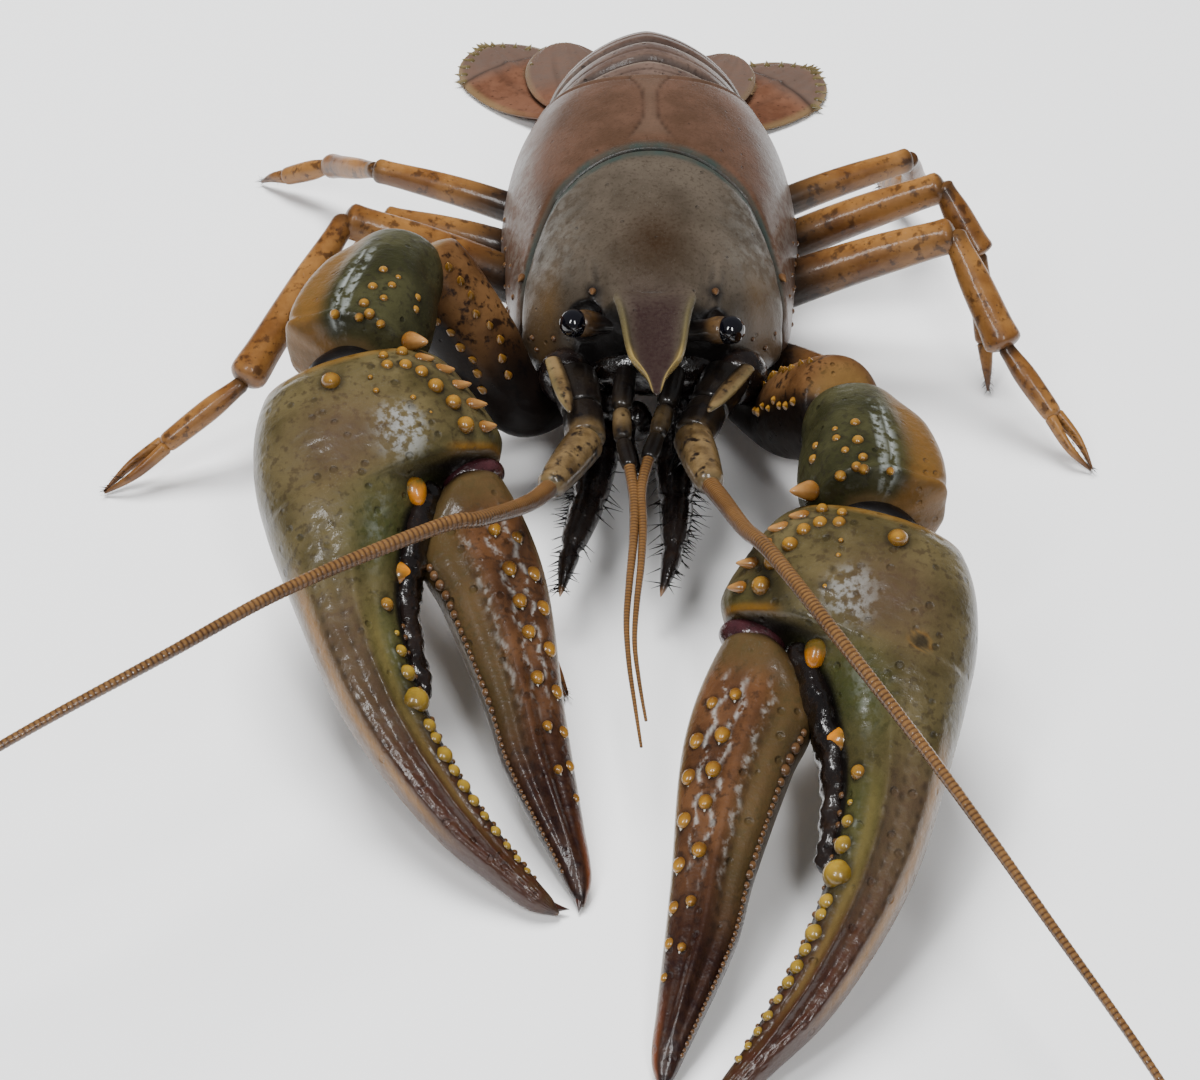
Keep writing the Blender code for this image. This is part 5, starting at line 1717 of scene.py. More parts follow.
    def paints(self, blade: Blade) -> Paints:
        """A blade's painted values.

        Args:
            blade: the blade.

        Returns:
            The paints.
        """
        def rim(co: Array, u: Array, v: Array) -> Array:
            """Pale free edge."""
            share = crowd(u)
            edge = ease(0.8, 0.97, np.abs(np.sin(TURN * v)))
            most = 0.55 if blade.outer else 0.3
            return most * np.maximum(edge * ease(0.1, 0.5, share), ease(0.95, 1.0, share))

        def mauve(co: Array, u: Array, v: Array) -> Array:
            """Mauve beyond the fold, or over most of an inner blade."""
            if blade.outer:
                return 0.9 * ease(blade.hinge - 0.12, blade.hinge + 0.02, crowd(u))
            return 0.9 * ease(0.3, 0.6, crowd(u))

        def shade(co: Array, u: Array, v: Array) -> Array:
            """Dark fold, lines beside the rib, and root."""
            share = crowd(u)
            across = np.sin(TURN * v)
            band = 0.65 * bump(share, blade.fold(across), 0.02) * (blade.hinge < self.FOLDED)
            lines = 0.25 * bump(np.abs(across), 0.24, 0.06) * ease(0.95, 0.6, share)
            return highest(band, lines, 0.8 * ease(0.16, 0.05, share))

        return {"rim": rim, "mauve": mauve, "shade": shade}

    def build(self) -> None:
        """Build the blades, their spines and their fringe."""
        hairs = []
        thorns = []
        for blade in self.blades:
            self.shop.finish(f"{blade.node}_blade", self.turned(self.blade_skin(blade)), self.finishes.fan,
                             "fan_shell", [blade.node], self.paints(blade))
            hairs += self.edge_hairs(blade)
            thorns += self.spines(blade)
        self.shop.finish("fan_fringe", self.turned(bristles(hairs)), self.finishes.fringe, "fan_shell")
        spines = self.turned(bead_skin(thorns, 2))
        for vert in spines.verts:
            vert.co.z = max(vert.co.z, 0.02)
        self.shop.finish("fan_spines", spines, self.finishes.straw_grain, "fan_shell")


# Big claws and their arms.
@dataclass(frozen=True)
class ClawPose:
    """Where one big claw and its arm are."""

    key: str
    shoulder: Vector
    bend: Vector
    elbow: Vector
    wrist: Vector
    tip: Vector
    scale: float
    gape: float


POSES = (
    ClawPose("r", Vector((-7.8, -14.0, 6.8)), Vector((-11.8, -17.8, 8.0)), Vector((-21.8, -12.3, 20.6)),
             Vector((-25.5, -28.5, 20.0)), Vector((-6.9, -72.0, 0.1)), 1.0, 0.0),
    ClawPose("l", Vector((7.8, -14.0, 6.8)), Vector((11.2, -19.8, 8.0)), Vector((16.2, -30.4, 17.2)),
             Vector((16.8, -45.3, 17.0)), Vector((0.9, -88.4, 0.5)), 0.97, 2.2),
)


@dataclass(frozen=True)
class ClawSizes:
    """Outline and thickness of a claw in its own frame: s along it, t across it."""

    length: float = 50.6
    hinge: float = 13.0
    power: float = 0.92
    outer: Table = table((0.15, 6.2), (1.6, 8.1), (5.7, 10.3), (11.3, 11.5), (22.3, 11.5), (29.4, 11.0),
                         (36.2, 9.4), (42.2, 7.2), (46.3, 4.8), (49.4, 2.8), (50.6, 1.3))
    palm_inner: Table = table((0.15, -5.4), (2.1, -7.2), (6.2, -8.6), (10.6, -9.5), (12.9, -8.4))
    crotch: Table = table((13.0, -2.9), (16.0, -0.2), (19.5, 2.0), (24.2, 3.9), (31.5, 4.6), (38.0, 4.0),
                          (45.6, 2.1), (50.6, 0.3))
    thick: Table = table((0.15, 6.5), (2.6, 9.8), (8.0, 12.0), (14.0, 11.0), (20.0, 8.6), (30.0, 6.6),
                         (40.0, 4.8), (48.0, 2.8), (50.6, 1.4))
    free: Table = table((12.0, -7.2), (13.4, -8.0), (19.5, -8.7), (25.2, -8.2), (34.9, -5.8), (44.9, -3.6),
                        (48.5, -2.8), (50.5, -1.7))
    bite: Table = table((12.0, -4.0), (13.4, -3.2), (16.0, -0.9), (19.5, 0.8), (23.5, 0.4), (32.9, 0.2),
                        (38.2, 0.5), (46.5, -0.4), (50.5, -0.9))
    finger_thick: Table = table((12.0, 5.0), (13.4, 5.6), (18.0, 6.4), (26.0, 6.0), (36.0, 4.6), (46.0, 3.0),
                                (50.5, 1.0))


class Claw(Part):
    """One big claw: palm with its fixed finger, and the movable finger."""

    KNOBS = ((3.8, -0.26, 0.56), (4.1, -0.43, 0.62), (5.0, -0.54, 0.62), (6.6, -0.59, 0.68),
             (8.4, -0.65, 0.72), (10.6, -0.66, 0.78), (2.6, -0.28, 0.45), (2.4, -0.5, 0.5))
    INNER_SPINES = ((3.3, -0.64, 1.2), (4.6, -0.76, 1.3), (6.3, -0.81, 1.35), (8.3, -0.83, 1.35),
                    (10.6, -0.83, 1.1))
    FLECKS = {"r": ((4.7, -0.06), (6.2, -0.06), (7.6, -0.33), (9.3, -0.4)),
              "l": ((5.6, -0.18), (7.1, -0.15), (8.6, -0.15), (10.1, -0.16))}
    TEETH = ((25.9, 0.26), (27.4, 0.5), (29.3, 0.72), (31.6, 1.08), (33.9, 0.6), (35.0, 0.52), (36.5, 0.68),
             (37.9, 0.52), (39.3, 0.6), (40.6, 0.54), (42.0, 0.4), (43.4, 0.44), (44.7, 0.38), (45.9, 0.34),
             (47.0, 0.3))
    WEB = ((13.6, -2.6, 0.6), (16.5, -0.3, 0.9), (19.5, 1.5, 0.7), (22.5, 3.0, 0.4), (26.0, 3.9, 0.2),
           (31.0, 4.5, 0.1))
    PITTED = (12.3, 0.6)
    STUDS = ((19.6, -0.28, 0.5), (23.2, -0.26, 0.62), (26.1, -0.28, 0.6), (28.8, -0.32, 0.58),
             (32.6, -0.31, 0.54), (36.6, -0.34, 0.42), (40.2, -0.36, 0.34), (20.6, -0.62, 0.5),
             (23.9, -0.7, 0.66), (26.9, -0.74, 0.66), (30.4, -0.74, 0.62), (33.9, -0.77, 0.6),
             (37.2, -0.79, 0.5), (40.0, -0.79, 0.44), (42.6, -0.79, 0.36))

    def __init__(self, shop: Workshop, finishes: Finishes, pose: ClawPose,
                 sizes: ClawSizes = ClawSizes()) -> None:
        """Take the sizes and the pose.

        Args:
            shop: where pieces are finished.
            finishes: the animal's finishes.
            pose: where the claw is.
            sizes: its sizes.
        """
        super().__init__(shop, finishes)
        self.pose = pose
        self.sizes = sizes
        self.scatter = random.Random(31 if pose.key == "r" else 47)
        self.along = (pose.tip - pose.wrist).normalized()
        across = self.along.cross(UP).normalized()
        self.across = across if across.x * SIDES[pose.key] > 0 else -across
        up = self.across.cross(self.along)
        self.up = up if up.z > 0 else -up

    def place(self, s: Array, t: Array, n: Array) -> Array:
        """Turn claw places into the animal's frame.

        Args:
            s: place along the claw.
            t: place across it, outwards.
            n: height over its middle plane.

        Returns:
            The places.
        """
        scale = self.pose.scale
        return (np.array(self.pose.wrist) + np.multiply.outer(s * scale, np.array(self.along))
                + np.multiply.outer(t * scale, np.array(self.across))
                + np.multiply.outer(n * scale, np.array(self.up)))

    def point(self, s: float, t: float, n: float) -> Vector:
        """One claw place, s along it, t across it and n over its middle, in the animal's frame."""
        return Vector(self.place(np.array(s), np.array(t), np.array(n)))

    def own(self, co: Array) -> tuple[Array, Array, Array]:
        """Turn places in the animal's frame back into claw places.

        Args:
            co: the places.

        Returns:
            s, t and n.
        """
        away = (co - np.array(self.pose.wrist)) / self.pose.scale
        return away @ np.array(self.along), away @ np.array(self.across), away @ np.array(self.up)

    def read(self, co: Array, v: Array) -> tuple[Array, Array]:
        """Where painted places are on the claw.

        Args:
            co: the places.
            v: their share of the way round it.

        Returns:
            Place along the claw, and across it from -1 to 1.
        """
        return self.own(co)[0], np.sin(TURN * v)

    def pit_gap(self, co: Array) -> Array:
        """How far places are from the pit in the left palm.

        Args:
            co: the places.

        Returns:
            The distances, endless on the right palm, which has no pit.
        """
        if self.pose.key == "r":
            return np.full(len(co), np.inf)
        return np.linalg.norm(co - np.array(self.spot(*self.PITTED)[0]), axis=1)

    def spread(self, s: Array) -> Array:
        """How much wider the fixed finger stands in a claw that gapes more.

        Args:
            s: place along the claw.

        Returns:
            The shift outwards.
        """
        return self.pose.gape * np.maximum(0.0, s - self.sizes.hinge) / self.sizes.length

    def edges(self, s: Array, finger: bool) -> tuple[Array, Array, Array]:
        """Outer edge, inner edge and thickness.

        Args:
            s: place along the claw.
            finger: whether the movable finger is meant.

        Returns:
            The three sizes.
        """
        sizes = self.sizes
        if finger:
            return sizes.bite.at(s), sizes.free.at(s), sizes.finger_thick.at(s)
        spread = self.spread(s)
        blend = ease(sizes.hinge - 0.5, sizes.hinge + 0.5, s)
        inner = sizes.palm_inner.at(s) * (1 - blend) + sizes.crotch.at(np.maximum(s, 13.0)) * blend
        return sizes.outer.at(s) + spread, inner + spread, sizes.thick.at(s)

    def spot(self, s: float, share: float, finger: bool = False) -> tuple[Vector, Vector]:
        """Point and outward direction on the upper face.

        Args:
            s: place along the claw.
            share: place across, from -1 at the inner edge to 1 at the outer one.
            finger: whether the movable finger is meant.

        Returns:
            Both.
        """
        outer, inner, thick = (float(value) for value in self.edges(np.array(s), finger))
        half = (outer - inner) / 2
        power = self.sizes.power
        rise = (1.0 - abs(share) ** (2.0 / power)) ** (power / 2.0)
        point = self.point(s, (outer + inner) / 2 + half * share, thick / 2 * rise)
        normal = self.across * (share / half) + self.up * (2.0 * rise / thick)
        return point, normal.normalized()

    def skin(self, finger: bool, along: int, around: int) -> bmesh.types.BMesh:
        """The skin of the palm or of the movable finger.

        Args:
            finger: whether the movable finger is meant.
            along: faces along it.
            around: faces round it.

        Returns:
            The skin.
        """
        sizes = self.sizes
        first, last = (12.6, 50.7) if finger else (0.1, 50.7)

        def warp(u: Array, v: Array) -> Array:
            """Places of the skin, none of them below the floor."""
            s = first + (last - first) * (0.35 * crowd(u) + 0.65 * u)
            outer, inner, thick = self.edges(s, finger)
            middle = (outer + inner) / 2
            half = (outer - inner) / 2
            side, rise = superellipse(TURN * v, sizes.power)
            start = np.sqrt(1 - (1 - np.clip((s - first) / (2.2 if finger else 1.4), 0, 1)) ** 2)
            end = np.sqrt(1 - (1 - np.clip((last - s) / 1.6, 0, 1)) ** 2)
            girth = start * end
            lift = self.finger_relief(s, side, rise) if finger else self.palm_relief(s, side, rise)
            t = middle + half * side * girth
            n = (thick / 2 * rise + lift * np.sign(rise) * np.abs(rise) ** 0.5) * girth
            places = self.place(s, t, n)
            places[:, 2] = np.maximum(places[:, 2], 0.0)
            return places
        return rolled_skin(along, around, warp)

    def palm_relief(self, s: Array, side: Array, rise: Array) -> Array:
        """Ridges and hollows of the palm and the fixed finger.

        Args:
            s: place along the claw.
            side: place across, -1 to 1.
            rise: 1 on top, -1 below.

        Returns:
            Height over the plain form.
        """
        finger = ease(14.0, 21.0, s) * ease(48.0, 42.0, s)
        ridges = 0.36 * bump(side, 0.03, 0.1) - 0.26 * bump(side, 0.34, 0.16) - 0.3 * bump(side, -0.3, 0.14)
        rim = 0.2 * bump(side, 0.78, 0.1)
        hollow = -0.6 * bump(side, -0.72, 0.22) * bump(s, 12.0, 3.5)
        wave = 0.16 * np.sin(s * 0.9 + side * 3.0) * ease(2.0, 6.0, s) * ease(18.0, 12.0, s)
        wrist = -0.5 * bump(s, 1.6, 1.0)
        pits = -0.1 * np.maximum(0.0, np.sin(s * 3.7 + side * 9.0) * np.sin(s * 2.3 - side * 13.0)) ** 2
        return (ridges + rim) * finger + (hollow + wave + wrist + pits) * (rise > 0)

    def finger_relief(self, s: Array, side: Array, rise: Array) -> Array:
        """Ridges of the movable finger.

        Args:
            s: place along the claw.
            side: place across, -1 to 1.
            rise: 1 on top, -1 below.

        Returns:
            Height over the plain form.
        """
        reach = ease(15.0, 20.0, s) * ease(48.5, 42.0, s)
        ridges = 0.38 * bump(side, 0.12, 0.15) - 0.26 * bump(side, 0.5, 0.13) - 0.22 * bump(side, -0.22, 0.12)
        knuckle = 0.5 * bump(s, 15.2, 1.6) * bump(side, 0.55, 0.4)
        knuckle = knuckle - 0.45 * bump(s, 18.0, 1.4) * bump(side, 0.5, 0.5)
        return ridges * reach + knuckle * (rise > 0)

    def palm_beads(self) -> dict[str, list[Bead]]:
        """Beads, knobs and spines of the palm and the fixed finger.

        Returns:
            Lists of beads by their finish.
        """
        vary = self.scatter.uniform
        beads = []
        for s, share, radius in self.KNOBS:
            place, normal = self.spot(s, share)
            beads.append(Bead(place, normal, radius * vary(0.94, 1.06), sink=0.3))
        for s, share in self.FLECKS[self.pose.key]:
            place, normal = self.spot(s, share)
            beads.append(Bead(place, normal, 0.26 * vary(0.8, 1.2), sink=0.5))
        almond = []
        for s, share, length in self.INNER_SPINES:
            place, normal = self.spot(s, share)
            pull = normal * 0.15 - self.across + self.along * vary(0.2, 0.4)
            almond.append(Bead(place, normal, 0.56 * vary(0.92, 1.06), pull, length, 0.4, 0.35))
        amber = []
        place, normal = self.spot(4.0, 0.3)
        beads.append(Bead(place, normal, 0.85, self.along * 0.35 + normal, 0.95, 0.25, 0.3))
        place, normal = self.spot(14.3, -0.83)
        amber.append(Bead(place, normal, 1.0, self.along, 1.55, 0.35, 0.1))
        place, normal = self.spot(20.6, -0.93)
        amber.append(Bead(place, normal, 1.1, normal + self.along * 0.4, 1.2, 0.25, 0.3))
        place, normal = self.spot(23.5, -0.62)
        beads.append(Bead(place, normal, 0.62, sink=0.35))
        teeth = []
        grains = []
        for s, radius in self.TEETH:
            place, normal = self.spot(s, -0.72)
            teeth.append(Bead(place, normal, radius * vary(1.02, 1.14), sink=0.3))
        s = 25.0
        while s < 48.0:
            place, normal = self.spot(s, -0.93)
            grains.append(Bead(place, normal, vary(0.18, 0.3)))
            s += vary(0.8, 1.5)
        inner = float(self.edges(np.array(50.0), False)[1])
        hook = self.point(49.9, inner + 0.6, 0.0)
        horn = [Bead(hook, -self.across, 0.52, self.along * 0.42 - self.across * 0.92, 1.5, 0.0)]
        return {"bead": beads, "amber": amber, "almond": almond, "tooth": teeth, "rust": grains, "horn": horn}

    def finger_beads(self) -> dict[str, list[Bead]]:
        """Beads with their painted glints, teeth and the hooked tip of the movable finger.

        Returns:
            Lists of beads by their finish.
        """
        vary = self.scatter.uniform
        beads = []
        painted_glints = []
        for s, share, radius in self.STUDS:
            place, normal = self.spot(s, share, True)
            pull = normal * 0.6 + self.along
            beads.append(Bead(place, normal, radius * vary(1.0, 1.14), pull, radius * 1.25, 0.35, 0.2))
            # A small pale bead in front of each stud is a painted glint.
            front = place + self.along * (radius * 1.25) - self.across * (radius * vary(-0.5, 0.2))
            painted_glints.append(Bead(front, normal, 0.11 * vary(0.7, 1.2), self.along, 0.16, 0.6))
        teeth = []
        s = 20.6
        while s < 48.0:
            radius = (0.3 + 0.22 * math.exp(-((s - 23.0) / 2.2) ** 2)
                      + 0.16 * math.exp(-((s - 32.4) / 1.6) ** 2)) * vary(0.85, 1.1) * (1.25 - s / 90.0)
            place, normal = self.spot(s, 0.93, True)
            out = (normal + self.across * 0.8).normalized()
            teeth.append(Bead(place, out, radius, sink=0.3))
            s += radius * 2.1
        outer = float(self.edges(np.array(49.8), True)[0])
        hook = self.point(49.8, outer - 0.55, 0.0)
        horn = [Bead(hook, self.along, 0.5, self.along * 0.85 + self.across * 0.42, 1.35, 0.0)]
        return {"stud": beads, "glint": painted_glints, "rust": teeth, "horn": horn}

    def finish_beads(self, part: str, groups: dict[str, list[Bead]], slot: str) -> None:
        """Finish the beads, one piece for each finish.

        Args:
            part: the part's name.
            groups: lists of beads by their finish.
            slot: the record's slot.
        """
        for kind, beads in groups.items():
            self.shop.finish(f"{part}_{kind}s_{self.pose.key}", bead_skin(beads),
                             getattr(self.finishes, kind), slot)

    def tuft(self) -> list[Hair]:
        """The dark tuft in the angle between the fingers.

        Returns:
            The hairs.
        """
        vary = self.scatter.uniform
        hairs = []
        for _ in range(420):
            s = vary(15.0, 27.0)
            _, inner, thick = (float(value) for value in self.edges(np.array(s), False))
            root = self.point(s, inner + 0.15, vary(-0.42, 0.12) * thick)
            way = -self.across + self.along * vary(0.0, 0.9) + self.up * vary(-0.5, 0.2)
            hairs.append(Hair(root, way, vary(0.8, 1.8) * (1.0 if s < 22 else 0.7), 0.09))
        return hairs

    def palm_paints(self, beads: list[Bead]) -> Paints:
        """Painted values of the palm and the fixed finger.

        Args:
            beads: all beads that stand in them.

        Returns:
            The paints.
        """
        def mauve(co: Array, u: Array, v: Array) -> Array:
            """Mauve on the hand and the outer half of the finger."""
            s, side = self.read(co, v)
            hand = 0.85 * bump(s, 9.5, 4.0) * bump(side, 0.3, 0.4)
            face = 0.85 * ease(19.0, 25.0, s) * ease(-0.05, 0.12, side)
            return np.maximum(hand, face)

        def tip(co: Array, u: Array, v: Array) -> Array:
            """Dark red towards the tip."""
            return 0.92 * ease(27.0, 40.0, self.own(co)[0])

        def gold(co: Array, u: Array, v: Array) -> Array:
            """Gold along the outer edge, at the cuff, the joint and the pit, and below."""
            s, side = self.read(co, v)
            band = bump(side, 0.9, 0.08) * ease(17.0, 22.0, s) * ease(45.0, 38.0, s)
            lip = 0.85 * bump(s, 12.3, 0.35) * ease(-0.4, -0.65, side)
            under = ease(-0.25, -0.7, np.cos(TURN * v)) * 0.4
            cuff = 0.45 * ease(2.2, 1.2, s)
            pitted = 0.3 * bump(self.pit_gap(co), 0.8, 0.15)
            return highest(band, under, cuff, lip, pitted)

        def straw(co: Array, u: Array, v: Array) -> Array:
            """Straw along the finger's middle."""
            s, side = self.read(co, v)
            return 0.3 * bump(side, -0.2, 0.15) * ease(21.0, 27.0, s) * ease(45.0, 40.0, s)

        def green(co: Array, u: Array, v: Array) -> Array:
            """Green at the root of the finger and along its inner half."""
            s, side = self.read(co, v)
            base = 0.85 * bump(s, 17.5, 4.0) * ease(0.3, -0.3, side)
            halo = 0.8 * bump(s, 14.0, 2.6) * ease(-0.55, -0.8, side)
            strip = 0.7 * ease(0.05, -0.15, side) * ease(21.0, 25.0, s)
            return highest(base, halo, strip)

        def painted_sheen(co: Array, u: Array, v: Array) -> Array:
            """Painted highlights: a pale reflection on a wet spot of the hand, pale marks and a line."""
            s, t, n = self.own(co)
            side = np.sin(TURN * v)
            middle = -0.2 if self.pose.key == "r" else 1.6
            # Painted reflection on a wet spot of the hand.
            wet = 0.95 * np.exp(-(((s - 10.2) / 2.3) ** 2 + ((t - middle) / 2.1) ** 2) ** 2) * (n > 0)
            marks = 0.75 * bump(s, 17.5, 2.2) * bump(side, -0.35, 0.14)
            line = 0.8 * bump(side, -0.5 + 0.02 * np.sin(s * 1.7), 0.04) * ease(25.0, 28.0, s)
            return highest(wet, marks * (n > 0), line * ease(45.0, 41.0, s))

        def shade(co: Array, u: Array, v: Array) -> Array:
            """Dark joint, rows of dots, gape, pit and the surrounds of the beads."""
            s, _, n = self.own(co)
            side = np.sin(TURN * v)
            joint = bump(s, 13.0, 0.6) * ease(-0.45, -0.75, side) * (n > -3)
            dots = 0.55 * bump(side, 0.7, 0.05) * ease(18.0, 24.0, s) * ease(46.0, 40.0, s)
            dots = dots * (0.5 + 0.5 * np.sin(s * 5.2))
            inner = 0.5 * bump(side, 0.3, 0.05) * ease(18.0, 24.0, s)
            dots = dots + inner * (0.5 + 0.5 * np.sin(s * 4.6 + 1.0))
            groove = 0.45 * bump(side, 0.06, 0.04) * ease(22.0, 26.0, s) * (0.65 + 0.35 * np.sin(s * 4.4))
            gape = 0.97 * ease(-0.7, -0.85, side) * ease(14.6, 16.5, s) * ease(49.0, 46.0, s)
            hole = 0.7 * ease(0.75, 0.45, self.pit_gap(co))
            rings = 0.6 * ring_of_shade(co, beads, 1.6)
            return highest(joint, dots + groove, gape, hole, rings)

        return {"mauve": mauve, "green": green, "tip": tip, "gold": gold, "straw": straw, "painted_sheen": painted_sheen,
                "shade": shade}

    def finger_paints(self, beads: list[Bead]) -> Paints:
        """Painted values of the movable finger.

        Args:
            beads: all beads that stand in it.

        Returns:
            The paints.
        """
        def tip(co: Array, u: Array, v: Array) -> Array:
            """Black towards the tip."""
            return 0.95 * ease(29.0, 43.0, self.own(co)[0])

        def straw(co: Array, u: Array, v: Array) -> Array:
            """Straw on the free edge and below."""
            return 0.35 * ease(-0.8, -0.96, np.sin(TURN * v)) + 0.3 * ease(-0.1, -0.6, np.cos(TURN * v))

        def green(co: Array, u: Array, v: Array) -> Array:
            """Green at the root and along the biting edge."""
            s, side = self.read(co, v)
            bite = 0.8 * ease(0.1, 0.5, side) * ease(42.0, 34.0, s)
            return np.maximum(0.8 * ease(19.0, 15.5, s), bite)

        def painted_sheen(co: Array, u: Array, v: Array) -> Array:
            """Three pale wavy lines of painted highlight."""
            s, side = self.read(co, v)
            line = 0.0
            for middle, pace in ((-0.46, 2.3), (-0.12, 1.9), (0.3, 2.7)):
                line = np.maximum(line, bump(side, middle + 0.05 * np.sin(s * pace), 0.04))
            return 0.75 * line * ease(16.5, 20.0, s) * ease(38.0, 31.0, s)

        def ember(co: Array, u: Array, v: Array) -> Array:
            """A warm glow on the tip's free edge."""
            s, side = self.read(co, v)
            return 0.65 * ease(42.0, 49.0, s) * ease(-0.3, -0.7, side)

        def shade(co: Array, u: Array, v: Array) -> Array:
            """Dark rows of dots, root and the surrounds of the beads."""
            s, side = self.read(co, v)
            dots = bump(side, 0.36, 0.05) + bump(side, -0.08, 0.05)
            dots = 0.5 * dots * ease(18.0, 24.0, s) * ease(46.0, 40.0, s) * (0.5 + 0.5 * np.sin(s * 5.0))
            root = 0.9 * ease(14.6, 13.4, s)
            return highest(dots, root, 0.55 * ring_of_shade(co, beads, 1.6))

        return {"green": green, "tip": tip, "ember": ember, "straw": straw, "painted_sheen": painted_sheen, "shade": shade}

    def gape_shadow(self) -> bmesh.types.BMesh:
        """A dark, wrinkled tube in the angle between the fingers: painted shadow of the gape.

        Returns:
            The skin.
        """
        web = [self.point(s, t + float(self.spread(np.array(s))), n) for s, t, n in self.WEB]
        return tube_skin(Path(web, count=120), table((0.0, 2.0), (0.3, 2.1), (0.6, 1.5), (1.0, 0.8)),
                         table((0.0, 1.2), (0.3, 1.25), (0.6, 1.1), (1.0, 0.9)), 60, 24, 0.06, 1.0,
                         lambda share, turn: 0.18 * np.sin(share * 61.0) * np.sin(turn * 3.0 + share * 23.0))

    def build(self) -> None:
        """Build both fingers with all that grows on them."""
        key = self.pose.key
        shop = self.shop
        finishes = self.finishes
        palm = self.palm_beads()
        finger = self.finger_beads()
        shop.finish(f"palm_{key}", self.skin(False, 210, 150), finishes.claw, "claw_shell",
                    [f"claw_palm_{key}"], self.palm_paints(sum(palm.values(), [])))
        shop.finish(f"finger_{key}", self.skin(True, 160, 110), finishes.finger, "finger_shell",
                    [f"claw_finger_{key}"], self.finger_paints(sum(finger.values(), [])))
        self.finish_beads("palm", palm, "claw_shell")
        self.finish_beads("finger", finger, "finger_shell")
        shop.finish(f"claw_tuft_{key}", bristles(self.tuft()), finishes.bristle, "claw_shell")
        # The dark tube in the gape is painted shadow.
        shop.finish(f"gape_skin_{key}", self.gape_shadow(), finishes.mouth, "claw_shell", paints={"tip": bare})
        turn = Matrix((self.along, self.across, self.up)).transposed()
        shop.finish(f"finger_joint_{key}", ball(self.point(13.4, -6.0, 0.3), (1.5, 2.7, 2.3), turn),
                    finishes.membrane, "finger_shell", paints={"shade": bare})


class ClawArm(Part):
    """The two articles that carry a big claw."""

    CARPUS_TALL = table((0.0, 2.6), (0.12, 3.7), (0.4, 4.9), (0.7, 5.3), (1.0, 4.9))
    CARPUS_WIDE = table((0.0, 2.6), (0.12, 4.0), (0.4, 5.6), (0.7, 6.3), (1.0, 5.9))
    CARPUS_KNOBS = ((0.58, 10.0, 0.42), (0.6, 22.0, 0.3), (0.68, 22.0, 0.4), (0.73, 8.0, 0.46),
                    (0.79, 20.0, 0.4), (0.85, 8.0, 0.46), (0.93, 13.0, 0.46), (0.62, 46.0, 0.42),
                    (0.7, 50.0, 0.44))
    CARPUS_GROOVES = (-8.0, -17.0)
    MERUS_TALL = table((0.0, 2.6), (0.3, 3.2), (0.55, 4.2), (0.85, 4.6), (1.0, 4.2))
    MERUS_WIDE = table((0.0, 2.4), (0.3, 2.8), (0.55, 3.4), (0.85, 3.9), (1.0, 3.6))

    def __init__(self, shop: Workshop, finishes: Finishes, pose: ClawPose, claw: Claw) -> None:
        """Take the pose.

        Args:
            shop: where pieces are finished.
            finishes: the animal's finishes.
            pose: where the arm is.
            claw: the claw that it carries.
        """
        super().__init__(shop, finishes)
        self.pose = pose
        self.claw = claw
        self.inward = 1.0 if pose.key == "l" else -1.0
        self.scatter = random.Random(61 if pose.key == "r" else 67)

    def carpus_relief(self, share: Array, turn: Array) -> Array:
        """The groove along the wrist article's top and its swollen front rim.

        Args:
            share: place along it.
            turn: angle from its top.

        Returns:
            Extra girth.
        """
        away = turn * self.inward
        lines = 0.0
        for degrees in self.CARPUS_GROOVES:
            near = np.cos(away - math.radians(degrees))
            line = 0.22 * np.exp(-((1.0 - near) / 0.0022)) * ease(0.35, 0.5, share)
            lines = lines - line * ease(0.95, 0.85, share)
        corner = 0.55 * np.exp(-((1.0 - np.cos(away + math.radians(62.0))) / 0.03))
        corner = corner - 0.35 * np.exp(-((1.0 - np.cos(away + math.radians(34.0))) / 0.05))
        corner = corner - 0.9 * ease(0.35, 0.95, np.sin(away))
        rim = 0.3 * bump(share, 0.95, 0.035) - 0.2 * bump(share, 0.87, 0.03)
        scallop = 0.12 * np.sin(turn * 14.0) * ease(0.9, 0.96, share)
        return lines + corner * ease(0.1, 0.4, share) + rim + scallop

    def carpus_beads(self, path: Path) -> list[Bead]:
        """Beads of the wrist article and its big inner spine.

        Args:
            path: the line through it.

        Returns:
            The beads.
        """
        vary = self.scatter.uniform
        beads = []

        def spot(share: float, degrees: float) -> tuple[Vector, Vector, Vector]:
            """Point, outward direction and direction along, on the article's skin."""
            turn = self.inward * math.radians(degrees)
            extra = float(self.carpus_relief(np.array(share), np.array(turn)))
            tall = float(self.CARPUS_TALL.at(share)) + extra
            wide = float(self.CARPUS_WIDE.at(share)) + extra
            return path.spot(share, turn, tall, wide)

        for share, degrees, radius in self.CARPUS_KNOBS:
            place, normal, _ = spot(share, degrees + vary(-2, 2))
            beads.append(Bead(place, normal, radius * vary(0.9, 1.1), sink=0.3))
        for degrees in (-12.0, 8.0, 26.0):
            place, normal, along = spot(0.965, degrees)
            beads.append(Bead(place, normal, 0.42 * vary(0.85, 1.15), normal * 0.5 + along, 0.6, 0.3, 0.4))
        return beads

    def build_wrist(self) -> list[Bead]:
        """Build the wrist article with its big inner spine.

        Returns:
            The beads that stand in it.
        """
        key = self.pose.key
        path = Path([self.pose.elbow, self.pose.wrist + self.claw.along * 0.25])
        beads = self.carpus_beads(path)
        skin = tube_skin(path, self.CARPUS_TALL, self.CARPUS_WIDE, 90, 110, 0.1, 0.96, self.carpus_relief)
        place, normal, along = path.spot(0.92, self.inward * math.radians(58.0),
                                         float(self.CARPUS_TALL.at(0.92)), float(self.CARPUS_WIDE.at(0.92)))
        pull = normal * 0.8 - self.claw.across * 0.5 + along * 0.75
        thorn = Bead(place, normal, 0.85, pull, 2.0, 0.3, 0.4)

        def rust(co: Array, u: Array, v: Array) -> Array:
            """Rust on the outer side and below."""
            turn = TURN * v * self.inward
            return ease(0.35, 0.7, -np.sin(turn)) * 0.85 + 0.4 * ease(-0.1, -0.6, np.cos(turn))

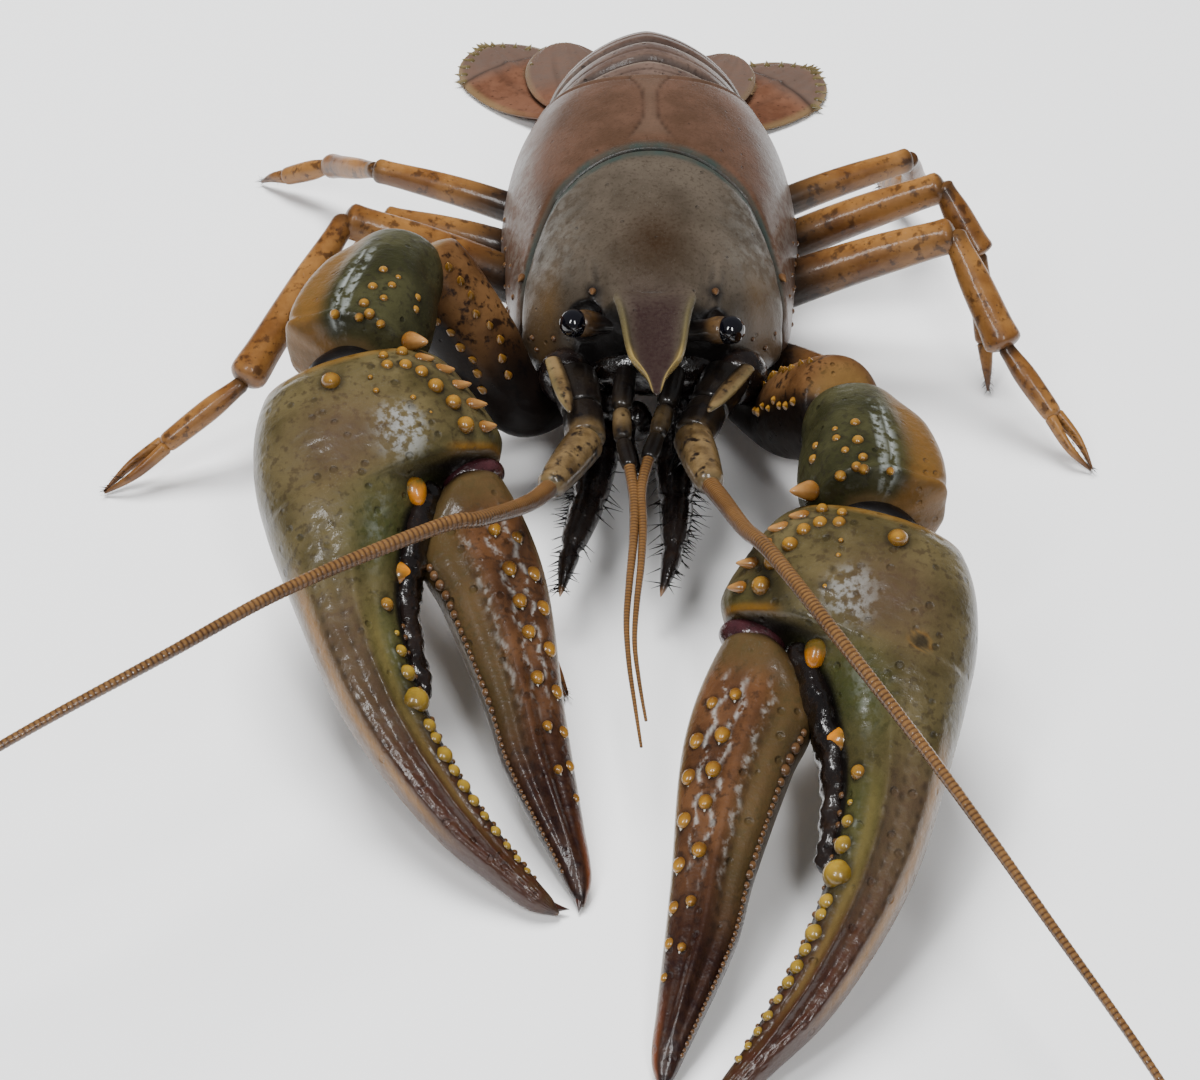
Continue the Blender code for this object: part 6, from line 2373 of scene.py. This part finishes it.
        def rim(co: Array, u: Array, v: Array) -> Array:
            """A pale line on the outer side, and the pale front rim."""
            turn = TURN * v * self.inward
            pale = bump(np.sin(turn), -0.92, 0.06) * (np.cos(turn) > 0)
            return np.maximum(0.7 * pale, 0.35 * ease(0.9, 0.93, u) * ease(0.97, 0.95, u))

        def painted_sheen(co: Array, u: Array, v: Array) -> Array:
            """Painted highlights: pale lines in the two grooves."""
            turn = TURN * v * self.inward
            lines = 0.0
            for degrees in self.CARPUS_GROOVES:
                near = np.cos(turn - math.radians(degrees))
                lines = np.maximum(lines, np.exp(-((1.0 - near) / 0.0008)))
            return 0.9 * lines * ease(0.35, 0.5, u) * ease(0.95, 0.85, u)

        def shade(co: Array, u: Array, v: Array) -> Array:
            """Dark back, front and surrounds of the beads."""
            back = 0.8 * ease(0.22, 0.1, u)
            front = ease(0.972, 0.985, u)
            return highest(back, front, 0.55 * ring_of_shade(co, beads + [thorn], 1.6))

        self.shop.finish(f"wrist_{key}", skin, self.finishes.wrist, "arm_shell", [f"arm_carpus_{key}"],
                         {"rust": rust, "rim": rim, "painted_sheen": painted_sheen, "shade": shade})
        self.shop.finish(f"wrist_spine_{key}", thorn.skin(), self.finishes.almond, "arm_shell")
        return beads

    def build_upper_arm(self) -> list[Bead]:
        """Build the upper arm.

        Returns:
            The beads that stand in it.
        """
        pose = self.pose
        upper = [pose.bend.lerp(pose.elbow, share) for share in (0.35, 0.75, 0.97)]
        path = Path([pose.shoulder, pose.bend] + upper)
        beads = []
        for i in range(8):
            for degrees in (22.0, 70.0):
                share = 0.4 + 0.07 * i
                turn = self.inward * math.radians(degrees + self.scatter.uniform(-5, 5))
                place, normal, along = path.spot(share, turn, float(self.MERUS_TALL.at(share)),
                                                 float(self.MERUS_WIDE.at(share)))
                radius = 0.44 * self.scatter.uniform(0.8, 1.15)
                beads.append(Bead(place, normal, radius, normal + along * 0.8, 0.75, 0.25, 0.6))

        def rim(co: Array, u: Array, v: Array) -> Array:
            """Pale upper front rim."""
            return 0.7 * ease(0.86, 0.94, u) * ease(0.0, 0.6, np.cos(TURN * v))

        def shade(co: Array, u: Array, v: Array) -> Array:
            """Dark underside, inner side and root."""
            turn = TURN * v * self.inward
            low = 0.95 * ease(0.25, -0.1, np.cos(turn))
            inner = 0.95 * ease(0.8, 0.97, np.sin(turn))
            root = 0.97 * ease(0.62, 0.42, u)
            return highest(low, inner, root, 0.5 * ring_of_shade(co, beads))

        skin = tube_skin(path, self.MERUS_TALL, self.MERUS_WIDE, 80, 72, 0.06, 0.95)
        self.shop.finish(f"upper_arm_{pose.key}", skin, self.finishes.arm, "arm_shell",
                         [f"arm_merus_{pose.key}"], {"rim": rim, "shade": shade})
        return beads

    def build(self) -> None:
        """Build the wrist article and the upper arm, their beads and the skin of their joints, black before
        the claw as painted shadow.
        """
        pose = self.pose
        key = pose.key
        beads = self.build_wrist() + self.build_upper_arm()
        self.shop.finish(f"arm_beads_{key}", bead_skin(beads), self.finishes.bead, "arm_shell")
        elbow = ball(pose.elbow.lerp(pose.wrist, 0.05) - UP * 0.6, (2.6, 2.4, 2.3))
        self.shop.finish(f"elbow_skin_{key}", elbow, self.finishes.membrane, "arm_shell",
                         paints={"shade": lambda co, u, v: np.full(len(co), 0.5)})
        turn = Matrix((self.claw.across, self.claw.along, self.claw.up)).transposed()
        # A black, dull ball in the gap between wrist and palm: the joint skin there, black as painted shadow.
        wrist = ball(pose.wrist - self.claw.up * 0.7, (3.9, 1.8, 2.9), turn)
        self.shop.finish(f"wrist_skin_{key}", wrist, self.finishes.bristle, "arm_shell")


# Walking legs.
@dataclass(frozen=True)
class LegPose:
    """Where one walking leg is: its root, knee, wrist and foot."""

    name: str
    root: Vector
    knee: Vector
    wrist: Vector
    foot: Vector
    pincer: bool
    girth: float


def leg(name: str, root: tuple, knee: tuple, wrist: tuple, foot: tuple) -> LegPose:
    """Make a leg's pose.

    Args:
        name: the leg's name.
        root: where it leaves the chest.
        knee: its first bend.
        wrist: its second bend.
        foot: its tip on the floor.

    Returns:
        The pose.
    """
    girth = {"1": 1.0, "2": 1.1, "3": 0.98, "4": 0.8}[name[4]]
    return LegPose(name, Vector(root), Vector(knee), Vector(wrist), Vector(foot), name[4] in "12", girth)


LEGS = (
    leg("leg_1_r", (-6.0, -6.5, 6.2), (-20.5, -13, 9.0), (-16.5, -31.5, 4.5), (-7.4, -47.8, 0.25)),
    leg("leg_2_r", (-6.5, -0.5, 6.0), (-28.3, -0.4, 16.3), (-37.1, -14.7, 8), (-49.8, -21, 0.25)),
    leg("leg_3_r", (-6.5, 5.5, 6.2), (-25.5, 6.8, 11.5), (-31, -0.5, 6), (-32.6, -11.5, 0.25)),
    leg("leg_4_r", (-6.0, 11.5, 6.8), (-27.2, 18.5, 10), (-32.9, 27.5, 5), (-41.0, 31.9, 0.25)),
    leg("leg_1_l", (6.0, -6.5, 6.2), (19.0, -16.5, 8.5), (19.5, -32, 5), (18.5, -43, 0.25)),
    leg("leg_2_l", (6.5, -0.5, 6.0), (28.1, -1.9, 15.6), (32.8, -9.2, 8), (40.5, -17.7, 0.25)),
    leg("leg_3_l", (6.5, 5.5, 6.2), (27.6, 4.2, 17.0), (31.2, 1.0, 11.5), (32.4, -5.6, 0.25)),
    leg("leg_4_l", (6.0, 11.5, 6.8), (26.2, 17.6, 11.8), (27.6, 23.0, 6.0), (25.0, 31.0, 0.25)),
)


class WalkingLeg(Part):
    """One walking leg in four articles, with a pincer or a claw at its end."""

    THIGH = table((0.0, 1.9), (0.3, 2.05), (0.7, 1.85), (0.93, 1.6), (1.0, 1.7))
    SHIN = table((0.0, 1.1), (0.12, 1.05), (0.4, 1.35), (0.8, 1.5), (0.93, 1.62), (1.0, 1.45))
    HAND = table((0.0, 0.85), (0.1, 0.8), (0.4, 1.05), (0.8, 1.0), (1.0, 0.9))
    CLAW = table((0.0, 0.8), (0.5, 0.52), (1.0, 0.1))

    def __init__(self, shop: Workshop, finishes: Finishes, pose: LegPose) -> None:
        """Take the pose.

        Args:
            shop: where pieces are finished.
            finishes: the animal's finishes.
            pose: where the leg is.
        """
        super().__init__(shop, finishes)
        self.pose = pose
        self.scatter = random.Random(sum(ord(letter) for letter in pose.name))

    def sized(self, sizes: Table) -> Table:
        """Scale an article's thickness to this leg.

        Args:
            sizes: radii along the article.

        Returns:
            The leg's own radii.
        """
        return table(*((place, size * self.pose.girth) for place, size in sizes.rows))

    def hand(self) -> tuple[list[bmesh.types.BMesh], list[bmesh.types.BMesh]]:
        """The last article with its fingers or claw.

        Returns:
            Skins of the article, and of the fingers or claw.
        """
        pose = self.pose
        line = pose.foot - pose.wrist
        along = line.normalized()
        beside = along.cross(UP).normalized()
        if not pose.pincer:
            joint = pose.wrist + line * 0.66
            article = tube_skin(Path([pose.wrist - along * 0.3, joint]), self.HAND, self.HAND, 26, 18, 0.08)
            droop = joint.lerp(pose.foot, 0.5) + UP * 0.25
            return [article], [tube_skin(Path([joint - along * 0.3, droop, pose.foot]), self.CLAW, self.CLAW,
                                         24, 12, 0.05)]
        palm_end = pose.wrist + line * 0.58
        article = tube_skin(Path([pose.wrist - along * 0.3, palm_end]), self.HAND, self.HAND, 26, 18, 0.08)
        fingers = []
        for side in (-1.0, 1.0):
            root = palm_end - along * 0.5 + beside * (side * 0.42)
            bow = palm_end.lerp(pose.foot, 0.5) + beside * (side * 0.72)
            tip = pose.foot + beside * (side * 0.1)
            path = Path([root, bow, tip])
            fingers.append(tube_skin(path, table((0, 0.72), (0.5, 0.52), (1, 0.12)),
                                     table((0, 0.55), (0.5, 0.38), (1, 0.1)), 24, 12, 0.05))
        return [article], fingers

    def hairs(self) -> list[Hair]:
        """Short bristles near the tip.

        Returns:
            The hairs.
        """
        vary = self.scatter.uniform
        pose = self.pose
        along = (pose.foot - pose.wrist).normalized()
        hairs = []
        for _ in range(70):
            share = 1.0 - 0.5 * vary(0.0, 1.0) ** 1.5
            way = Vector((vary(-1, 1), vary(-1, 1), vary(-0.3, 1))).normalized()
            root = pose.wrist.lerp(pose.foot, share) + way * (0.75 * (1.35 - share))
            hair = Hair(root, along * 1.2 + way, vary(0.3, 0.8), 0.035)
            if min(root.z, root.z + hair.way.normalized().z * hair.length) < 0.1:
                continue
            hairs.append(hair)
        return hairs

    def build(self) -> None:
        """Build the leg."""
        pose = self.pose
        into = (pose.knee - pose.root).normalized()
        away = (pose.wrist - pose.knee).normalized()
        bow = pose.root.lerp(pose.knee, 0.55) + UP * 0.5
        thigh = tube_skin(Path([pose.root - into, bow, pose.knee + into * 0.3]), self.sized(self.THIGH),
                          self.sized(table((0.0, 1.8), (0.3, 1.8), (0.75, 1.55), (0.93, 1.35), (1.0, 1.5))),
                          40, 24, 0.035)
        shin = tube_skin(Path([pose.knee - away * 0.4, pose.wrist + away * 0.2]), self.sized(self.SHIN),
                         self.sized(self.SHIN), 36, 22, 0.06)
        article, ends = self.hand()
        nodes = [f"{pose.name}_{part}" for part in ("thigh", "shin", "toe")]
        self.shop.finish(pose.name, join([thigh, shin] + article + ends), self.finishes.leg, "leg_shell",
                         nodes, self.paints())
        self.shop.finish(f"{pose.name}_bristles", bristles(self.hairs()), self.finishes.bristle, "leg_shell")

    def paints(self) -> Paints:
        """The leg's painted values.

        Returns:
            The paints.
        """
        pose = self.pose

        def shade(co: Array, u: Array, v: Array) -> Array:
            """Dark joints, underside and root."""
            joint = np.zeros(len(co))
            for place, reach in ((pose.knee, 1.5), (pose.wrist, 1.2)):
                gap = np.linalg.norm(co - np.array(place), axis=1)
                joint = np.maximum(joint, 0.6 * (1.0 - ease(reach * 0.7, reach * 1.2, gap)))
            root = np.linalg.norm(co - np.array(pose.root), axis=1)
            low = 0.45 * ease(0.0, -0.7, np.cos(TURN * v)) * (1.0 - ease(12.0, 24.0, root))
            return highest(joint, low, 0.95 * (1.0 - ease(8.0, 16.0, root)))

        def tip(co: Array, u: Array, v: Array) -> Array:
            """Dark tip."""
            gap = np.linalg.norm(co - np.array(pose.foot), axis=1)
            return 0.9 * (1.0 - ease(0.6, 3.0, gap))

        return {"shade": shade, "tip": tip}


# Head parts.
FEELERS = {
    "r": points((-9.0, -36.3, 13.0), (-10.6, -41.7, 15.8), (-13.9, -49.4, 20.6), (-17.1, -52.1, 22.0),
                (-27.3, -59.5, 22.5), (-36.0, -67.3, 22.5), (-46.1, -74.5, 21.0), (-57.0, -80.5, 17.0),
                (-67.5, -83.5, 12.0)),
    "l": points((4.5, -35.9, 13.0), (5.4, -40.3, 14.8), (6.6, -48.0, 18.4), (8.2, -53.9, 21.0),
                (12.5, -65.2, 22.4), (19.0, -77.1, 20.5), (24.7, -89.0, 19.0), (30.1, -100.5, 17.5),
                (36.0, -113.0, 14.0)),
}
PEDUNCLES = {
    "r": points((-7.0, -20.4, 12.6), (-6.2, -24.8, 12.2), (-5.9, -28.6, 12.0), (-9.0, -36.3, 13.0)),
    "l": points((6.4, -20.2, 12.6), (4.6, -24.4, 12.2), (3.2, -28.0, 12.0), (4.5, -35.9, 13.0)),
}
SCALES = {
    "r": points((-8.9, -20.2, 14.8), (-7.4, -26.8, 14.4)),
    "l": points((8.3, -21.4, 14.8), (4.9, -26.8, 14.4)),
}
INNER_FEELERS = {
    "r": points((-2.4, -20.8, 14.0), (-2.9, -28.0, 13.0), (-1.95, -34.0, 12.0), (-1.95, -40.0, 10.5),
                (-2.45, -45.7, 9.0), (-2.5, -50.6, 8.0), (-1.5, -60.0, 6.4)),
    "l": points((2.0, -20.8, 14.0), (0.4, -28.0, 13.0), (-1.15, -34.0, 12.0), (-1.15, -40.0, 10.5),
                (-1.7, -45.7, 9.0), (-1.9, -50.6, 8.0), (-1.1, -57.5, 6.8)),
}
MOUTH_LEGS = {
    "r": points((-3.0, -17.2, 6.8), (-4.7, -24.1, 7.0), (-5.7, -29.8, 6.5), (-7.2, -35.3, 5.4),
                (-8.1, -39.4, 3.8)),
    "l": points((3.0, -17.2, 6.8), (1.9, -24.1, 7.0), (1.9, -29.8, 6.5), (1.5, -35.3, 5.4),
                (0.4, -39.4, 3.8)),
}


class HeadParts(Part):
    """Eyes, feelers and mouthparts of one side."""

    EYE_RADIUS = 1.25

    def __init__(self, shop: Workshop, finishes: Finishes, key: str) -> None:
        """Take the side.

        Args:
            shop: where pieces are finished.
            finishes: the animal's finishes.
            key: r or l.
        """
        super().__init__(shop, finishes)
        self.key = key
        self.side = SIDES[key]
        self.scatter = random.Random(71 if key == "r" else 73)

    def build(self) -> None:
        """Build all parts of this side."""
        self.build_eye()
        self.build_feeler()
        self.build_inner_feeler()
        self.build_mouth_leg()

    def build_eye(self) -> None:
        """The eye and its stalk."""
        eye = EYES[self.key]
        skin = ball(eye, (self.EYE_RADIUS,) * 3, detail=5)
        self.shop.finish(f"eyeball_{self.key}", skin, self.finishes.eye, "eye_black", [f"eye_{self.key}"],
                         {"u": bare})
        inward = Vector((-self.side * 0.85, 0.35, -0.25)).normalized()
        girth = table((0.0, 1.15), (0.2, 1.22), (0.55, 0.95), (1.0, 1.1))
        stalk = tube_skin(Path([eye + inward * 0.35, eye + inward * 2.4, eye + inward * 4.6]), girth, girth,
                          26, 28, 0.08)

        def shade(co: Array, u: Array, v: Array) -> Array:
            """Dark root, and a narrow dark front."""
            return np.maximum(0.96 * ease(0.3, 0.5, u), 0.8 * ease(0.12, 0.05, u))

        self.shop.finish(f"stalk_{self.key}", stalk, self.finishes.stalk, "stalk_brown",
                         [f"eyestalk_{self.key}"], {"shade": shade})

    def build_feeler(self) -> None:
        """The long feeler: its base articles, its scale and its ringed whip."""
        key = self.key
        joints = PEDUNCLES[key]
        swell = ((2.1, 1.75), (1.7, 1.7), (1.75, 1.2))
        articles = []
        for i in range(3):
            first, last = swell[i]
            girth = table((0.0, first), (0.5, (first + last) / 2 + 0.12), (1.0, last))
            overlap = (joints[i + 1] - joints[i]).normalized() * 0.3
            articles.append(tube_skin(Path([joints[i] - overlap, joints[i + 1]]), girth, girth, 30, 28, 0.1))

        def shade(co: Array, u: Array, v: Array) -> Array:
            """Dark ends and underside, and all of it behind the face."""
            ends = 0.8 * (ease(0.1, 0.02, u) + ease(0.93, 0.99, u)) + 0.6 * ease(0.0, -0.6, np.cos(TURN * v))
            return np.maximum(ends, 0.95 * ease(-29.0, -27.0, co[:, 1]))

        self.shop.finish(f"feeler_base_{key}", join(articles), self.finishes.peduncle, "peduncle_tan",
                         [f"antenna_base_{key}"],
                         {"shade": shade, "rim": lambda co, u, v: 0.4 * bump(u, 0.9, 0.04)})
        root, tip = SCALES[key]
        leaf = tube_skin(Path([root, tip + (tip - root).normalized() * 0.8]),
                         table((0.0, 0.35), (0.5, 0.42), (1.0, 0.2)),
                         table((0.0, 0.7), (0.45, 0.8), (0.75, 0.65), (1.0, 0.2)), 36, 20, 0.06)
        self.shop.finish(f"feeler_scale_{key}", leaf, self.finishes.peduncle, "peduncle_tan",
                         [f"antenna_scale_{key}"],
                         {"rim": lambda co, u, v: 0.6 * ease(0.2, 0.9, np.sin(TURN * v) * -self.side),
                          "shade": lambda co, u, v: 0.75 * ease(0.2, 0.7, np.sin(TURN * v) * self.side)})
        self.whip(f"feeler_{key}", FEELERS[key], 0.82, 0.22, 0.42, "antenna", 260)

    def whip(self, name: str, stops: list[Vector], thick: float, thin: float, pitch: float, node: str,
             longest: int) -> None:
        """A whip of many small rings.

        Args:
            name: the piece's name.
            stops: the points that it passes.
            thick: radius at its root.
            thin: radius at its tip.
            pitch: length of one ring.
            node: the CAD node's name, without its side.
            longest: the most rings that it may have.
        """
        path = Path(stops, count=400)
        rings = min(longest, int(path.length / pitch))
        steps = np.linspace(0.0, 1.0, 401)
        hops = np.linalg.norm(np.diff(path.at(steps)[0], axis=0), axis=1)
        reach = np.concatenate(([0.0], np.cumsum(hops))) / hops.sum()

        def warp(u: Array, v: Array) -> Array:
            """Places of the ringed skin."""
            centre, beside, rise, _ = path.at(np.interp(u, reach, steps))
            phase = (u * rings) % 1.0
            ring = 0.93 + 0.07 * np.sin(np.pi * phase) ** 0.6
            girth = (thick + (thin - thick) * u ** 0.75) * ring * dome(u, 0.002)
            return centre + beside * (girth * np.sin(TURN * v))[:, None] + rise * (
                girth * np.cos(TURN * v))[:, None]

        def ring_band_and_highlight(co: Array, u: Array, v: Array) -> Array:
            """A pale band on each ring, with a painted highlight on its top side."""
            high = ease(0.3, 0.9, np.sin(np.pi * ((u * rings) % 1.0)))
            return high * (0.2 + 0.55 * bump(np.cos(TURN * v), 0.8, 0.25))

        def shade(co: Array, u: Array, v: Array) -> Array:
            """Dark seams between the rings, and underside."""
            seam = 0.5 * ease(0.3, 0.0, np.sin(np.pi * ((u * rings) % 1.0)))
            return np.maximum(seam, 0.45 * ease(-0.1, -0.8, np.cos(TURN * v)))

        self.shop.finish(name, rolled_skin(rings * 5, 14, warp), self.finishes.feeler, "feeler_brown",
                         [f"{node}_{self.key}"], {"ring": ring_band_and_highlight, "shade": shade})

    def build_inner_feeler(self) -> None:
        """The short feeler: three base articles and a fine whip."""
        key = self.key
        stops = INNER_FEELERS[key]
        line = Path(stops, count=300)
        cuts = (0.0, 0.13, 0.22, 0.3)
        girths = (1.0, 0.85, 0.75)
        articles = []
        for i in range(3):
            ends = [Vector(line.at(np.array(cuts[i + k]))[0]) for k in (0, 1)]
            girth = table((0.0, girths[i] * 0.9), (0.6, girths[i]), (1.0, girths[i] * 0.85))
            articles.append(tube_skin(Path(ends), girth, girth, 24, 22, 0.12))
        self.shop.finish(f"inner_feeler_base_{key}", join(articles), self.finishes.peduncle, "feeler_brown",
                         paints={"shade": lambda co, u, v: 0.97 - 0.75 * bump(co[:, 1], -27.5, 1.3),
                                 "rim": bare})
        rest = [Vector(line.at(np.array(0.28 + 0.72 * i / 7))[0]) for i in range(8)]
        self.whip(f"inner_feeler_{key}", rest, 0.54, 0.13, 0.3, "antennule", 110)

    def build_mouth_leg(self) -> None:
        """The outer mouth leg with its bristles."""
        key = self.key
        path = Path(MOUTH_LEGS[key], count=200)
        girth = table((0.0, 1.7), (0.3, 1.75), (0.6, 1.5), (0.85, 0.85), (1.0, 0.12))

        def joints(share: Array, turn: Array) -> Array:
            """Three narrow waists."""
            return -0.28 * (bump(share, 0.3, 0.02) + bump(share, 0.56, 0.02) + bump(share, 0.8, 0.02))

        skin = tube_skin(path, girth, girth, 70, 28, 0.04, 1.0, joints)
        self.shop.finish(f"mouth_leg_{key}", skin, self.finishes.mouth, "mouth_dark", [f"maxilliped_{key}"],
                         {"tip": lambda co, u, v: 0.9 * ease(0.86, 0.94, u)})
        vary = self.scatter.uniform
        hairs = []
        for i in range(120):
            share = vary(0.1, 0.98)
            inner = -self.side * math.radians(vary(40.0, 130.0))
            radius = float(girth.at(share)) * 0.9
            place, normal, along = path.spot(share, inner if i % 4 else -inner, radius, radius)
            way = normal + along * vary(0.2, 1.0) + Vector((0, 0, vary(-0.3, 0.3)))
            hairs.append(Hair(place, way, vary(0.9, 2.3) * (1.25 - 0.6 * share), 0.075))
        self.shop.finish(f"mouth_bristles_{key}", bristles(hairs), self.finishes.bristle, "mouth_dark")


class Mouth(Part):
    """The dark parts round the mouth, below the beak, deepened to black as painted shade."""

    LUMPS = (((3.6, -20.4, 9.6), (2.0, 1.9, 1.6)), ((1.5, -21.0, 8.4), (1.5, 1.7, 1.9)),
             ((7.6, -18.6, 11.6), (2.6, 2.2, 2.8)))

    def build(self) -> None:
        """Build the plate behind the feelers, the jaws and the inner mouth legs."""
        lumps = [ball(Vector((0.0, -18.8, 12.6)), (5.6, 2.2, 2.6))]
        girth = table((0, 1.1), (0.6, 0.9), (1, 0.25))
        for side in (-1.0, 1.0):
            for (x, y, z), radii in self.LUMPS:
                lumps.append(ball(Vector((side * x, y, z)), radii))
            line = points((side * 2.0, -19.5, 8.6), (side * 2.6, -24.0, 8.8), (side * 1.2, -28.5, 8.0))
            lumps.append(tube_skin(Path(line), girth, girth, 30, 16, 0.05))
        self.shop.finish("mouth_parts", join(lumps), self.finishes.mouth, "mouth_dark", paints={"tip": bare})


# Setting.
@dataclass(frozen=True)
class CameraSizes:
    """Where the photo was taken from, in the animal's frame, in millimetres."""

    place: Vector = Vector((-4.7, -197.8, 143.0))
    tilt: float = math.radians(50.0)
    lens: float = 75.0
    sensor: float = 36.0
    nearest: float = 0.01
    farthest: float = 10.0


@dataclass(frozen=True)
class RoomSizes:
    """Floor, sky light and lamps, in metres, watts and degrees."""

    floor_size: float = 1.5
    floor_drop: float = 0.0001
    floor_colour: Colour = (0.9, 0.905, 0.91)
    floor_roughness: float = 0.55
    floor_specular: float = 0.25
    sky_colour: Colour = (0.97, 0.98, 1.0)
    sky_strength: float = 0.17
    aim: Vector = Vector((0.0, 0.0, 0.01))
    ceiling: Vector = Vector((-0.06, 0.22, 0.55))
    ceiling_size: float = 0.30
    ceiling_power: float = 8.0
    windows: tuple[tuple[str, float, float], ...] = (("left window", -32.0, 16.0),
                                                     ("right window", 18.0, 10.0))
    window_away: float = 0.35
    window_size: tuple[float, float] = (0.045, 0.14)
    window_power: float = 0.5
    largest_glint: float = 0.3


class Studio:
    """Camera, pale floor and soft light."""

    def __init__(self, shift: Vector, camera: CameraSizes = CameraSizes(),
                 room: RoomSizes = RoomSizes()) -> None:
        """Take the sizes.

        Args:
            shift: where the frame has the animal's own origin, in metres.
            camera: the camera's sizes.
            room: the floor's and the lights' sizes.
        """
        self.shift = shift
        self.camera = camera
        self.room = room

    def lamp(self, name: str, place: Vector, wide: float, tall: float, power: float) -> None:
        """One soft area light, which shows in reflections only if it is small.

        Args:
            name: its name.
            place: where it is, in metres.
            wide: its width.
            tall: its height.
            power: its power in watts.
        """
        data = bpy.data.lights.new(name, "AREA")
        data.shape = "RECTANGLE"
        data.size = wide
        data.size_y = tall
        data.energy = power
        lamp = bpy.data.objects.new(name, data)
        lamp.location = place
        lamp.rotation_euler = (self.room.aim - place).to_track_quat("-Z", "Y").to_euler()
        lamp.visible_glossy = tall < self.room.largest_glint
        bpy.context.collection.objects.link(lamp)

    def build(self) -> None:
        """Set the camera, the floor and the lights."""
        self.set_camera()
        self.lay_floor()
        self.light()

    def set_camera(self) -> None:
        """Set the camera where the photo was taken from."""
        data = bpy.data.cameras.new("camera")
        data.lens = self.camera.lens
        data.sensor_width = self.camera.sensor
        data.dof.use_dof = False
        data.clip_start = self.camera.nearest
        data.clip_end = self.camera.farthest
        camera = bpy.data.objects.new("camera", data)
        camera.location = self.camera.place * MM + self.shift
        camera.rotation_euler = (self.camera.tilt, 0.0, 0.0)
        bpy.context.collection.objects.link(camera)
        bpy.context.scene.camera = camera

    def lay_floor(self) -> None:
        """Lay the pale floor just under the animal."""
        room = self.room
        bm = bmesh.new()
        bmesh.ops.create_grid(bm, x_segments=1, y_segments=1, size=room.floor_size)
        mesh = bpy.data.meshes.new("floor")
        bm.to_mesh(mesh)
        bm.free()
        graph = Graph("pale floor")
        graph.shader.inputs["Base Color"].default_value = (*room.floor_colour, 1.0)
        graph.shader.inputs["Roughness"].default_value = room.floor_roughness
        graph.shader.inputs["Specular IOR Level"].default_value = room.floor_specular
        mesh.materials.append(graph.material)
        floor = bpy.data.objects.new("floor", mesh)
        floor.location = (0.0, 0.0, -room.floor_drop)
        bpy.context.collection.objects.link(floor)

    def light(self) -> None:
        """Light the scene from the sky, the ceiling and two windows."""
        room = self.room
        world = bpy.data.worlds.new("soft room")
        world.use_nodes = True
        sky = world.node_tree.nodes["Background"].inputs
        sky["Color"].default_value = (*room.sky_colour, 1.0)
        sky["Strength"].default_value = room.sky_strength
        bpy.context.scene.world = world
        self.lamp("ceiling", room.ceiling, room.ceiling_size, room.ceiling_size, room.ceiling_power)
        for name, turn, rise in room.windows:
            way = (self.camera.place * MM).normalized()
            way.rotate(Matrix.Rotation(math.radians(turn), 3, "Z"))
            way = (way + UP * math.tan(math.radians(rise))).normalized()
            self.lamp(name, room.aim + way * room.window_away, *room.window_size, room.window_power)


def main() -> None:
    """Build the animal piece by piece, then its setting."""
    logging.basicConfig(level=logging.INFO, format="%(name)s %(message)s")
    low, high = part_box("eye_r")
    shift = (low + high) / 2 - EYES["r"] * MM
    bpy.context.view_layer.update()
    shop = Workshop(shift)
    finishes = Finishes()
    Carapace(shop, finishes).build()
    Abdomen(shop, finishes).build()
    TailFan(shop, finishes).build()
    for pose in POSES:
        claw = Claw(shop, finishes, pose)
        claw.build()
        ClawArm(shop, finishes, pose, claw).build()
    for pose in LEGS:
        WalkingLeg(shop, finishes, pose).build()
    for key in SIDES:
        HeadParts(shop, finishes, key).build()
    Mouth(shop, finishes).build()
    Studio(shift).build()
    faces = sum(len(piece.data.polygons) for piece in shop.made)
    LOG.info("%d pieces, %d faces", len(shop.made), faces)


if __name__ == "__main__":
    main()
